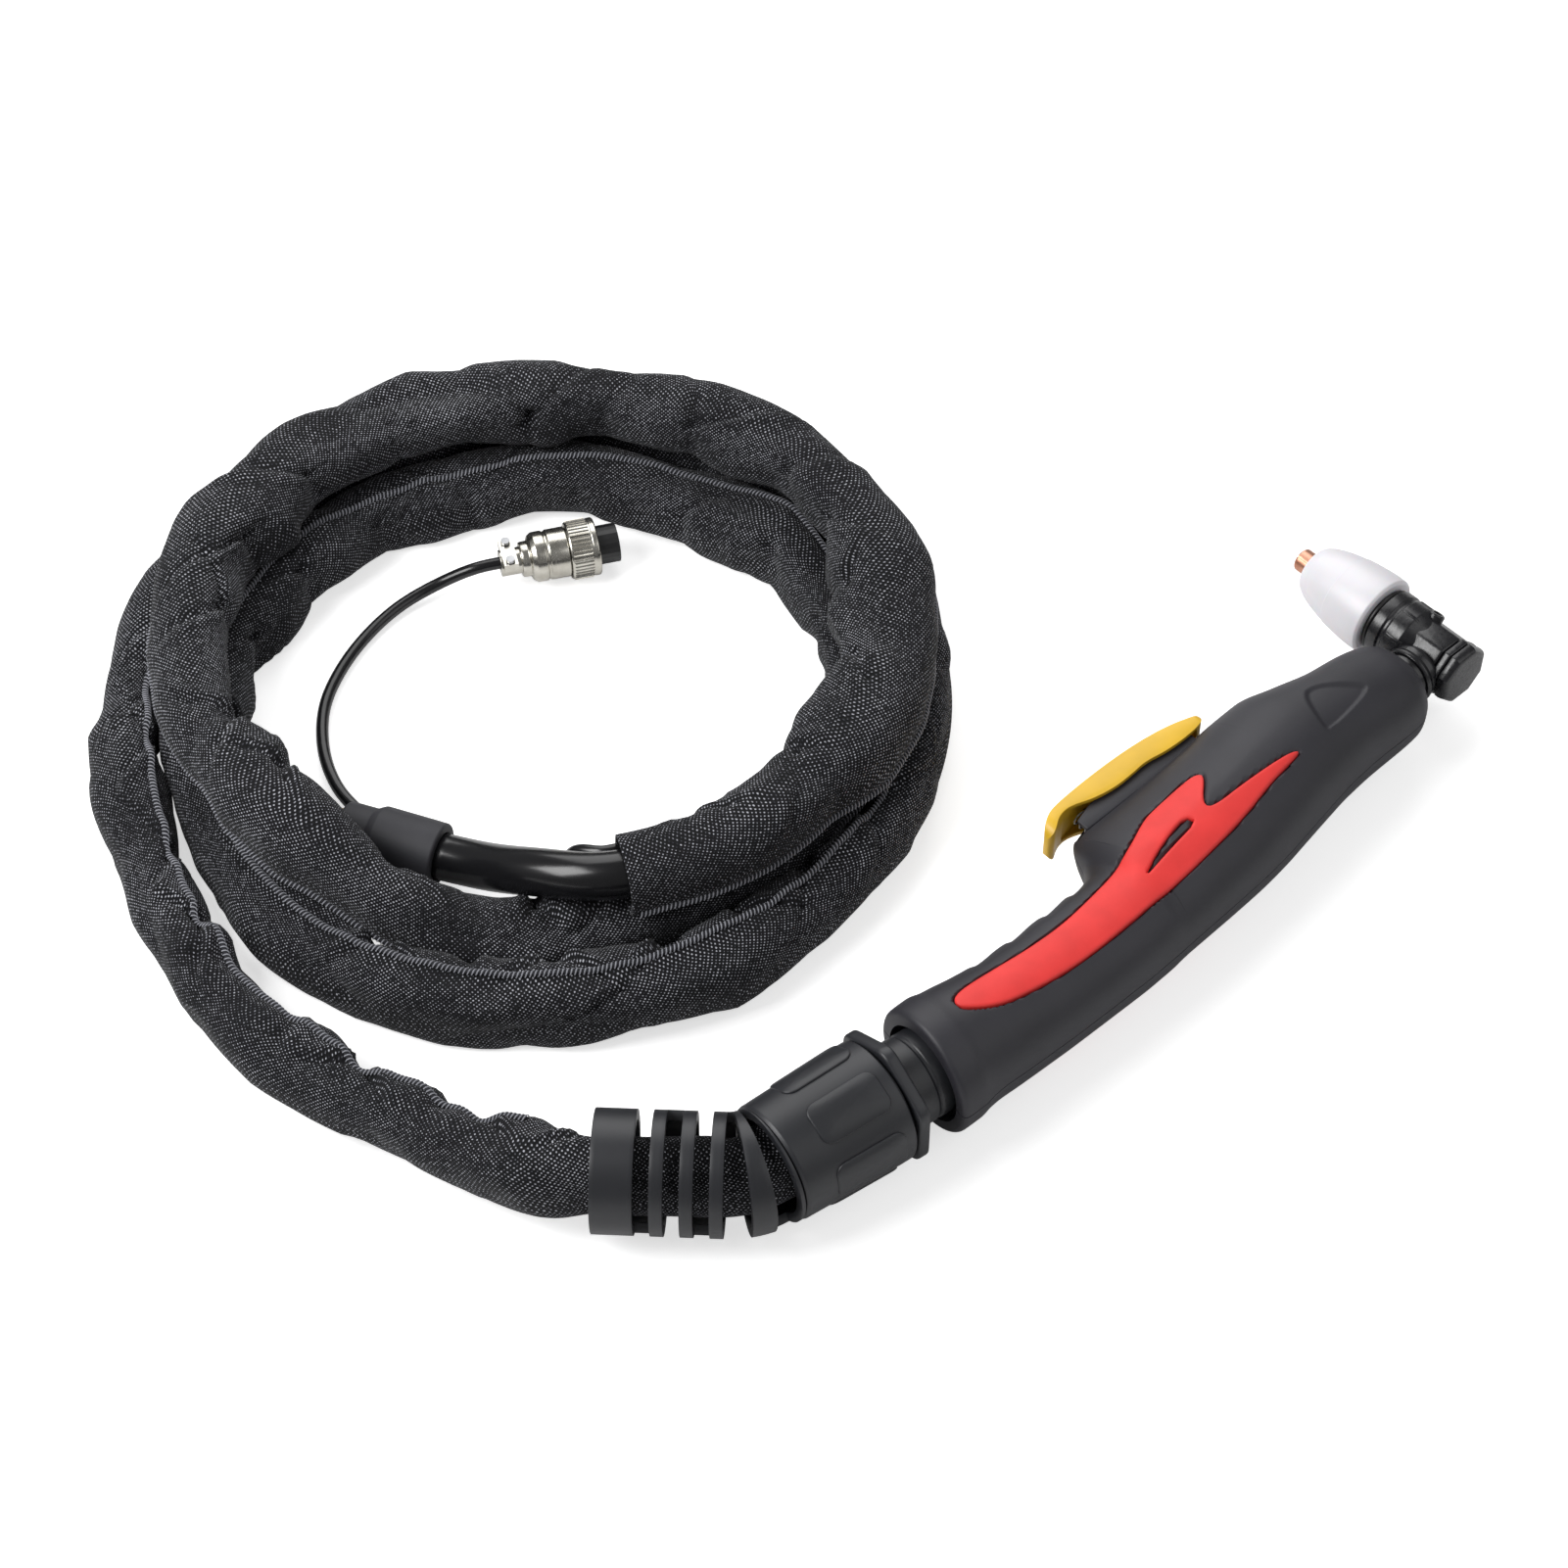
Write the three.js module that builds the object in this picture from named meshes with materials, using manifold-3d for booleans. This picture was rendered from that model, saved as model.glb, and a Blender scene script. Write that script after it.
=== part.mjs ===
// Hand-held cutting torch with its cable: ceramic-cupped head, two-shell handle with a lever
// trigger, swivelling cable support with a slotted bend relief, and a sleeved hose laid in a coil.
// Millimetres. X is the swivel axis from the cable towards the head, +Y is the trigger side and
// Z = 0 is the surface that the torch lies on. The handle and head are drawn in the handle's own
// frame, whose X axis is turned by TAIL_TILT about the swivel.
import * as THREE from 'three';
import { mergeVertices } from 'three/addons/utils/BufferGeometryUtils.js';
import Module from 'manifold-3d';

const wasm = await Module();
wasm.setup();

// ---------------------------------------------------------------- driving dimensions

const GAP = 0.3;                 // between pieces that touch or run on each other
const SEAM = 0.3;                // between the two handle shells
const TAIL_TILT = THREE.MathUtils.degToRad(6.4);
const MID_HEIGHT = 19.5;         // the torch's middle plane above the surface

const HANDLE_LENGTH = 200;
const HANDLE_WALL = 2.8;
const HANDLE_SQUARENESS = 2.3;   // exponent of the section, 2 is an ellipse
const HANDLE_SIDES = 24;
const CAVITY_SIDES = 16;

const NECK_RADIUS = 7.4;         // of the moulded head tube
const NECK_HEIGHT = 7.5;         // above the handle's own X axis
const NECK_INSET = 38;           // how far the tube reaches into the handle
const NECK_TAIL = HANDLE_LENGTH - NECK_INSET;
const HEAD_REACH = 17.3;         // from the handle's front end to the cup's axis
const HEAD_X = HANDLE_LENGTH + HEAD_REACH;
const HEAD_BLOCK_WIDTH = 18.4;
const HEAD_BLOCK_END = -0.6;
const HEAD_COLLAR_RADIUS = 10.8;
const HEAD_COLLAR_START = 15;
const HEAD_COLLAR_END = 26;
const HEAD_BORE_RADIUS = 6.4;
const SPIGOT_RADIUS = 9.2;       // the thread that the cup screws on
const SPIGOT_LENGTH = 7;
const CAP_THICKNESS = 3.6;
const CAP_STUD_RADIUS = 5.6;
const CAP_STUD_LENGTH = 5;
const ORING_THICKNESS = 1.5;
const ORING_INSET = 0.4;         // of the ring's face below the collar's
const CUP_LENGTH = 28.2;
const CUP_RADIUS = 12.9;
const CUP_NOSE_RADIUS = 7.0;
const CUP_NOSE_BORE = 4.3;
const TIP_RADIUS = 3.75;
const TIP_REACH = 5.3;             // past the cup's nose
const TIP_SHOULDER_RADIUS = 7.6;
const ORIFICE_RADIUS = 0.6;
const ELECTRODE_RADIUS = 2.4;
const SWIRL_LENGTH = 9;
const SWIRL_RADIUS = 7.0;

const PIVOT_X = 134;             // of the trigger's pin
const PIVOT_Y = 24;
const PIN_RADIUS = 1.5;
const PIN_LENGTH = 18;
const TRIGGER_WIDTH = 15;
const TRIGGER_WALL = 1.3;        // of its two sides
const EAR_WIDTH = 7.6;
const EAR_RADIUS = 3.6;
const SLOT_WIDTH = 8.4;          // in the handle's top, for the ear, the stem and the spring
const SLOT_END = 141;
const SLOT_DEPTH = 22;           // the height that the slot goes down to
const STEM_X = 107;
const STEM_LENGTH = 7;
const PLUNGER_RADIUS = 1.6;
const PLUNGER_TOP = 24.3;
const PLUNGER_LENGTH = 5;
const SWITCH_TOP = 20.6;
const SWITCH_HEIGHT = 8.4;
const SWITCH_LENGTH = 20;
const SWITCH_WIDTH = 6.4;
const SPRING_BEHIND = 13;        // of the spring behind the stem
const SPRING_X = STEM_X - SPRING_BEHIND;
const SLOT_START = SPRING_X - 9.5;
const RIDGE_WIDTH = 11.4;        // of the two walls on the handle that stand inside the trigger
const SPRING_RADIUS = 2.6;       // of the wire's centre line
const SPRING_WIRE = 0.35;
const SPRING_TURNS = 6;
const SPRING_TOP = 36.7;
const SHELF = 1.4;               // thickness of the ribs that carry the switch and the spring

const SCREW_RADIUS = 1.5;
const SCREW_HEAD_RADIUS = 2.7;
const SCREW_HEAD_DEPTH = 4.5;    // from the rear shell's face to a head's seat
const BOSS_RADIUS = 3.4;
const SCREWS = [
  [34, 7.6], [72, -13.4], [120, -10.2],
  [(PIVOT_X + HANDLE_LENGTH) / 2 - 10, 22.4],  // between the trigger's pin and the nose
  [HANDLE_LENGTH - 14, 18.2],
];

const INLAY_THICKNESS = 1.0;     // of the soft grip panel below the handle's face
const INLAY_PROUD = 0.35;
const RECESS_DEPTH = 0.9;        // of the triangular hollow near the head

const SWIVEL_RADIUS = 12.9;
const SWIVEL_BORE = 10.4;
const SWIVEL_TAIL = -24;
const LIP_START = 2.5;           // of the handle's lip that holds the swivel
const LIP_END = 6;
const MOUTH_RADIUS = 14.9;
const CAGE_THICKNESS = 3;        // of the swivel's flange behind the lip
const CAGE_RADIUS = 14.4;
const FLANGE_FRONT = -13.2;
const FLANGE_THICKNESS = 3.9;
const FLANGE_CORNER = 5.3;
const NUT_RADIUS = 18.3;
const NUT_REAR_RADIUS = 17.3;
const NUT_REAR = -54;
const NUT_FRONT_WALL = 3.5;
const NUT_BORE = 15.0;
const PAD_COUNT = 6;
const PAD_WIDTH = 12;
const PAD_LENGTH = 22;
const PAD_MIDDLE = -33;
const PAD_TURN = THREE.MathUtils.degToRad(52);
const PAD_PROUD = 0.6;

const RELIEF_RADIUS = 17;
const RELIEF_BORE = 14.2;
const RELIEF_SPIGOT = 7;         // inside the barrel nut
const RELIEF_BEND_RADIUS = 18.8;
const RELIEF_BEND = THREE.MathUtils.degToRad(38.5);
const RELIEF_LENGTH = 48.2;
const RELIEF_COLLAR = 7.8;
const RELIEF_SLOTS = 5;
const RELIEF_BAND = 3.6;
const RELIEF_WEB = THREE.MathUtils.degToRad(76);
const RELIEF_SIDES = 28;

const SLEEVE_HEIGHT = 20;
const HOSE_RADIUS = 7;
const INNER_HOSE_RADIUS = 6.3;   // where the hose runs inside the handle
const LEAD_RADIUS = 1.9;
const HOSE_OFFSET = -3.75;       // of the hose in the swivel, to make room for the lead
const LEAD_OFFSET = 8.1;
const LEAD_BESIDE = 9.25;        // where the lead leaves the sleeve's end beside the hose

const COIL_CENTRE = [-7.9, 184.9];
const COIL_START = THREE.MathUtils.degToRad(144);
const COIL_TURNS = 2.697;
const COIL_STEPS = 24;           // per turn
// Radius and width at each eighth of a turn: two turns side by side on the surface, the third on
// top of them.
const COIL_RADII = [
  120.2, 119, 117, 116.9, 117.6, 115.7, 117.3, 108, 98.3, 92.2, 89.5, 94.3, 96.9, 92.6, 92.3, 95.5,
  100.3, 107, 104.5, 109.5, 105.5, 95.5, 87.4, 78,
];
const COIL_WIDTHS = [
  21.3, 23, 24.4, 22.1, 20.1, 22.5, 24, 22, 21, 24.4, 24.4, 22.1, 20.1, 22.5, 24.4, 24.4,
  25.5, 27, 28, 28, 27, 25.5, 24.4, 24.4,
];
const CLIMB_START = 1.73;        // in turns, where the third turn climbs onto the first two
const CLIMB_END = 1.885;
const LAYER_GAP = 0.4;

const BOOT_MOUTH = [-64.6, 148.4];
const BOOT_HEADING = THREE.MathUtils.degToRad(124);
const BOOT_LENGTH = 31;
const BOOT_RADIUS = 9.8;
const BOOT_REAR_RADIUS = 8.4;
const BOOT_WALL = 1.6;
const FITTING_RADIUS = 5.6;
const FITTING_LENGTH = 12;
const FITTING_NUT_ACROSS = 11.6;
const FITTING_REACH = 3;         // past the boot's rear end

const PLUG_START = [13.3, 236.6];
const PLUG_HEADING = THREE.MathUtils.degToRad(-21.4);
const RING_RADIUS = 9.4;
const RING_LENGTH = 9.2;
const RING_RIDGES = 20;
const BACKSHELL_RADIUS = 7.9;
const BACKSHELL_LENGTH = 12.5;
const PLUG_NECK_RADIUS = 5.6;
const PLUG_NECK_LENGTH = 4.5;
const CLAMP_LENGTH = 6.5;
const CLAMP_RADIUS = 5.6;
const INSERT_RADIUS = 6.1;
const INSERT_REACH = 6.6;
const PIN_COUNT = 5;
const CONTACT_RADIUS = 0.75;

const COLOURS = {
  handle: 0x2f2f33, grip: 0xf5403f, trigger: 0xf0be2c, ceramic: 0xf1eff3, copper: 0xd9906c,
  phenolic: 0x151517, support: 0x35363a, fabric: 0x24252b, hose: 0x121214, boot: 0x3b3b3f,
  nickel: 0xc9c6bd, steel: 0x9a9ca0, brass: 0xb8964a, rubber: 0x1b1b1d, insert: 0x101012,
};

// ---------------------------------------------------------------- solids

function flipIfInside(geometry) {
  const position = geometry.attributes.position;
  const index = geometry.index;
  const a = new THREE.Vector3();
  const b = new THREE.Vector3();
  const c = new THREE.Vector3();
  let volume = 0;
  for (let i = 0; i < index.count; i += 3) {
    a.fromBufferAttribute(position, index.getX(i));
    b.fromBufferAttribute(position, index.getX(i + 1));
    c.fromBufferAttribute(position, index.getX(i + 2));
    volume += a.dot(b.cross(c));
  }
  if (volume < 0) {
    for (let i = 0; i < index.count; i += 3) {
      const keep = index.getX(i);
      index.setX(i, index.getX(i + 2));
      index.setX(i + 2, keep);
    }
  }
  return geometry;
}

function closed(geometry) {
  const bare = geometry.clone();
  bare.deleteAttribute('normal');
  bare.deleteAttribute('uv');
  return flipIfInside(mergeVertices(bare, 1e-4));
}

function toSolid(geometry) {
  const shell = closed(geometry);
  return new wasm.Manifold(new wasm.Mesh({
    numProp: 3,
    vertProperties: new Float32Array(shell.attributes.position.array),
    triVerts: new Uint32Array(shell.index.array),
  }));
}

function toGeometry(solid) {
  const mesh = solid.getMesh();
  const geometry = new THREE.BufferGeometry();
  geometry.setAttribute('position', new THREE.BufferAttribute(new Float32Array(mesh.vertProperties), 3));
  geometry.setIndex(new THREE.BufferAttribute(new Uint32Array(mesh.triVerts), 1));
  return geometry;
}

// A profile of [along, radius] points turned about X, or about Y with turnedAboutY.
function turnedAboutY(profile, sides = 24) {
  const points = profile.map(([along, radius]) => new THREE.Vector2(radius, along));
  return new THREE.LatheGeometry(points, sides);
}

function turnedAboutX(profile, sides = 24) {
  return turnedAboutY(profile, sides).rotateZ(-Math.PI / 2);
}

function rod(start, end, radius, sides = 24) {
  return [[start, 0], [start, radius], [end, radius], [end, 0]];
}

function box(x0, x1, y0, y1, z0, z1) {
  const geometry = new THREE.BoxGeometry(x1 - x0, y1 - y0, z1 - z0);
  return geometry.translate((x0 + x1) / 2, (y0 + y1) / 2, (z0 + z1) / 2);
}

function pinAlongZ(x, y, radius, z0, z1, sides = 20) {
  const geometry = new THREE.CylinderGeometry(radius, radius, z1 - z0, sides);
  return geometry.rotateX(Math.PI / 2).translate(x, y, (z0 + z1) / 2);
}

function outlineShape(points, hole) {
  const shape = new THREE.Shape(points.map(([x, y]) => new THREE.Vector2(x, y)));
  if (hole) {
    shape.holes.push(new THREE.Path(hole.map(([x, y]) => new THREE.Vector2(x, y))));
  }
  return shape;
}

function plate(shape, z0, z1) {
  const geometry = new THREE.ExtrudeGeometry(shape, { depth: z1 - z0, bevelEnabled: false });
  return geometry.translate(0, 0, z0);
}

// Moves every side of a closed outline outwards by a distance, with mitred corners.
function grown(points, distance) {
  const area = THREE.ShapeUtils.area(points.map(([x, y]) => new THREE.Vector2(x, y)));
  const side = Math.sign(area) * distance;
  return points.map((point, i) => {
    const before = points[(i + points.length - 1) % points.length];
    const after = points[(i + 1) % points.length];
    const first = new THREE.Vector2(point[1] - before[1], before[0] - point[0]).normalize();
    const second = new THREE.Vector2(after[1] - point[1], point[0] - after[0]).normalize();
    const mitre = first.clone().add(second).normalize();
    const reach = Math.min(side / mitre.dot(first), 3 * side);
    return [point[0] + mitre.x * reach, point[1] + mitre.y * reach];
  });
}

// Joins rings of equal point counts into one closed skin, with a fan at each end.
function loft(rings) {
  const count = rings[0].length;
  const vertices = rings.flat().map((point) => [point.x, point.y, point.z]).flat();
  const triangles = [];
  for (let ring = 0; ring < rings.length - 1; ring += 1) {
    for (let i = 0; i < count; i += 1) {
      const next = (i + 1) % count;
      const low = ring * count;
      const high = low + count;
      triangles.push(low + i, low + next, high + i, low + next, high + next, high + i);
    }
  }
  for (const [ring, flip] of [[0, true], [rings.length - 1, false]]) {
    const middle = vertices.length / 3;
    const centre = new THREE.Vector3();
    rings[ring].forEach((point) => centre.add(point));
    centre.divideScalar(count);
    vertices.push(centre.x, centre.y, centre.z);
    for (let i = 0; i < count; i += 1) {
      const from = ring * count + i;
      const to = ring * count + ((i + 1) % count);
      triangles.push(...(flip ? [middle, to, from] : [middle, from, to]));
    }
  }
  const geometry = new THREE.BufferGeometry();
  geometry.setAttribute('position', new THREE.Float32BufferAttribute(vertices, 3));
  geometry.setIndex(triangles);
  return flipIfInside(geometry);
}

// A round or oval tube along a curve.
function tube(curve, steps, width, height, sides) {
  const section = [];
  for (let i = 0; i < sides; i += 1) {
    const angle = (2 * Math.PI * (i + 0.5)) / sides;
    section.push([0.5 * height * Math.cos(angle), 0.5 * width * Math.sin(angle)]);
  }
  return new THREE.ExtrudeGeometry(outlineShape(section), { steps, extrudePath: curve, bevelEnabled: false });
}

function curveThrough(points) {
  return new THREE.CatmullRomCurve3(points.map((p) => new THREE.Vector3(...p)), false, 'centripetal');
}

const torch = new THREE.Group();
const handleGroup = new THREE.Group();
const supportGroup = new THREE.Group();
const cableGroup = new THREE.Group();
torch.add(handleGroup, supportGroup, cableGroup);

function addPiece(group, name, geometry, colour, roughness, metalness = 0) {
  const material = new THREE.MeshStandardMaterial({ color: COLOURS[colour], roughness, metalness });
  const mesh = new THREE.Mesh(closed(geometry), material);
  mesh.name = name;
  group.add(mesh);
  return mesh;
}

// ---------------------------------------------------------------- handle

// [x, top, bottom, half thickness, narrowing of the upper half]
const HANDLE_STATIONS = [
  [-2.8, 17.6, -17.6, 17.6, 0], [-2, 18.6, -18.6, 18.6, 0], [-0.2, 19.1, -19.1, 19.1, 0],
  [5, 19, -19.2, 18.9, 0], [9, 17.9, -18.6, 18.2, 0], [12, 17.4, -18.4, 17.9, 0],
  [26, 14.9, -19, 17, 0], [28.5, 14.2, -19.1, 16.9, 0], [40, 13.9, -19.5, 16.3, 0],
  [42.5, 13.2, -19.5, 16.1, 0], [54, 14.1, -19.6, 16, 0], [56.5, 13.1, -19.6, 16, 0],
  [66, 14.1, -19.6, 16.2, 0], [74, 15, -19.3, 16.6, 0.1], [79, 19, -19.1, 17, 0.3],
  [82, 25.2, -18.9, 17.2, 0.42], [85, 28.8, -18.7, 17.4, 0.48], [90, 29.6, -18.4, 17.7, 0.46],
  [104, 29.4, -17.6, 18.4, 0.38], [118, 29.8, -16.6, 18.9, 0.3], [130, 30.3, -15.1, 19.2, 0.24],
  [141, 31.4, -13.2, 19.2, 0.16], [152, 31.6, -11.3, 19, 0.1],
  [HANDLE_LENGTH - 37, 28.7, -9.6, 18.4, 0.05], [HANDLE_LENGTH - 24, 25.3, -8.7, 17.2, 0],
  [HANDLE_LENGTH - 13, 24.3, -8.6, 16, 0], [HANDLE_LENGTH - 6, 22.8, -8.1, 15.2, 0],
  [HANDLE_LENGTH - 2, 20.8, -6.4, 13.8, 0], [HANDLE_LENGTH, 17.9, -4, 11.6, 0],
];

const CAVITY_STATIONS = [
  12, 28.5, 42.5, 56.5, 74, 79, 85, 104, 130, 152, HANDLE_LENGTH - 24, HANDLE_LENGTH - 13,
];
const UNDERLAY_STATIONS = [
  -2.8, 12, 28.5, 42.5, 56.5, 74, 79, 85, 104, 130, 152, HANDLE_LENGTH - 24, HANDLE_LENGTH,
];

// Exponent that bends a circle's sine and cosine into the section's at x.
function sectionPower(x) {
  const fade = THREE.MathUtils.clamp(1 - x / 60, 0, 1);
  return 2 / (HANDLE_SQUARENESS - (HANDLE_SQUARENESS - 2) * fade);
}

function handleRing([x, top, bottom, half, narrowing], inset, sides = HANDLE_SIDES) {
  const middle = (top + bottom) / 2;
  const fade = THREE.MathUtils.clamp(1 - x / 60, 0, 1);
  const power = sectionPower(x);
  const ring = [];
  for (let i = 0; i < sides; i += 1) {
    const angle = (2 * Math.PI * i) / sides;
    const up = Math.sin(angle);
    const out = Math.cos(angle);
    const y = middle + ((top - bottom) / 2 - inset) * Math.sign(up) * Math.abs(up) ** power;
    const taper = 1 - narrowing * Math.max(0, up);
    const z = (half - inset) * Math.sign(out) * Math.abs(out) ** power * taper;
    ring.push(new THREE.Vector3(x + y * Math.tan(TAIL_TILT) * fade, y, z));
  }
  return ring;
}

function handleForm(outset) {
  return toSolid(loft(HANDLE_STATIONS.map((station) => handleRing(station, -outset))));
}

// The same form drawn with fewer facets, for what lies below the handle's face.
function handleUnderlay(inset, places = UNDERLAY_STATIONS) {
  const stations = HANDLE_STATIONS.filter(([x]) => places.includes(x));
  return toSolid(loft(stations.map((station) => handleRing(station, inset, CAVITY_SIDES))));
}

// Soft grip panel, drawn on the handle's side face.
const GRIP_OUTLINE = [
  [147, 0.2], [143, 1.6], [126, 2.2], [112.2, 2.2], [111.2, 5], [119.8, 12.2], [119.4, 14.4],
  [116.4, 15.4], [100, 14.4], [95.5, 13.2], [86, 9], [76, 6], [64, 4], [52, 2.8], [39, 3.2],
  [29, 4.2], [19, 5], [13, 4.4], [10.6, 2.4], [11.4, -1], [19, -5.6], [28, -7.8], [45, -9.6],
  [59, -9.6], [74, -9.2], [89, -8.3], [107, -6.8], [120, -5], [133, -2.1], [144.5, -0.6],
];
const GRIP_WINDOW = [[103.8, 5], [105.8, 1.8], [93, 0.2], [79.6, -2], [90, 2], [97.5, 4]];
const RECESS_OUTLINE = [
  [HANDLE_LENGTH - 37, 14.6], [HANDLE_LENGTH - 30.5, 15], [HANDLE_LENGTH - 20, 6.8],
  [HANDLE_LENGTH - 19, 3], [HANDLE_LENGTH - 39.6, -0.2], [HANDLE_LENGTH - 41.8, 1.6],
];

function inHandleFrame(geometry) {
  return geometry.rotateZ(-TAIL_TILT);
}

function handleBody() {
  const outer = handleForm(0);
  const cavity = handleUnderlay(HANDLE_WALL, CAVITY_STATIONS);
  const ribs = [
    ...SCREWS.map(([x, y]) => pinAlongZ(x, y, BOSS_RADIUS, -30, 30, 12)),
    pinAlongZ(PIVOT_X, PIVOT_Y, BOSS_RADIUS + 0.6, -30, 30),
    box(NECK_TAIL + 8, NECK_TAIL + 11, -30, 40, -30, 30),
    box(STEM_X - SWITCH_LENGTH / 2, STEM_X + SWITCH_LENGTH / 2, SWITCH_TOP - SWITCH_HEIGHT - GAP - SHELF,
      SWITCH_TOP - SWITCH_HEIGHT - GAP, -30, 30),
    box(SPRING_X - 4.5, SPRING_X + 3, SLOT_DEPTH - SHELF, SLOT_DEPTH, -30, 30),
  ];
  let body = outer.subtract(cavity);
  const inside = handleUnderlay(1.2);
  for (const rib of ribs) {
    body = body.add(toSolid(rib).intersect(inside));
  }
  body = body.add(toSolid(plate(outlineShape(RIDGE_OUTLINE), -RIDGE_WIDTH / 2, RIDGE_WIDTH / 2)));
  const lip = SWIVEL_RADIUS + GAP;
  const cage = CAGE_RADIUS + 2 * GAP;
  const mouth = [
    [-8, 0], [-8, MOUTH_RADIUS], [LIP_START, MOUTH_RADIUS], [LIP_START, lip], [LIP_END, lip],
    [LIP_END, cage], [20, cage], [20, 0],
  ];
  const neckSeat = rod(NECK_TAIL - 1, HANDLE_LENGTH + 5, NECK_RADIUS + GAP);
  const halfSlot = SLOT_WIDTH / 2;
  const cuts = [
    inHandleFrame(turnedAboutX(mouth, 28)),
    turnedAboutX(neckSeat).translate(0, NECK_HEIGHT, 0),
    box(SLOT_START, SLOT_END, SLOT_DEPTH, 45, -halfSlot, halfSlot),
    box(PIVOT_X - EAR_RADIUS - 1.4, SLOT_END, PIVOT_Y - EAR_RADIUS - 1, 45, -halfSlot, halfSlot),
    box(STEM_X - 4.6, STEM_X + 4.6, SWITCH_TOP, 45, -halfSlot, halfSlot),
    pinAlongZ(PIVOT_X, PIVOT_Y, PIN_RADIUS + GAP / 2, -PIN_LENGTH / 2 - GAP, PIN_LENGTH / 2 + GAP),
  ];
  for (const cut of cuts) {
    body = body.subtract(toSolid(cut));
  }
  const floor = handleUnderlay(INLAY_THICKNESS + GAP);
  const shallow = handleUnderlay(RECESS_DEPTH);
  const pocketShape = outlineShape(grown(GRIP_OUTLINE, GAP), grown(GRIP_WINDOW, -GAP));
  for (const [z0, z1] of [[4, 40], [-40, -4]]) {
    body = body.subtract(toSolid(plate(pocketShape, z0, z1)).subtract(floor));
    body = body.subtract(toSolid(plate(outlineShape(RECESS_OUTLINE), z0, z1)).subtract(shallow));
  }
  return body;
}

function gripPanel(z0, z1) {
  const slab = toSolid(plate(outlineShape(GRIP_OUTLINE, GRIP_WINDOW), z0, z1));
  return toGeometry(slab.intersect(handleForm(INLAY_PROUD)).subtract(handleUnderlay(INLAY_THICKNESS)));
}

// Half thickness of the handle at a point of its side view.
function faceHeight([x, y]) {
  const after = HANDLE_STATIONS.findIndex((station) => station[0] >= x);
  const [low, high] = [HANDLE_STATIONS[after - 1], HANDLE_STATIONS[after]];
  const share = (x - low[0]) / (high[0] - low[0]);
  const [, top, bottom, half, narrowing] = low.map((value, i) => value + (high[i] - value) * share);
  const power = sectionPower(x);
  const up = (2 * y - top - bottom) / (top - bottom);
  const sine = Math.abs(up) ** (1 / power);
  const taper = 1 - narrowing * Math.max(0, Math.sign(up) * sine);
  return half * Math.sqrt(1 - sine ** 2) ** power * taper;
}

function makeHandle() {
  const body = handleBody();
  let front = body.intersect(toSolid(box(-20, HANDLE_LENGTH + 30, -40, 60, SEAM / 2, 40)));
  let rear = body.intersect(toSolid(box(-20, HANDLE_LENGTH + 30, -40, 60, -40, -SEAM / 2)));
  SCREWS.forEach((screw, i) => {
    const [x, y] = screw;
    const seat = SCREW_HEAD_DEPTH - faceHeight(screw);
    rear = rear.subtract(toSolid(pinAlongZ(x, y, SCREW_RADIUS + GAP, -40, 5, 12)));
    rear = rear.subtract(toSolid(pinAlongZ(x, y, SCREW_HEAD_RADIUS + GAP, -40, seat, 12)));
    front = front.subtract(toSolid(pinAlongZ(x, y, SCREW_RADIUS + GAP, -1, 9, 12)));
    const shank = toSolid(pinAlongZ(x, y, SCREW_RADIUS, seat - 1, 8, 8));
    const head = toSolid(pinAlongZ(x, y, SCREW_HEAD_RADIUS, seat - GAP - 2, seat - GAP, 12));
    addPiece(handleGroup, `shell_screw_${i + 1}`, toGeometry(shank.add(head)), 'steel', 0.35, 1);
  });
  addPiece(handleGroup, 'handle_shell_upper', toGeometry(front), 'handle', 0.6);
  addPiece(handleGroup, 'handle_shell_lower', toGeometry(rear), 'handle', 0.6);
  addPiece(handleGroup, 'grip_panel_upper', gripPanel(4, 40), 'grip', 0.7);
  addPiece(handleGroup, 'grip_panel_lower', gripPanel(-40, -4), 'grip', 0.7);
}

// ---------------------------------------------------------------- trigger and switch

const TRIGGER_OUTER = [
  [78.6, 33], [78.6, 34.4], [79.6, 35.9], [82.9, 37.8], [86.4, 38.8], [95, 39.5], [106.6, 39.9],
  [117.9, 39.7], [126.9, 38.9], [134.2, 37.6], [139.6, 36], [142.9, 34.8],
];
const TRIGGER_INNER = [
  [142.4, 33.4], [140.2, 32], [132.6, 31.4], [124.7, 31.7], [118.2, 32.9], [111.9, 32.3],
  [104.9, 32], [96.9, 33.2], [91.1, 35.4], [87.6, 35.8], [84.4, 34.9], [81.8, 33.2], [80.2, 32.4],
];
// What is taken out of the trigger between its sides, and the handle's walls that stand in there
// and leave room for the trigger's travel.
const TRIGGER_HOLLOW = [
  [87, 20], [87, 36.2], [95, 37], [106.6, 37.4], [117.9, 37.2], [126.9, 36.4], [136, 34.8],
  [139, 33.8], [139, 20],
];
const RIDGE_OUTLINE = [
  [88.6, 27.2], [88.6, 31.6], [95, 33.5], [106.6, 34.6], [117.9, 35.2], [126.9, 35.2], [134, 34.2],
  [136.6, 33.6], [136.6, 28],
];

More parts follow.
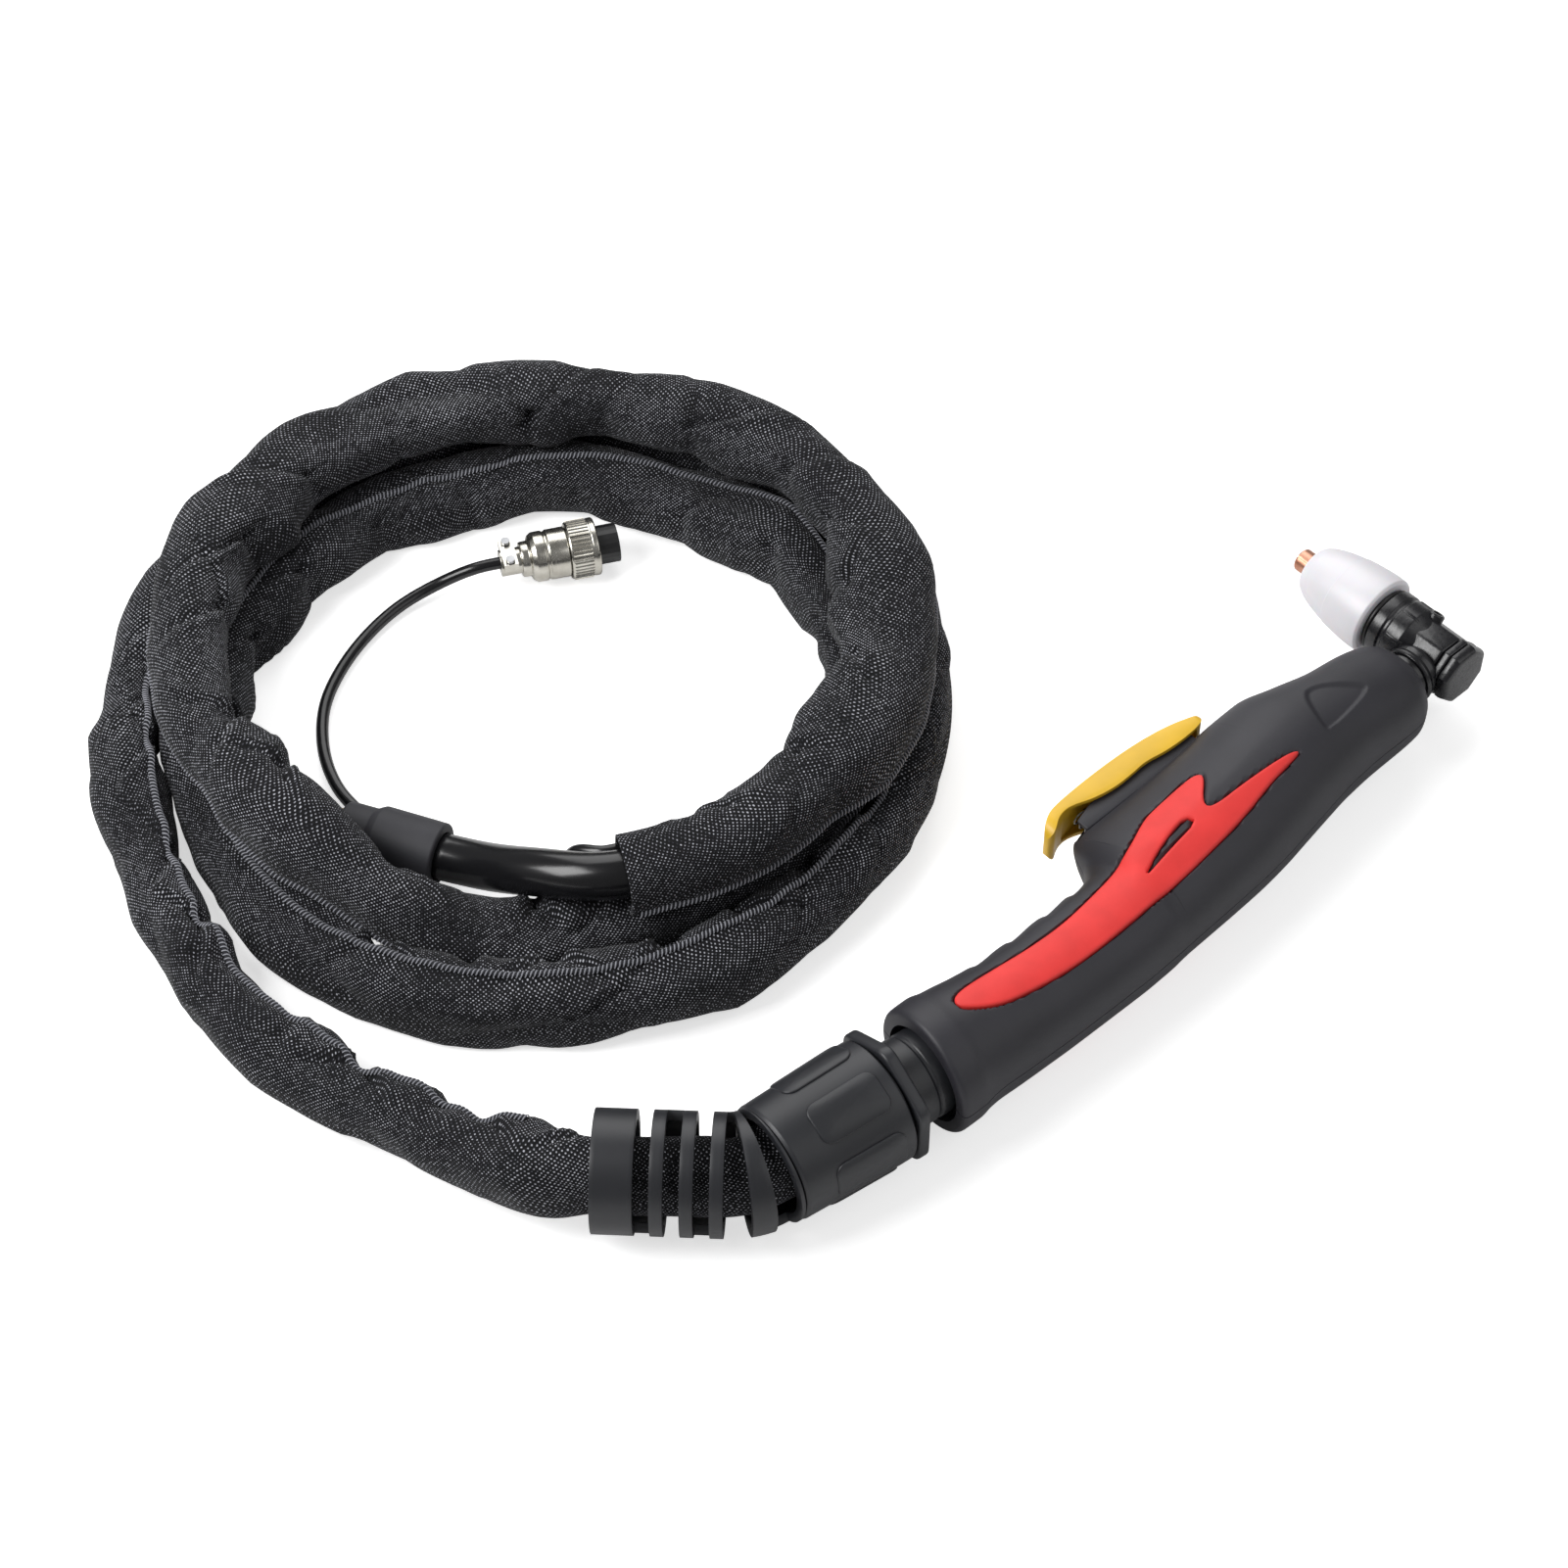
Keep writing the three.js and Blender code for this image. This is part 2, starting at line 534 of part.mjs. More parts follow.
function makeTrigger() {
  const halfWidth = TRIGGER_WIDTH / 2;
  const blade = plate(outlineShape([...TRIGGER_OUTER, ...TRIGGER_INNER]), -halfWidth, halfWidth);
  const hollowHalf = halfWidth - TRIGGER_WALL;
  const half = EAR_WIDTH / 2;
  let lever = toSolid(blade).subtract(toSolid(plate(outlineShape(TRIGGER_HOLLOW), -hollowHalf, hollowHalf)));
  lever = lever.add(toSolid(box(PIVOT_X - EAR_RADIUS, PIVOT_X + EAR_RADIUS, PIVOT_Y, 36, -half, half)));
  lever = lever.add(toSolid(pinAlongZ(PIVOT_X, PIVOT_Y, EAR_RADIUS, -half, half)));
  const stemBottom = PLUNGER_TOP + GAP;
  const halfStem = STEM_LENGTH / 2;
  lever = lever.add(toSolid(box(STEM_X - halfStem, STEM_X + halfStem, stemBottom, 38, -half + 1, half - 1)));
  lever = lever.subtract(toSolid(pinAlongZ(PIVOT_X, PIVOT_Y, PIN_RADIUS + GAP / 2, -20, 20)));
  addPiece(handleGroup, 'trigger', toGeometry(lever), 'trigger', 0.4);
  const pin = pinAlongZ(PIVOT_X, PIVOT_Y, PIN_RADIUS - GAP / 2, -PIN_LENGTH / 2, PIN_LENGTH / 2);
  addPiece(handleGroup, 'trigger_pin', pin, 'steel', 0.3, 1);

  const bottom = SWITCH_TOP - SWITCH_HEIGHT;
  const halfSwitch = SWITCH_LENGTH / 2;
  let body = toSolid(box(STEM_X - halfSwitch, STEM_X + halfSwitch, bottom, SWITCH_TOP - GAP,
    -SWITCH_WIDTH / 2, SWITCH_WIDTH / 2));
  const well = new THREE.CylinderGeometry(PLUNGER_RADIUS + GAP, PLUNGER_RADIUS + GAP, 12, 12);
  body = body.subtract(toSolid(well.translate(STEM_X, PLUNGER_TOP - PLUNGER_LENGTH - 3 + 6, 0)));
  for (const side of [-1, 1]) {
    const hole = pinAlongZ(STEM_X + side * 5.5, bottom + 2.2, 1.1, -6, 6, 12);
    body = body.subtract(toSolid(hole));
    const tab = box(STEM_X + side * 8.6 - 0.4, STEM_X + side * 8.6 + 0.4, bottom, bottom + 2, -3.2, 3.2);
    body = body.add(toSolid(tab));
  }
  addPiece(handleGroup, 'microswitch', toGeometry(body), 'insert', 0.5);
  const plunger = new THREE.CylinderGeometry(PLUNGER_RADIUS, PLUNGER_RADIUS, PLUNGER_LENGTH, 12);
  plunger.translate(STEM_X, PLUNGER_TOP - PLUNGER_LENGTH / 2, 0);
  addPiece(handleGroup, 'switch_plunger', plunger, 'grip', 0.5);
  addPiece(handleGroup, 'trigger_spring', springForm(), 'steel', 0.3, 1);
}

// Helix with a closed tube section, eight steps to a turn.
function springForm() {
  const rings = [];
  const steps = SPRING_TURNS * 8;
  const bottom = SLOT_DEPTH + SPRING_WIRE + GAP;
  const rise = SPRING_TOP - SPRING_WIRE - GAP - bottom;
  for (let step = 0; step <= steps; step += 1) {
    const angle = (2 * Math.PI * step) / 8;
    const out = new THREE.Vector3(Math.cos(angle), 0, Math.sin(angle));
    const centre = out.clone().multiplyScalar(SPRING_RADIUS);
    centre.add(new THREE.Vector3(SPRING_X, bottom + (rise * step) / steps, 0));
    const ring = [];
    for (let side = 0; side < 4; side += 1) {
      const turn = (2 * Math.PI * side) / 4;
      const point = centre.clone().addScaledVector(out, SPRING_WIRE * Math.cos(turn));
      point.y += SPRING_WIRE * Math.sin(turn);
      ring.push(point);
    }
    rings.push(ring);
  }
  return loft(rings);
}

// ---------------------------------------------------------------- head and consumables

function octagon(acrossFlats) {
  const radius = acrossFlats / 2 / Math.cos(Math.PI / 8);
  return [...Array(8).keys()].map((i) => {
    const angle = (Math.PI / 4) * (i + 0.5);
    return [radius * Math.cos(angle), radius * Math.sin(angle)];
  });
}

function alongHead(geometry) {
  return geometry.translate(HEAD_X, 0, 0);
}

function makeHead() {
  const face = HEAD_COLLAR_END;
  const spigotEnd = face + SPIGOT_LENGTH;
  const block = plate(outlineShape(octagon(HEAD_BLOCK_WIDTH)), -HEAD_COLLAR_START - 1, -HEAD_BLOCK_END);
  block.rotateX(Math.PI / 2);
  const collar = turnedAboutY([
    [HEAD_COLLAR_START - 3, 0], [HEAD_COLLAR_START - 3, 8.6], [HEAD_COLLAR_START, HEAD_COLLAR_RADIUS],
    [face - 5.2, HEAD_COLLAR_RADIUS], [face - 4.8, HEAD_COLLAR_RADIUS - 0.6],
    [face - 4, HEAD_COLLAR_RADIUS - 0.6], [face - 3.6, HEAD_COLLAR_RADIUS],
    [face, HEAD_COLLAR_RADIUS], [face, SPIGOT_RADIUS], [spigotEnd, SPIGOT_RADIUS], [spigotEnd, 0],
  ]);
  const neck = turnedAboutX(rod(NECK_TAIL, HEAD_X, NECK_RADIUS)).translate(0, NECK_HEIGHT, 0);
  const boss = new THREE.CylinderGeometry(2.1, 2.1, 4, 16).rotateX(Math.PI / 2);
  boss.rotateY(Math.PI / 4).translate(6.6, HEAD_COLLAR_START - 1.5, 6.6);
  let head = toSolid(alongHead(block)).add(toSolid(alongHead(collar))).add(toSolid(neck));
  head = head.add(toSolid(alongHead(boss)));
  const bore = turnedAboutY(rod(HEAD_BLOCK_END + CAP_STUD_LENGTH + 3, spigotEnd + 1, HEAD_BORE_RADIUS));
  const seatEnd = HEAD_BLOCK_END + CAP_STUD_LENGTH + GAP;
  const seat = turnedAboutY(rod(HEAD_BLOCK_END - 1, seatEnd, CAP_STUD_RADIUS + GAP));
  const gasWay = turnedAboutX(rod(NECK_TAIL - 1, HEAD_X, 2.6), 12).translate(0, NECK_HEIGHT + 4, 0);
  for (const cut of [alongHead(bore), alongHead(seat), gasWay]) {
    head = head.subtract(toSolid(cut));
  }
  addPiece(handleGroup, 'head_body', toGeometry(head), 'phenolic', 0.2);

  const capEnd = HEAD_BLOCK_END - GAP - CAP_THICKNESS;
  const rings = [];
  for (const [y, width] of [
    [capEnd, HEAD_BLOCK_WIDTH - 4.2], [capEnd + 1.3, HEAD_BLOCK_WIDTH - 1],
    [capEnd + 1.9, HEAD_BLOCK_WIDTH], [HEAD_BLOCK_END - GAP, HEAD_BLOCK_WIDTH]]) {
    rings.push(octagon(width).map(([x, z]) => new THREE.Vector3(x, y, z)));
  }
  const stud = turnedAboutY(rod(capEnd + 1, HEAD_BLOCK_END + CAP_STUD_LENGTH, CAP_STUD_RADIUS));
  const cap = toSolid(alongHead(loft(rings))).add(toSolid(alongHead(stud)));
  addPiece(handleGroup, 'rear_cap', toGeometry(cap), 'phenolic', 0.25);

  const ringInner = SPIGOT_RADIUS + GAP;
  const ringOuter = HEAD_COLLAR_RADIUS - ORING_INSET;
  const ringStart = face + GAP;
  addPiece(handleGroup, 'cup_o_ring', alongHead(turnedAboutY([
    [ringStart, ringInner], [ringStart, ringOuter - 0.5], [ringStart + 0.5, ringOuter],
    [ringStart + ORING_THICKNESS - 0.5, ringOuter], [ringStart + ORING_THICKNESS, ringOuter - 0.5],
    [ringStart + ORING_THICKNESS, ringInner], [ringStart, ringInner]])), 'rubber', 0.6);

  const cupStart = ringStart + ORING_THICKNESS + GAP;
  const cupEnd = cupStart + CUP_LENGTH;
  const cupBore = SPIGOT_RADIUS + GAP;
  const seatY = spigotEnd + SWIRL_LENGTH + GAP;
  addPiece(handleGroup, 'shield_cup', alongHead(turnedAboutY([
    [cupStart, cupBore], [cupStart, CUP_RADIUS - 0.8], [cupStart + 0.8, CUP_RADIUS],
    [cupStart + 6.5, CUP_RADIUS], [cupStart + 14.4, CUP_RADIUS - 0.9],
    [cupStart + 14.8, CUP_RADIUS - 1.3], [cupStart + 20, CUP_RADIUS - 2.3],
    [cupStart + 25, CUP_RADIUS - 4.1], [cupEnd - 0.7, CUP_NOSE_RADIUS + 0.3],
    [cupEnd, CUP_NOSE_RADIUS - 0.4], [cupEnd, CUP_NOSE_BORE], [cupEnd - 5.4, CUP_NOSE_BORE],
    [seatY + 4.6, TIP_SHOULDER_RADIUS + GAP], [seatY, TIP_SHOULDER_RADIUS + GAP],
    [seatY - 2, cupBore], [cupStart, cupBore]], 24)), 'ceramic', 0.35);

  const tipEnd = cupEnd + TIP_REACH;
  const tipStart = seatY + GAP;
  const shoulderEnd = tipStart + 3;
  addPiece(handleGroup, 'cutting_tip', alongHead(turnedAboutY([
    [tipStart, ELECTRODE_RADIUS + 1], [tipStart, TIP_SHOULDER_RADIUS], [shoulderEnd, TIP_SHOULDER_RADIUS],
    [cupEnd - 6.4, TIP_RADIUS], [tipEnd - 0.5, TIP_RADIUS], [tipEnd, TIP_RADIUS - 0.5],
    [tipEnd, ORIFICE_RADIUS], [tipEnd - 3, ORIFICE_RADIUS], [tipEnd - 5, ELECTRODE_RADIUS - 0.4],
    [tipEnd - 8, ELECTRODE_RADIUS + 0.7], [tipStart, ELECTRODE_RADIUS + 1]], 20)), 'copper', 0.3, 1);

  addPiece(handleGroup, 'swirl_ring', alongHead(turnedAboutY([
    [spigotEnd + GAP, ELECTRODE_RADIUS + 0.9], [spigotEnd + GAP, SWIRL_RADIUS],
    [seatY, SWIRL_RADIUS], [seatY, ELECTRODE_RADIUS + 0.9],
    [spigotEnd + GAP, ELECTRODE_RADIUS + 0.9]], 16)), 'ceramic', 0.5);

  const electrodeStart = HEAD_BLOCK_END + CAP_STUD_LENGTH + 3 + GAP;
  addPiece(handleGroup, 'electrode', alongHead(turnedAboutY([
    [electrodeStart, 0], [electrodeStart, HEAD_BORE_RADIUS - GAP], [spigotEnd - 2, HEAD_BORE_RADIUS - GAP],
    [spigotEnd, ELECTRODE_RADIUS + 0.6], [spigotEnd + SWIRL_LENGTH, ELECTRODE_RADIUS + 0.6],
    [spigotEnd + SWIRL_LENGTH + 1, ELECTRODE_RADIUS], [tipEnd - 8.6, ELECTRODE_RADIUS],
    [tipEnd - 8.6, 0]], 16)), 'copper', 0.35, 1);
}

// ---------------------------------------------------------------- inside the handle

const HANDLE_HOSE_ROUTE = [
  [10.4, HOSE_OFFSET, 0], [24, HOSE_OFFSET, 0], [48, -3.4, 0], [NECK_TAIL - 96, -3.4, 0],
  [NECK_TAIL - 78, -2.4, 0], [NECK_TAIL - 60, 0.2, 0], [NECK_TAIL - 42, 4.2, 0],
  [NECK_TAIL - 32, 6.7, 0], [NECK_TAIL - 24, NECK_HEIGHT, 0], [NECK_TAIL - 12, NECK_HEIGHT, 0],
];
const SWITCH_LEAD_ROUTE = [
  [98, 8.2, -4], [86, 7, -5.5], [74, 5, -7], [60, 2.5, -8], [46, 1.8, -8], [30, 2, -8], [20, 3, -7.4],
  [11, 4.2, -6],
];

function makeHandleInside() {
  const hose = tube(curveThrough(HANDLE_HOSE_ROUTE), 14, 2 * INNER_HOSE_RADIUS, 2 * INNER_HOSE_RADIUS, 10);
  addPiece(handleGroup, 'hose_in_handle', hose, 'hose', 0.4);
  const ferruleStart = HANDLE_HOSE_ROUTE[HANDLE_HOSE_ROUTE.length - 1][0] + GAP;
  const ferruleEnd = NECK_TAIL - GAP;
  const across = 6.6;
  addPiece(handleGroup, 'hose_ferrule', turnedAboutX([
    [ferruleStart, 0], [ferruleStart, across - 0.6], [ferruleStart + 0.6, across],
    [ferruleEnd - 3, across], [ferruleEnd - 3, across - 1.4], [ferruleEnd, across - 1.4],
    [ferruleEnd, 0]], 16).translate(0, NECK_HEIGHT, 0), 'brass', 0.35, 1);
  const lead = tube(curveThrough(SWITCH_LEAD_ROUTE), 18, 2 * LEAD_RADIUS, 2 * LEAD_RADIUS, 6);
  addPiece(handleGroup, 'switch_lead', lead, 'hose', 0.5);
}

// ---------------------------------------------------------------- cable support

// Hexagon whose corners are rounded in three facets; the lowest one lies across at the given depth.
function roundedHexagon(depth, corner) {
  const points = [];
  const centreRadius = depth - corner * Math.cos(Math.PI / 18);
  for (let i = 0; i < 6; i += 1) {
    const middle = (Math.PI / 3) * i;
    for (const step of [-3, -1, 1, 3]) {
      const angle = middle + (step * Math.PI) / 18;
      points.push([
        centreRadius * Math.cos(middle) + corner * Math.cos(angle),
        centreRadius * Math.sin(middle) + corner * Math.sin(angle)]);
    }
  }
  return points;
}

function circle(radius, sides) {
  return [...Array(sides).keys()].map((i) => {
    const angle = (2 * Math.PI * i) / sides;
    return [radius * Math.cos(angle), radius * Math.sin(angle)];
  });
}

// Turns a plate drawn in XY so that its thickness runs along X.
function facingX(geometry) {
  return geometry.rotateY(Math.PI / 2);
}

// Bends a straight piece, drawn along +X from 0, onto the relief's centre line.
function reliefPoint(along, side, height) {
  const arc = RELIEF_BEND_RADIUS * RELIEF_BEND;
  const turn = THREE.MathUtils.clamp(along / RELIEF_BEND_RADIUS, 0, RELIEF_BEND);
  const heading = Math.PI - turn;
  const bent = Math.min(Math.max(along, 0), arc);
  const straight = along - bent;
  const angle = bent / RELIEF_BEND_RADIUS;
  const x = NUT_REAR - RELIEF_BEND_RADIUS * Math.sin(angle) + straight * Math.cos(heading);
  const y = RELIEF_BEND_RADIUS * (1 - Math.cos(angle)) + straight * Math.sin(heading);
  const left = heading + Math.PI / 2;
  return [x + side * Math.cos(left), y + side * Math.sin(left), height];
}

function bendReliefForm() {
  const bore = RELIEF_BORE;
  const nose = RELIEF_LENGTH;
  const profile = [
    [-RELIEF_SPIGOT, bore], [-RELIEF_SPIGOT, NUT_BORE - GAP], [GAP, NUT_BORE - GAP],
    [GAP, RELIEF_RADIUS], [nose - 0.6, RELIEF_RADIUS], [nose, RELIEF_RADIUS - 0.6], [nose, bore],
    [-RELIEF_SPIGOT, bore]];
  let form = toSolid(turnedAboutX(profile, RELIEF_SIDES));
  const pitch = (RELIEF_LENGTH - RELIEF_COLLAR - GAP) / RELIEF_SLOTS;
  for (let slot = 0; slot < RELIEF_SLOTS; slot += 1) {
    const start = GAP + slot * pitch + (slot === 0 ? 0.6 : 0);
    const end = GAP + (slot + 1) * pitch - RELIEF_BAND;
    const webAt = slot % 2 === 0 ? -Math.PI / 2 : Math.PI;
    const wedge = [[0, 0]];
    for (let i = 0; i <= 6; i += 1) {
      const angle = webAt + RELIEF_WEB * (i / 6 - 0.5);
      wedge.push([30 * Math.cos(angle), 30 * Math.sin(angle)]);
    }
    const slab = toSolid(box(start, end, -25, 25, -25, 25));
    const keep = plate(outlineShape(wedge), start - 1, end + 1);
    keep.rotateX(Math.PI / 2).rotateZ(Math.PI / 2);
    form = form.subtract(slab.subtract(toSolid(keep)));
  }
  const geometry = toGeometry(form);
  const position = geometry.attributes.position;
  for (let i = 0; i < position.count; i += 1) {
    position.setXYZ(i, ...reliefPoint(position.getX(i), position.getY(i), position.getZ(i)));
  }
  return geometry;
}

function makeCableSupport() {
  const cageStart = LIP_END + GAP;
  addPiece(supportGroup, 'swivel_neck', turnedAboutX([
    [SWIVEL_TAIL, SWIVEL_BORE], [SWIVEL_TAIL, SWIVEL_RADIUS], [cageStart, SWIVEL_RADIUS],
    [cageStart, CAGE_RADIUS], [cageStart + CAGE_THICKNESS, CAGE_RADIUS],
    [cageStart + CAGE_THICKNESS, SWIVEL_BORE], [SWIVEL_TAIL, SWIVEL_BORE]], 28), 'support', 0.4);

  const flangeShape = outlineShape(
    roundedHexagon(MID_HEIGHT, FLANGE_CORNER), circle(SWIVEL_RADIUS + GAP, 28));
  const flange = facingX(plate(flangeShape, FLANGE_FRONT - FLANGE_THICKNESS, FLANGE_FRONT));
  addPiece(supportGroup, 'lock_flange', flange, 'support', 0.4);

  const nutFront = FLANGE_FRONT - FLANGE_THICKNESS - GAP;
  let nut = toSolid(turnedAboutX([
    [nutFront, SWIVEL_RADIUS + GAP], [nutFront, NUT_RADIUS - 1.6], [nutFront - 0.5, NUT_RADIUS - 1.6],
    [nutFront - 0.5, NUT_RADIUS - 0.6], [nutFront - 1.1, NUT_RADIUS], [nutFront - 5, NUT_RADIUS],
    [NUT_REAR + 0.8, NUT_REAR_RADIUS], [NUT_REAR, NUT_REAR_RADIUS - 0.8],
    [NUT_REAR, NUT_BORE], [nutFront - NUT_FRONT_WALL, NUT_BORE],
    [nutFront - NUT_FRONT_WALL, SWIVEL_RADIUS + GAP], [nutFront, SWIVEL_RADIUS + GAP]], 28));
  const [padRear, padFront] = [PAD_MIDDLE - PAD_LENGTH / 2, PAD_MIDDLE + PAD_LENGTH / 2];
  const padSkin = toSolid(turnedAboutX([
    [padRear, NUT_REAR_RADIUS - 1], [padRear, NUT_RADIUS + PAD_PROUD], [padFront, NUT_RADIUS + PAD_PROUD],
    [padFront, NUT_REAR_RADIUS - 1], [padRear, NUT_REAR_RADIUS - 1]], 28));
  for (let i = 0; i < PAD_COUNT; i += 1) {
    const pad = box(NUT_REAR, 0, 10, 30, -PAD_WIDTH / 2, PAD_WIDTH / 2);
    pad.rotateX(PAD_TURN + (2 * Math.PI * i) / PAD_COUNT);
    nut = nut.add(toSolid(pad).intersect(padSkin));
  }
  addPiece(supportGroup, 'barrel_nut', toGeometry(nut), 'support', 0.4);
  addPiece(supportGroup, 'bend_relief', bendReliefForm(), 'support', 0.45);

  const from = SLEEVE_START + GAP;
  const inner = turnedAboutX(rod(from, cageStart, INNER_HOSE_RADIUS), 16).translate(0, HOSE_OFFSET, 0);
  addPiece(supportGroup, 'hose_in_support', inner, 'hose', 0.4);
  const lead = turnedAboutX(rod(from, cageStart, LEAD_RADIUS), 8).translate(0, LEAD_OFFSET, 0);
  addPiece(supportGroup, 'lead_in_support', lead, 'hose', 0.4);
}

// ---------------------------------------------------------------- sleeve, coil, hose and lead

const SLEEVE_START = NUT_REAR + 24;
const COIL_LOW = SLEEVE_HEIGHT / 2;

// A table's value between its entries, by a spline through them.
function fromTable(table, place) {
  const entry = THREE.MathUtils.clamp(Math.floor(place), 0, table.length - 2);
  const along = place - entry;
  const at = (i) => table[THREE.MathUtils.clamp(i, 0, table.length - 1)];
  const [a, b, c, d] = [at(entry - 1), at(entry), at(entry + 1), at(entry + 2)];
  return 0.5 * (2 * b + (c - a) * along + (2 * a - 5 * b + 4 * c - d) * along ** 2
    + (3 * b - a - 3 * c + d) * along ** 3);
}

function coilPoint(turns) {
  const radius = fromTable(COIL_RADII, turns * 8);
  const angle = COIL_START - 2 * Math.PI * turns;
  const layer = THREE.MathUtils.smoothstep(turns, CLIMB_START, CLIMB_END) * (SLEEVE_HEIGHT + LAYER_GAP);
  return new THREE.Vector3(
    COIL_CENTRE[0] + radius * Math.cos(angle), COIL_CENTRE[1] + radius * Math.sin(angle), COIL_LOW + layer);
}

const FLAT_SECTION = [[1, 0], [0.5, 1], [-0.5, 1], [-1, 0], [-0.5, -1], [0.5, -1]];
const ROUND_SECTION = [...Array(8).keys()].map((i) => {
  const angle = (Math.PI / 4) * (i + 0.5);
  return [1.04 * Math.cos(angle), 1.04 * Math.sin(angle)];
});

// Section of the laid sleeve, square to a level heading.
function sleeveRing(centre, tangent, width, section) {
  const across = new THREE.Vector3(-tangent.y, tangent.x, 0).normalize();
  const up = new THREE.Vector3().crossVectors(tangent, across).normalize();
  return section.map(([side, height]) => centre.clone()
    .addScaledVector(across, (side * width) / 2)
    .addScaledVector(up, (height * SLEEVE_HEIGHT) / 2));
}

function coilForm() {
  const steps = Math.round(COIL_TURNS * COIL_STEPS);
  const rings = [];
  for (let step = 0; step <= steps; step += 1) {
    const turns = (COIL_TURNS * step) / steps;
    const ahead = coilPoint(Math.min(turns + 0.004, COIL_TURNS));
    const behind = coilPoint(Math.max(turns - 0.004, 0));
    const width = fromTable(COIL_WIDTHS, turns * 8);
    rings.push(sleeveRing(coilPoint(turns), ahead.sub(behind).normalize(), width, FLAT_SECTION));
  }
  return rings;
}

// Least distance between the skins of two stretches of the coil that are half a turn or more apart.
function leastGap(rings) {
  const fine = [];
  for (let i = 0; i < rings.length - 1; i += 1) {
    for (let part = 0; part < 4; part += 1) {
      for (let side = 0; side < 6; side += 1) {
        const from = rings[i][side].clone().lerp(rings[i + 1][side], part / 4);
        const to = rings[i][(side + 1) % 6].clone().lerp(rings[i + 1][(side + 1) % 6], part / 4);
        for (let share = 0; share < 6; share += 1) {
          fine.push([i, from.clone().lerp(to, share / 6)]);
        }
      }
    }
  }
  let least = Infinity;
  for (const [i, point] of fine) {
    for (const [j, other] of fine) {
      if (j - i > COIL_STEPS / 2) {
        least = Math.min(least, point.distanceTo(other));
      }
    }
  }
  return least;
}

const SLEEVE_ROUTE = [
  [SLEEVE_START, 0, MID_HEIGHT], [-44, 0, MID_HEIGHT], reliefPoint(0, 0, MID_HEIGHT),
  reliefPoint(6, 0, MID_HEIGHT), reliefPoint(12, 0, MID_HEIGHT), reliefPoint(20, 0, MID_HEIGHT),
  reliefPoint(34, 0, MID_HEIGHT), reliefPoint(RELIEF_LENGTH, 0, MID_HEIGHT),
  [-103.5, 34.4, 17.6], [-111.6, 47.6, 14.4], [-119.4, 64.4, 11.6], [-127.6, 83.4, 10.3],
  [-135.2, 103.4, 10], [-140.2, 126, 10], [-142.2, 150.7, 10], [-140.2, 175, 10],
  [-133.4, 197.4, 10], [-125.4, 220.8, 10],
];
const LEAD_IN_WIDTHS = [22.4, 22.4, 22.4, 22.4, 22.4, 22.4, 22.6, 21, 19, 20.4];
const LEAD_IN_STEPS = 34;

const HOSE_ROUTE = [
  [-44.8, 106.2, 28.8], [-49.4, 113.2, 26.8], [-53.2, 121.2, 22.4], [-56.4, 130, 16.8],
  [-59.8, 139.6, 12], [-62.3, 144.8, 10.5],
];

const LEAD_ROUTE = [
  [-38.8, 114.8, 27.4], [-40.6, 120, 18], [-42.4, 128, 8], [-45.4, 137.6, 3], [-53.8, 151.6, 2.1],
  [-64, 165.6, 2.1], [-70.8, 178, 2.1], [-72.6, 189.6, 2.1], [-71.3, 200, 2.1], [-66.8, 212, 2.1],
  [-58.4, 224.4, 2.1], [-46.8, 234, 2.1], [-32.8, 241.4, 2.1], [-18.8, 245.2, 2.8], [-4.6, 244.4, 5],
];

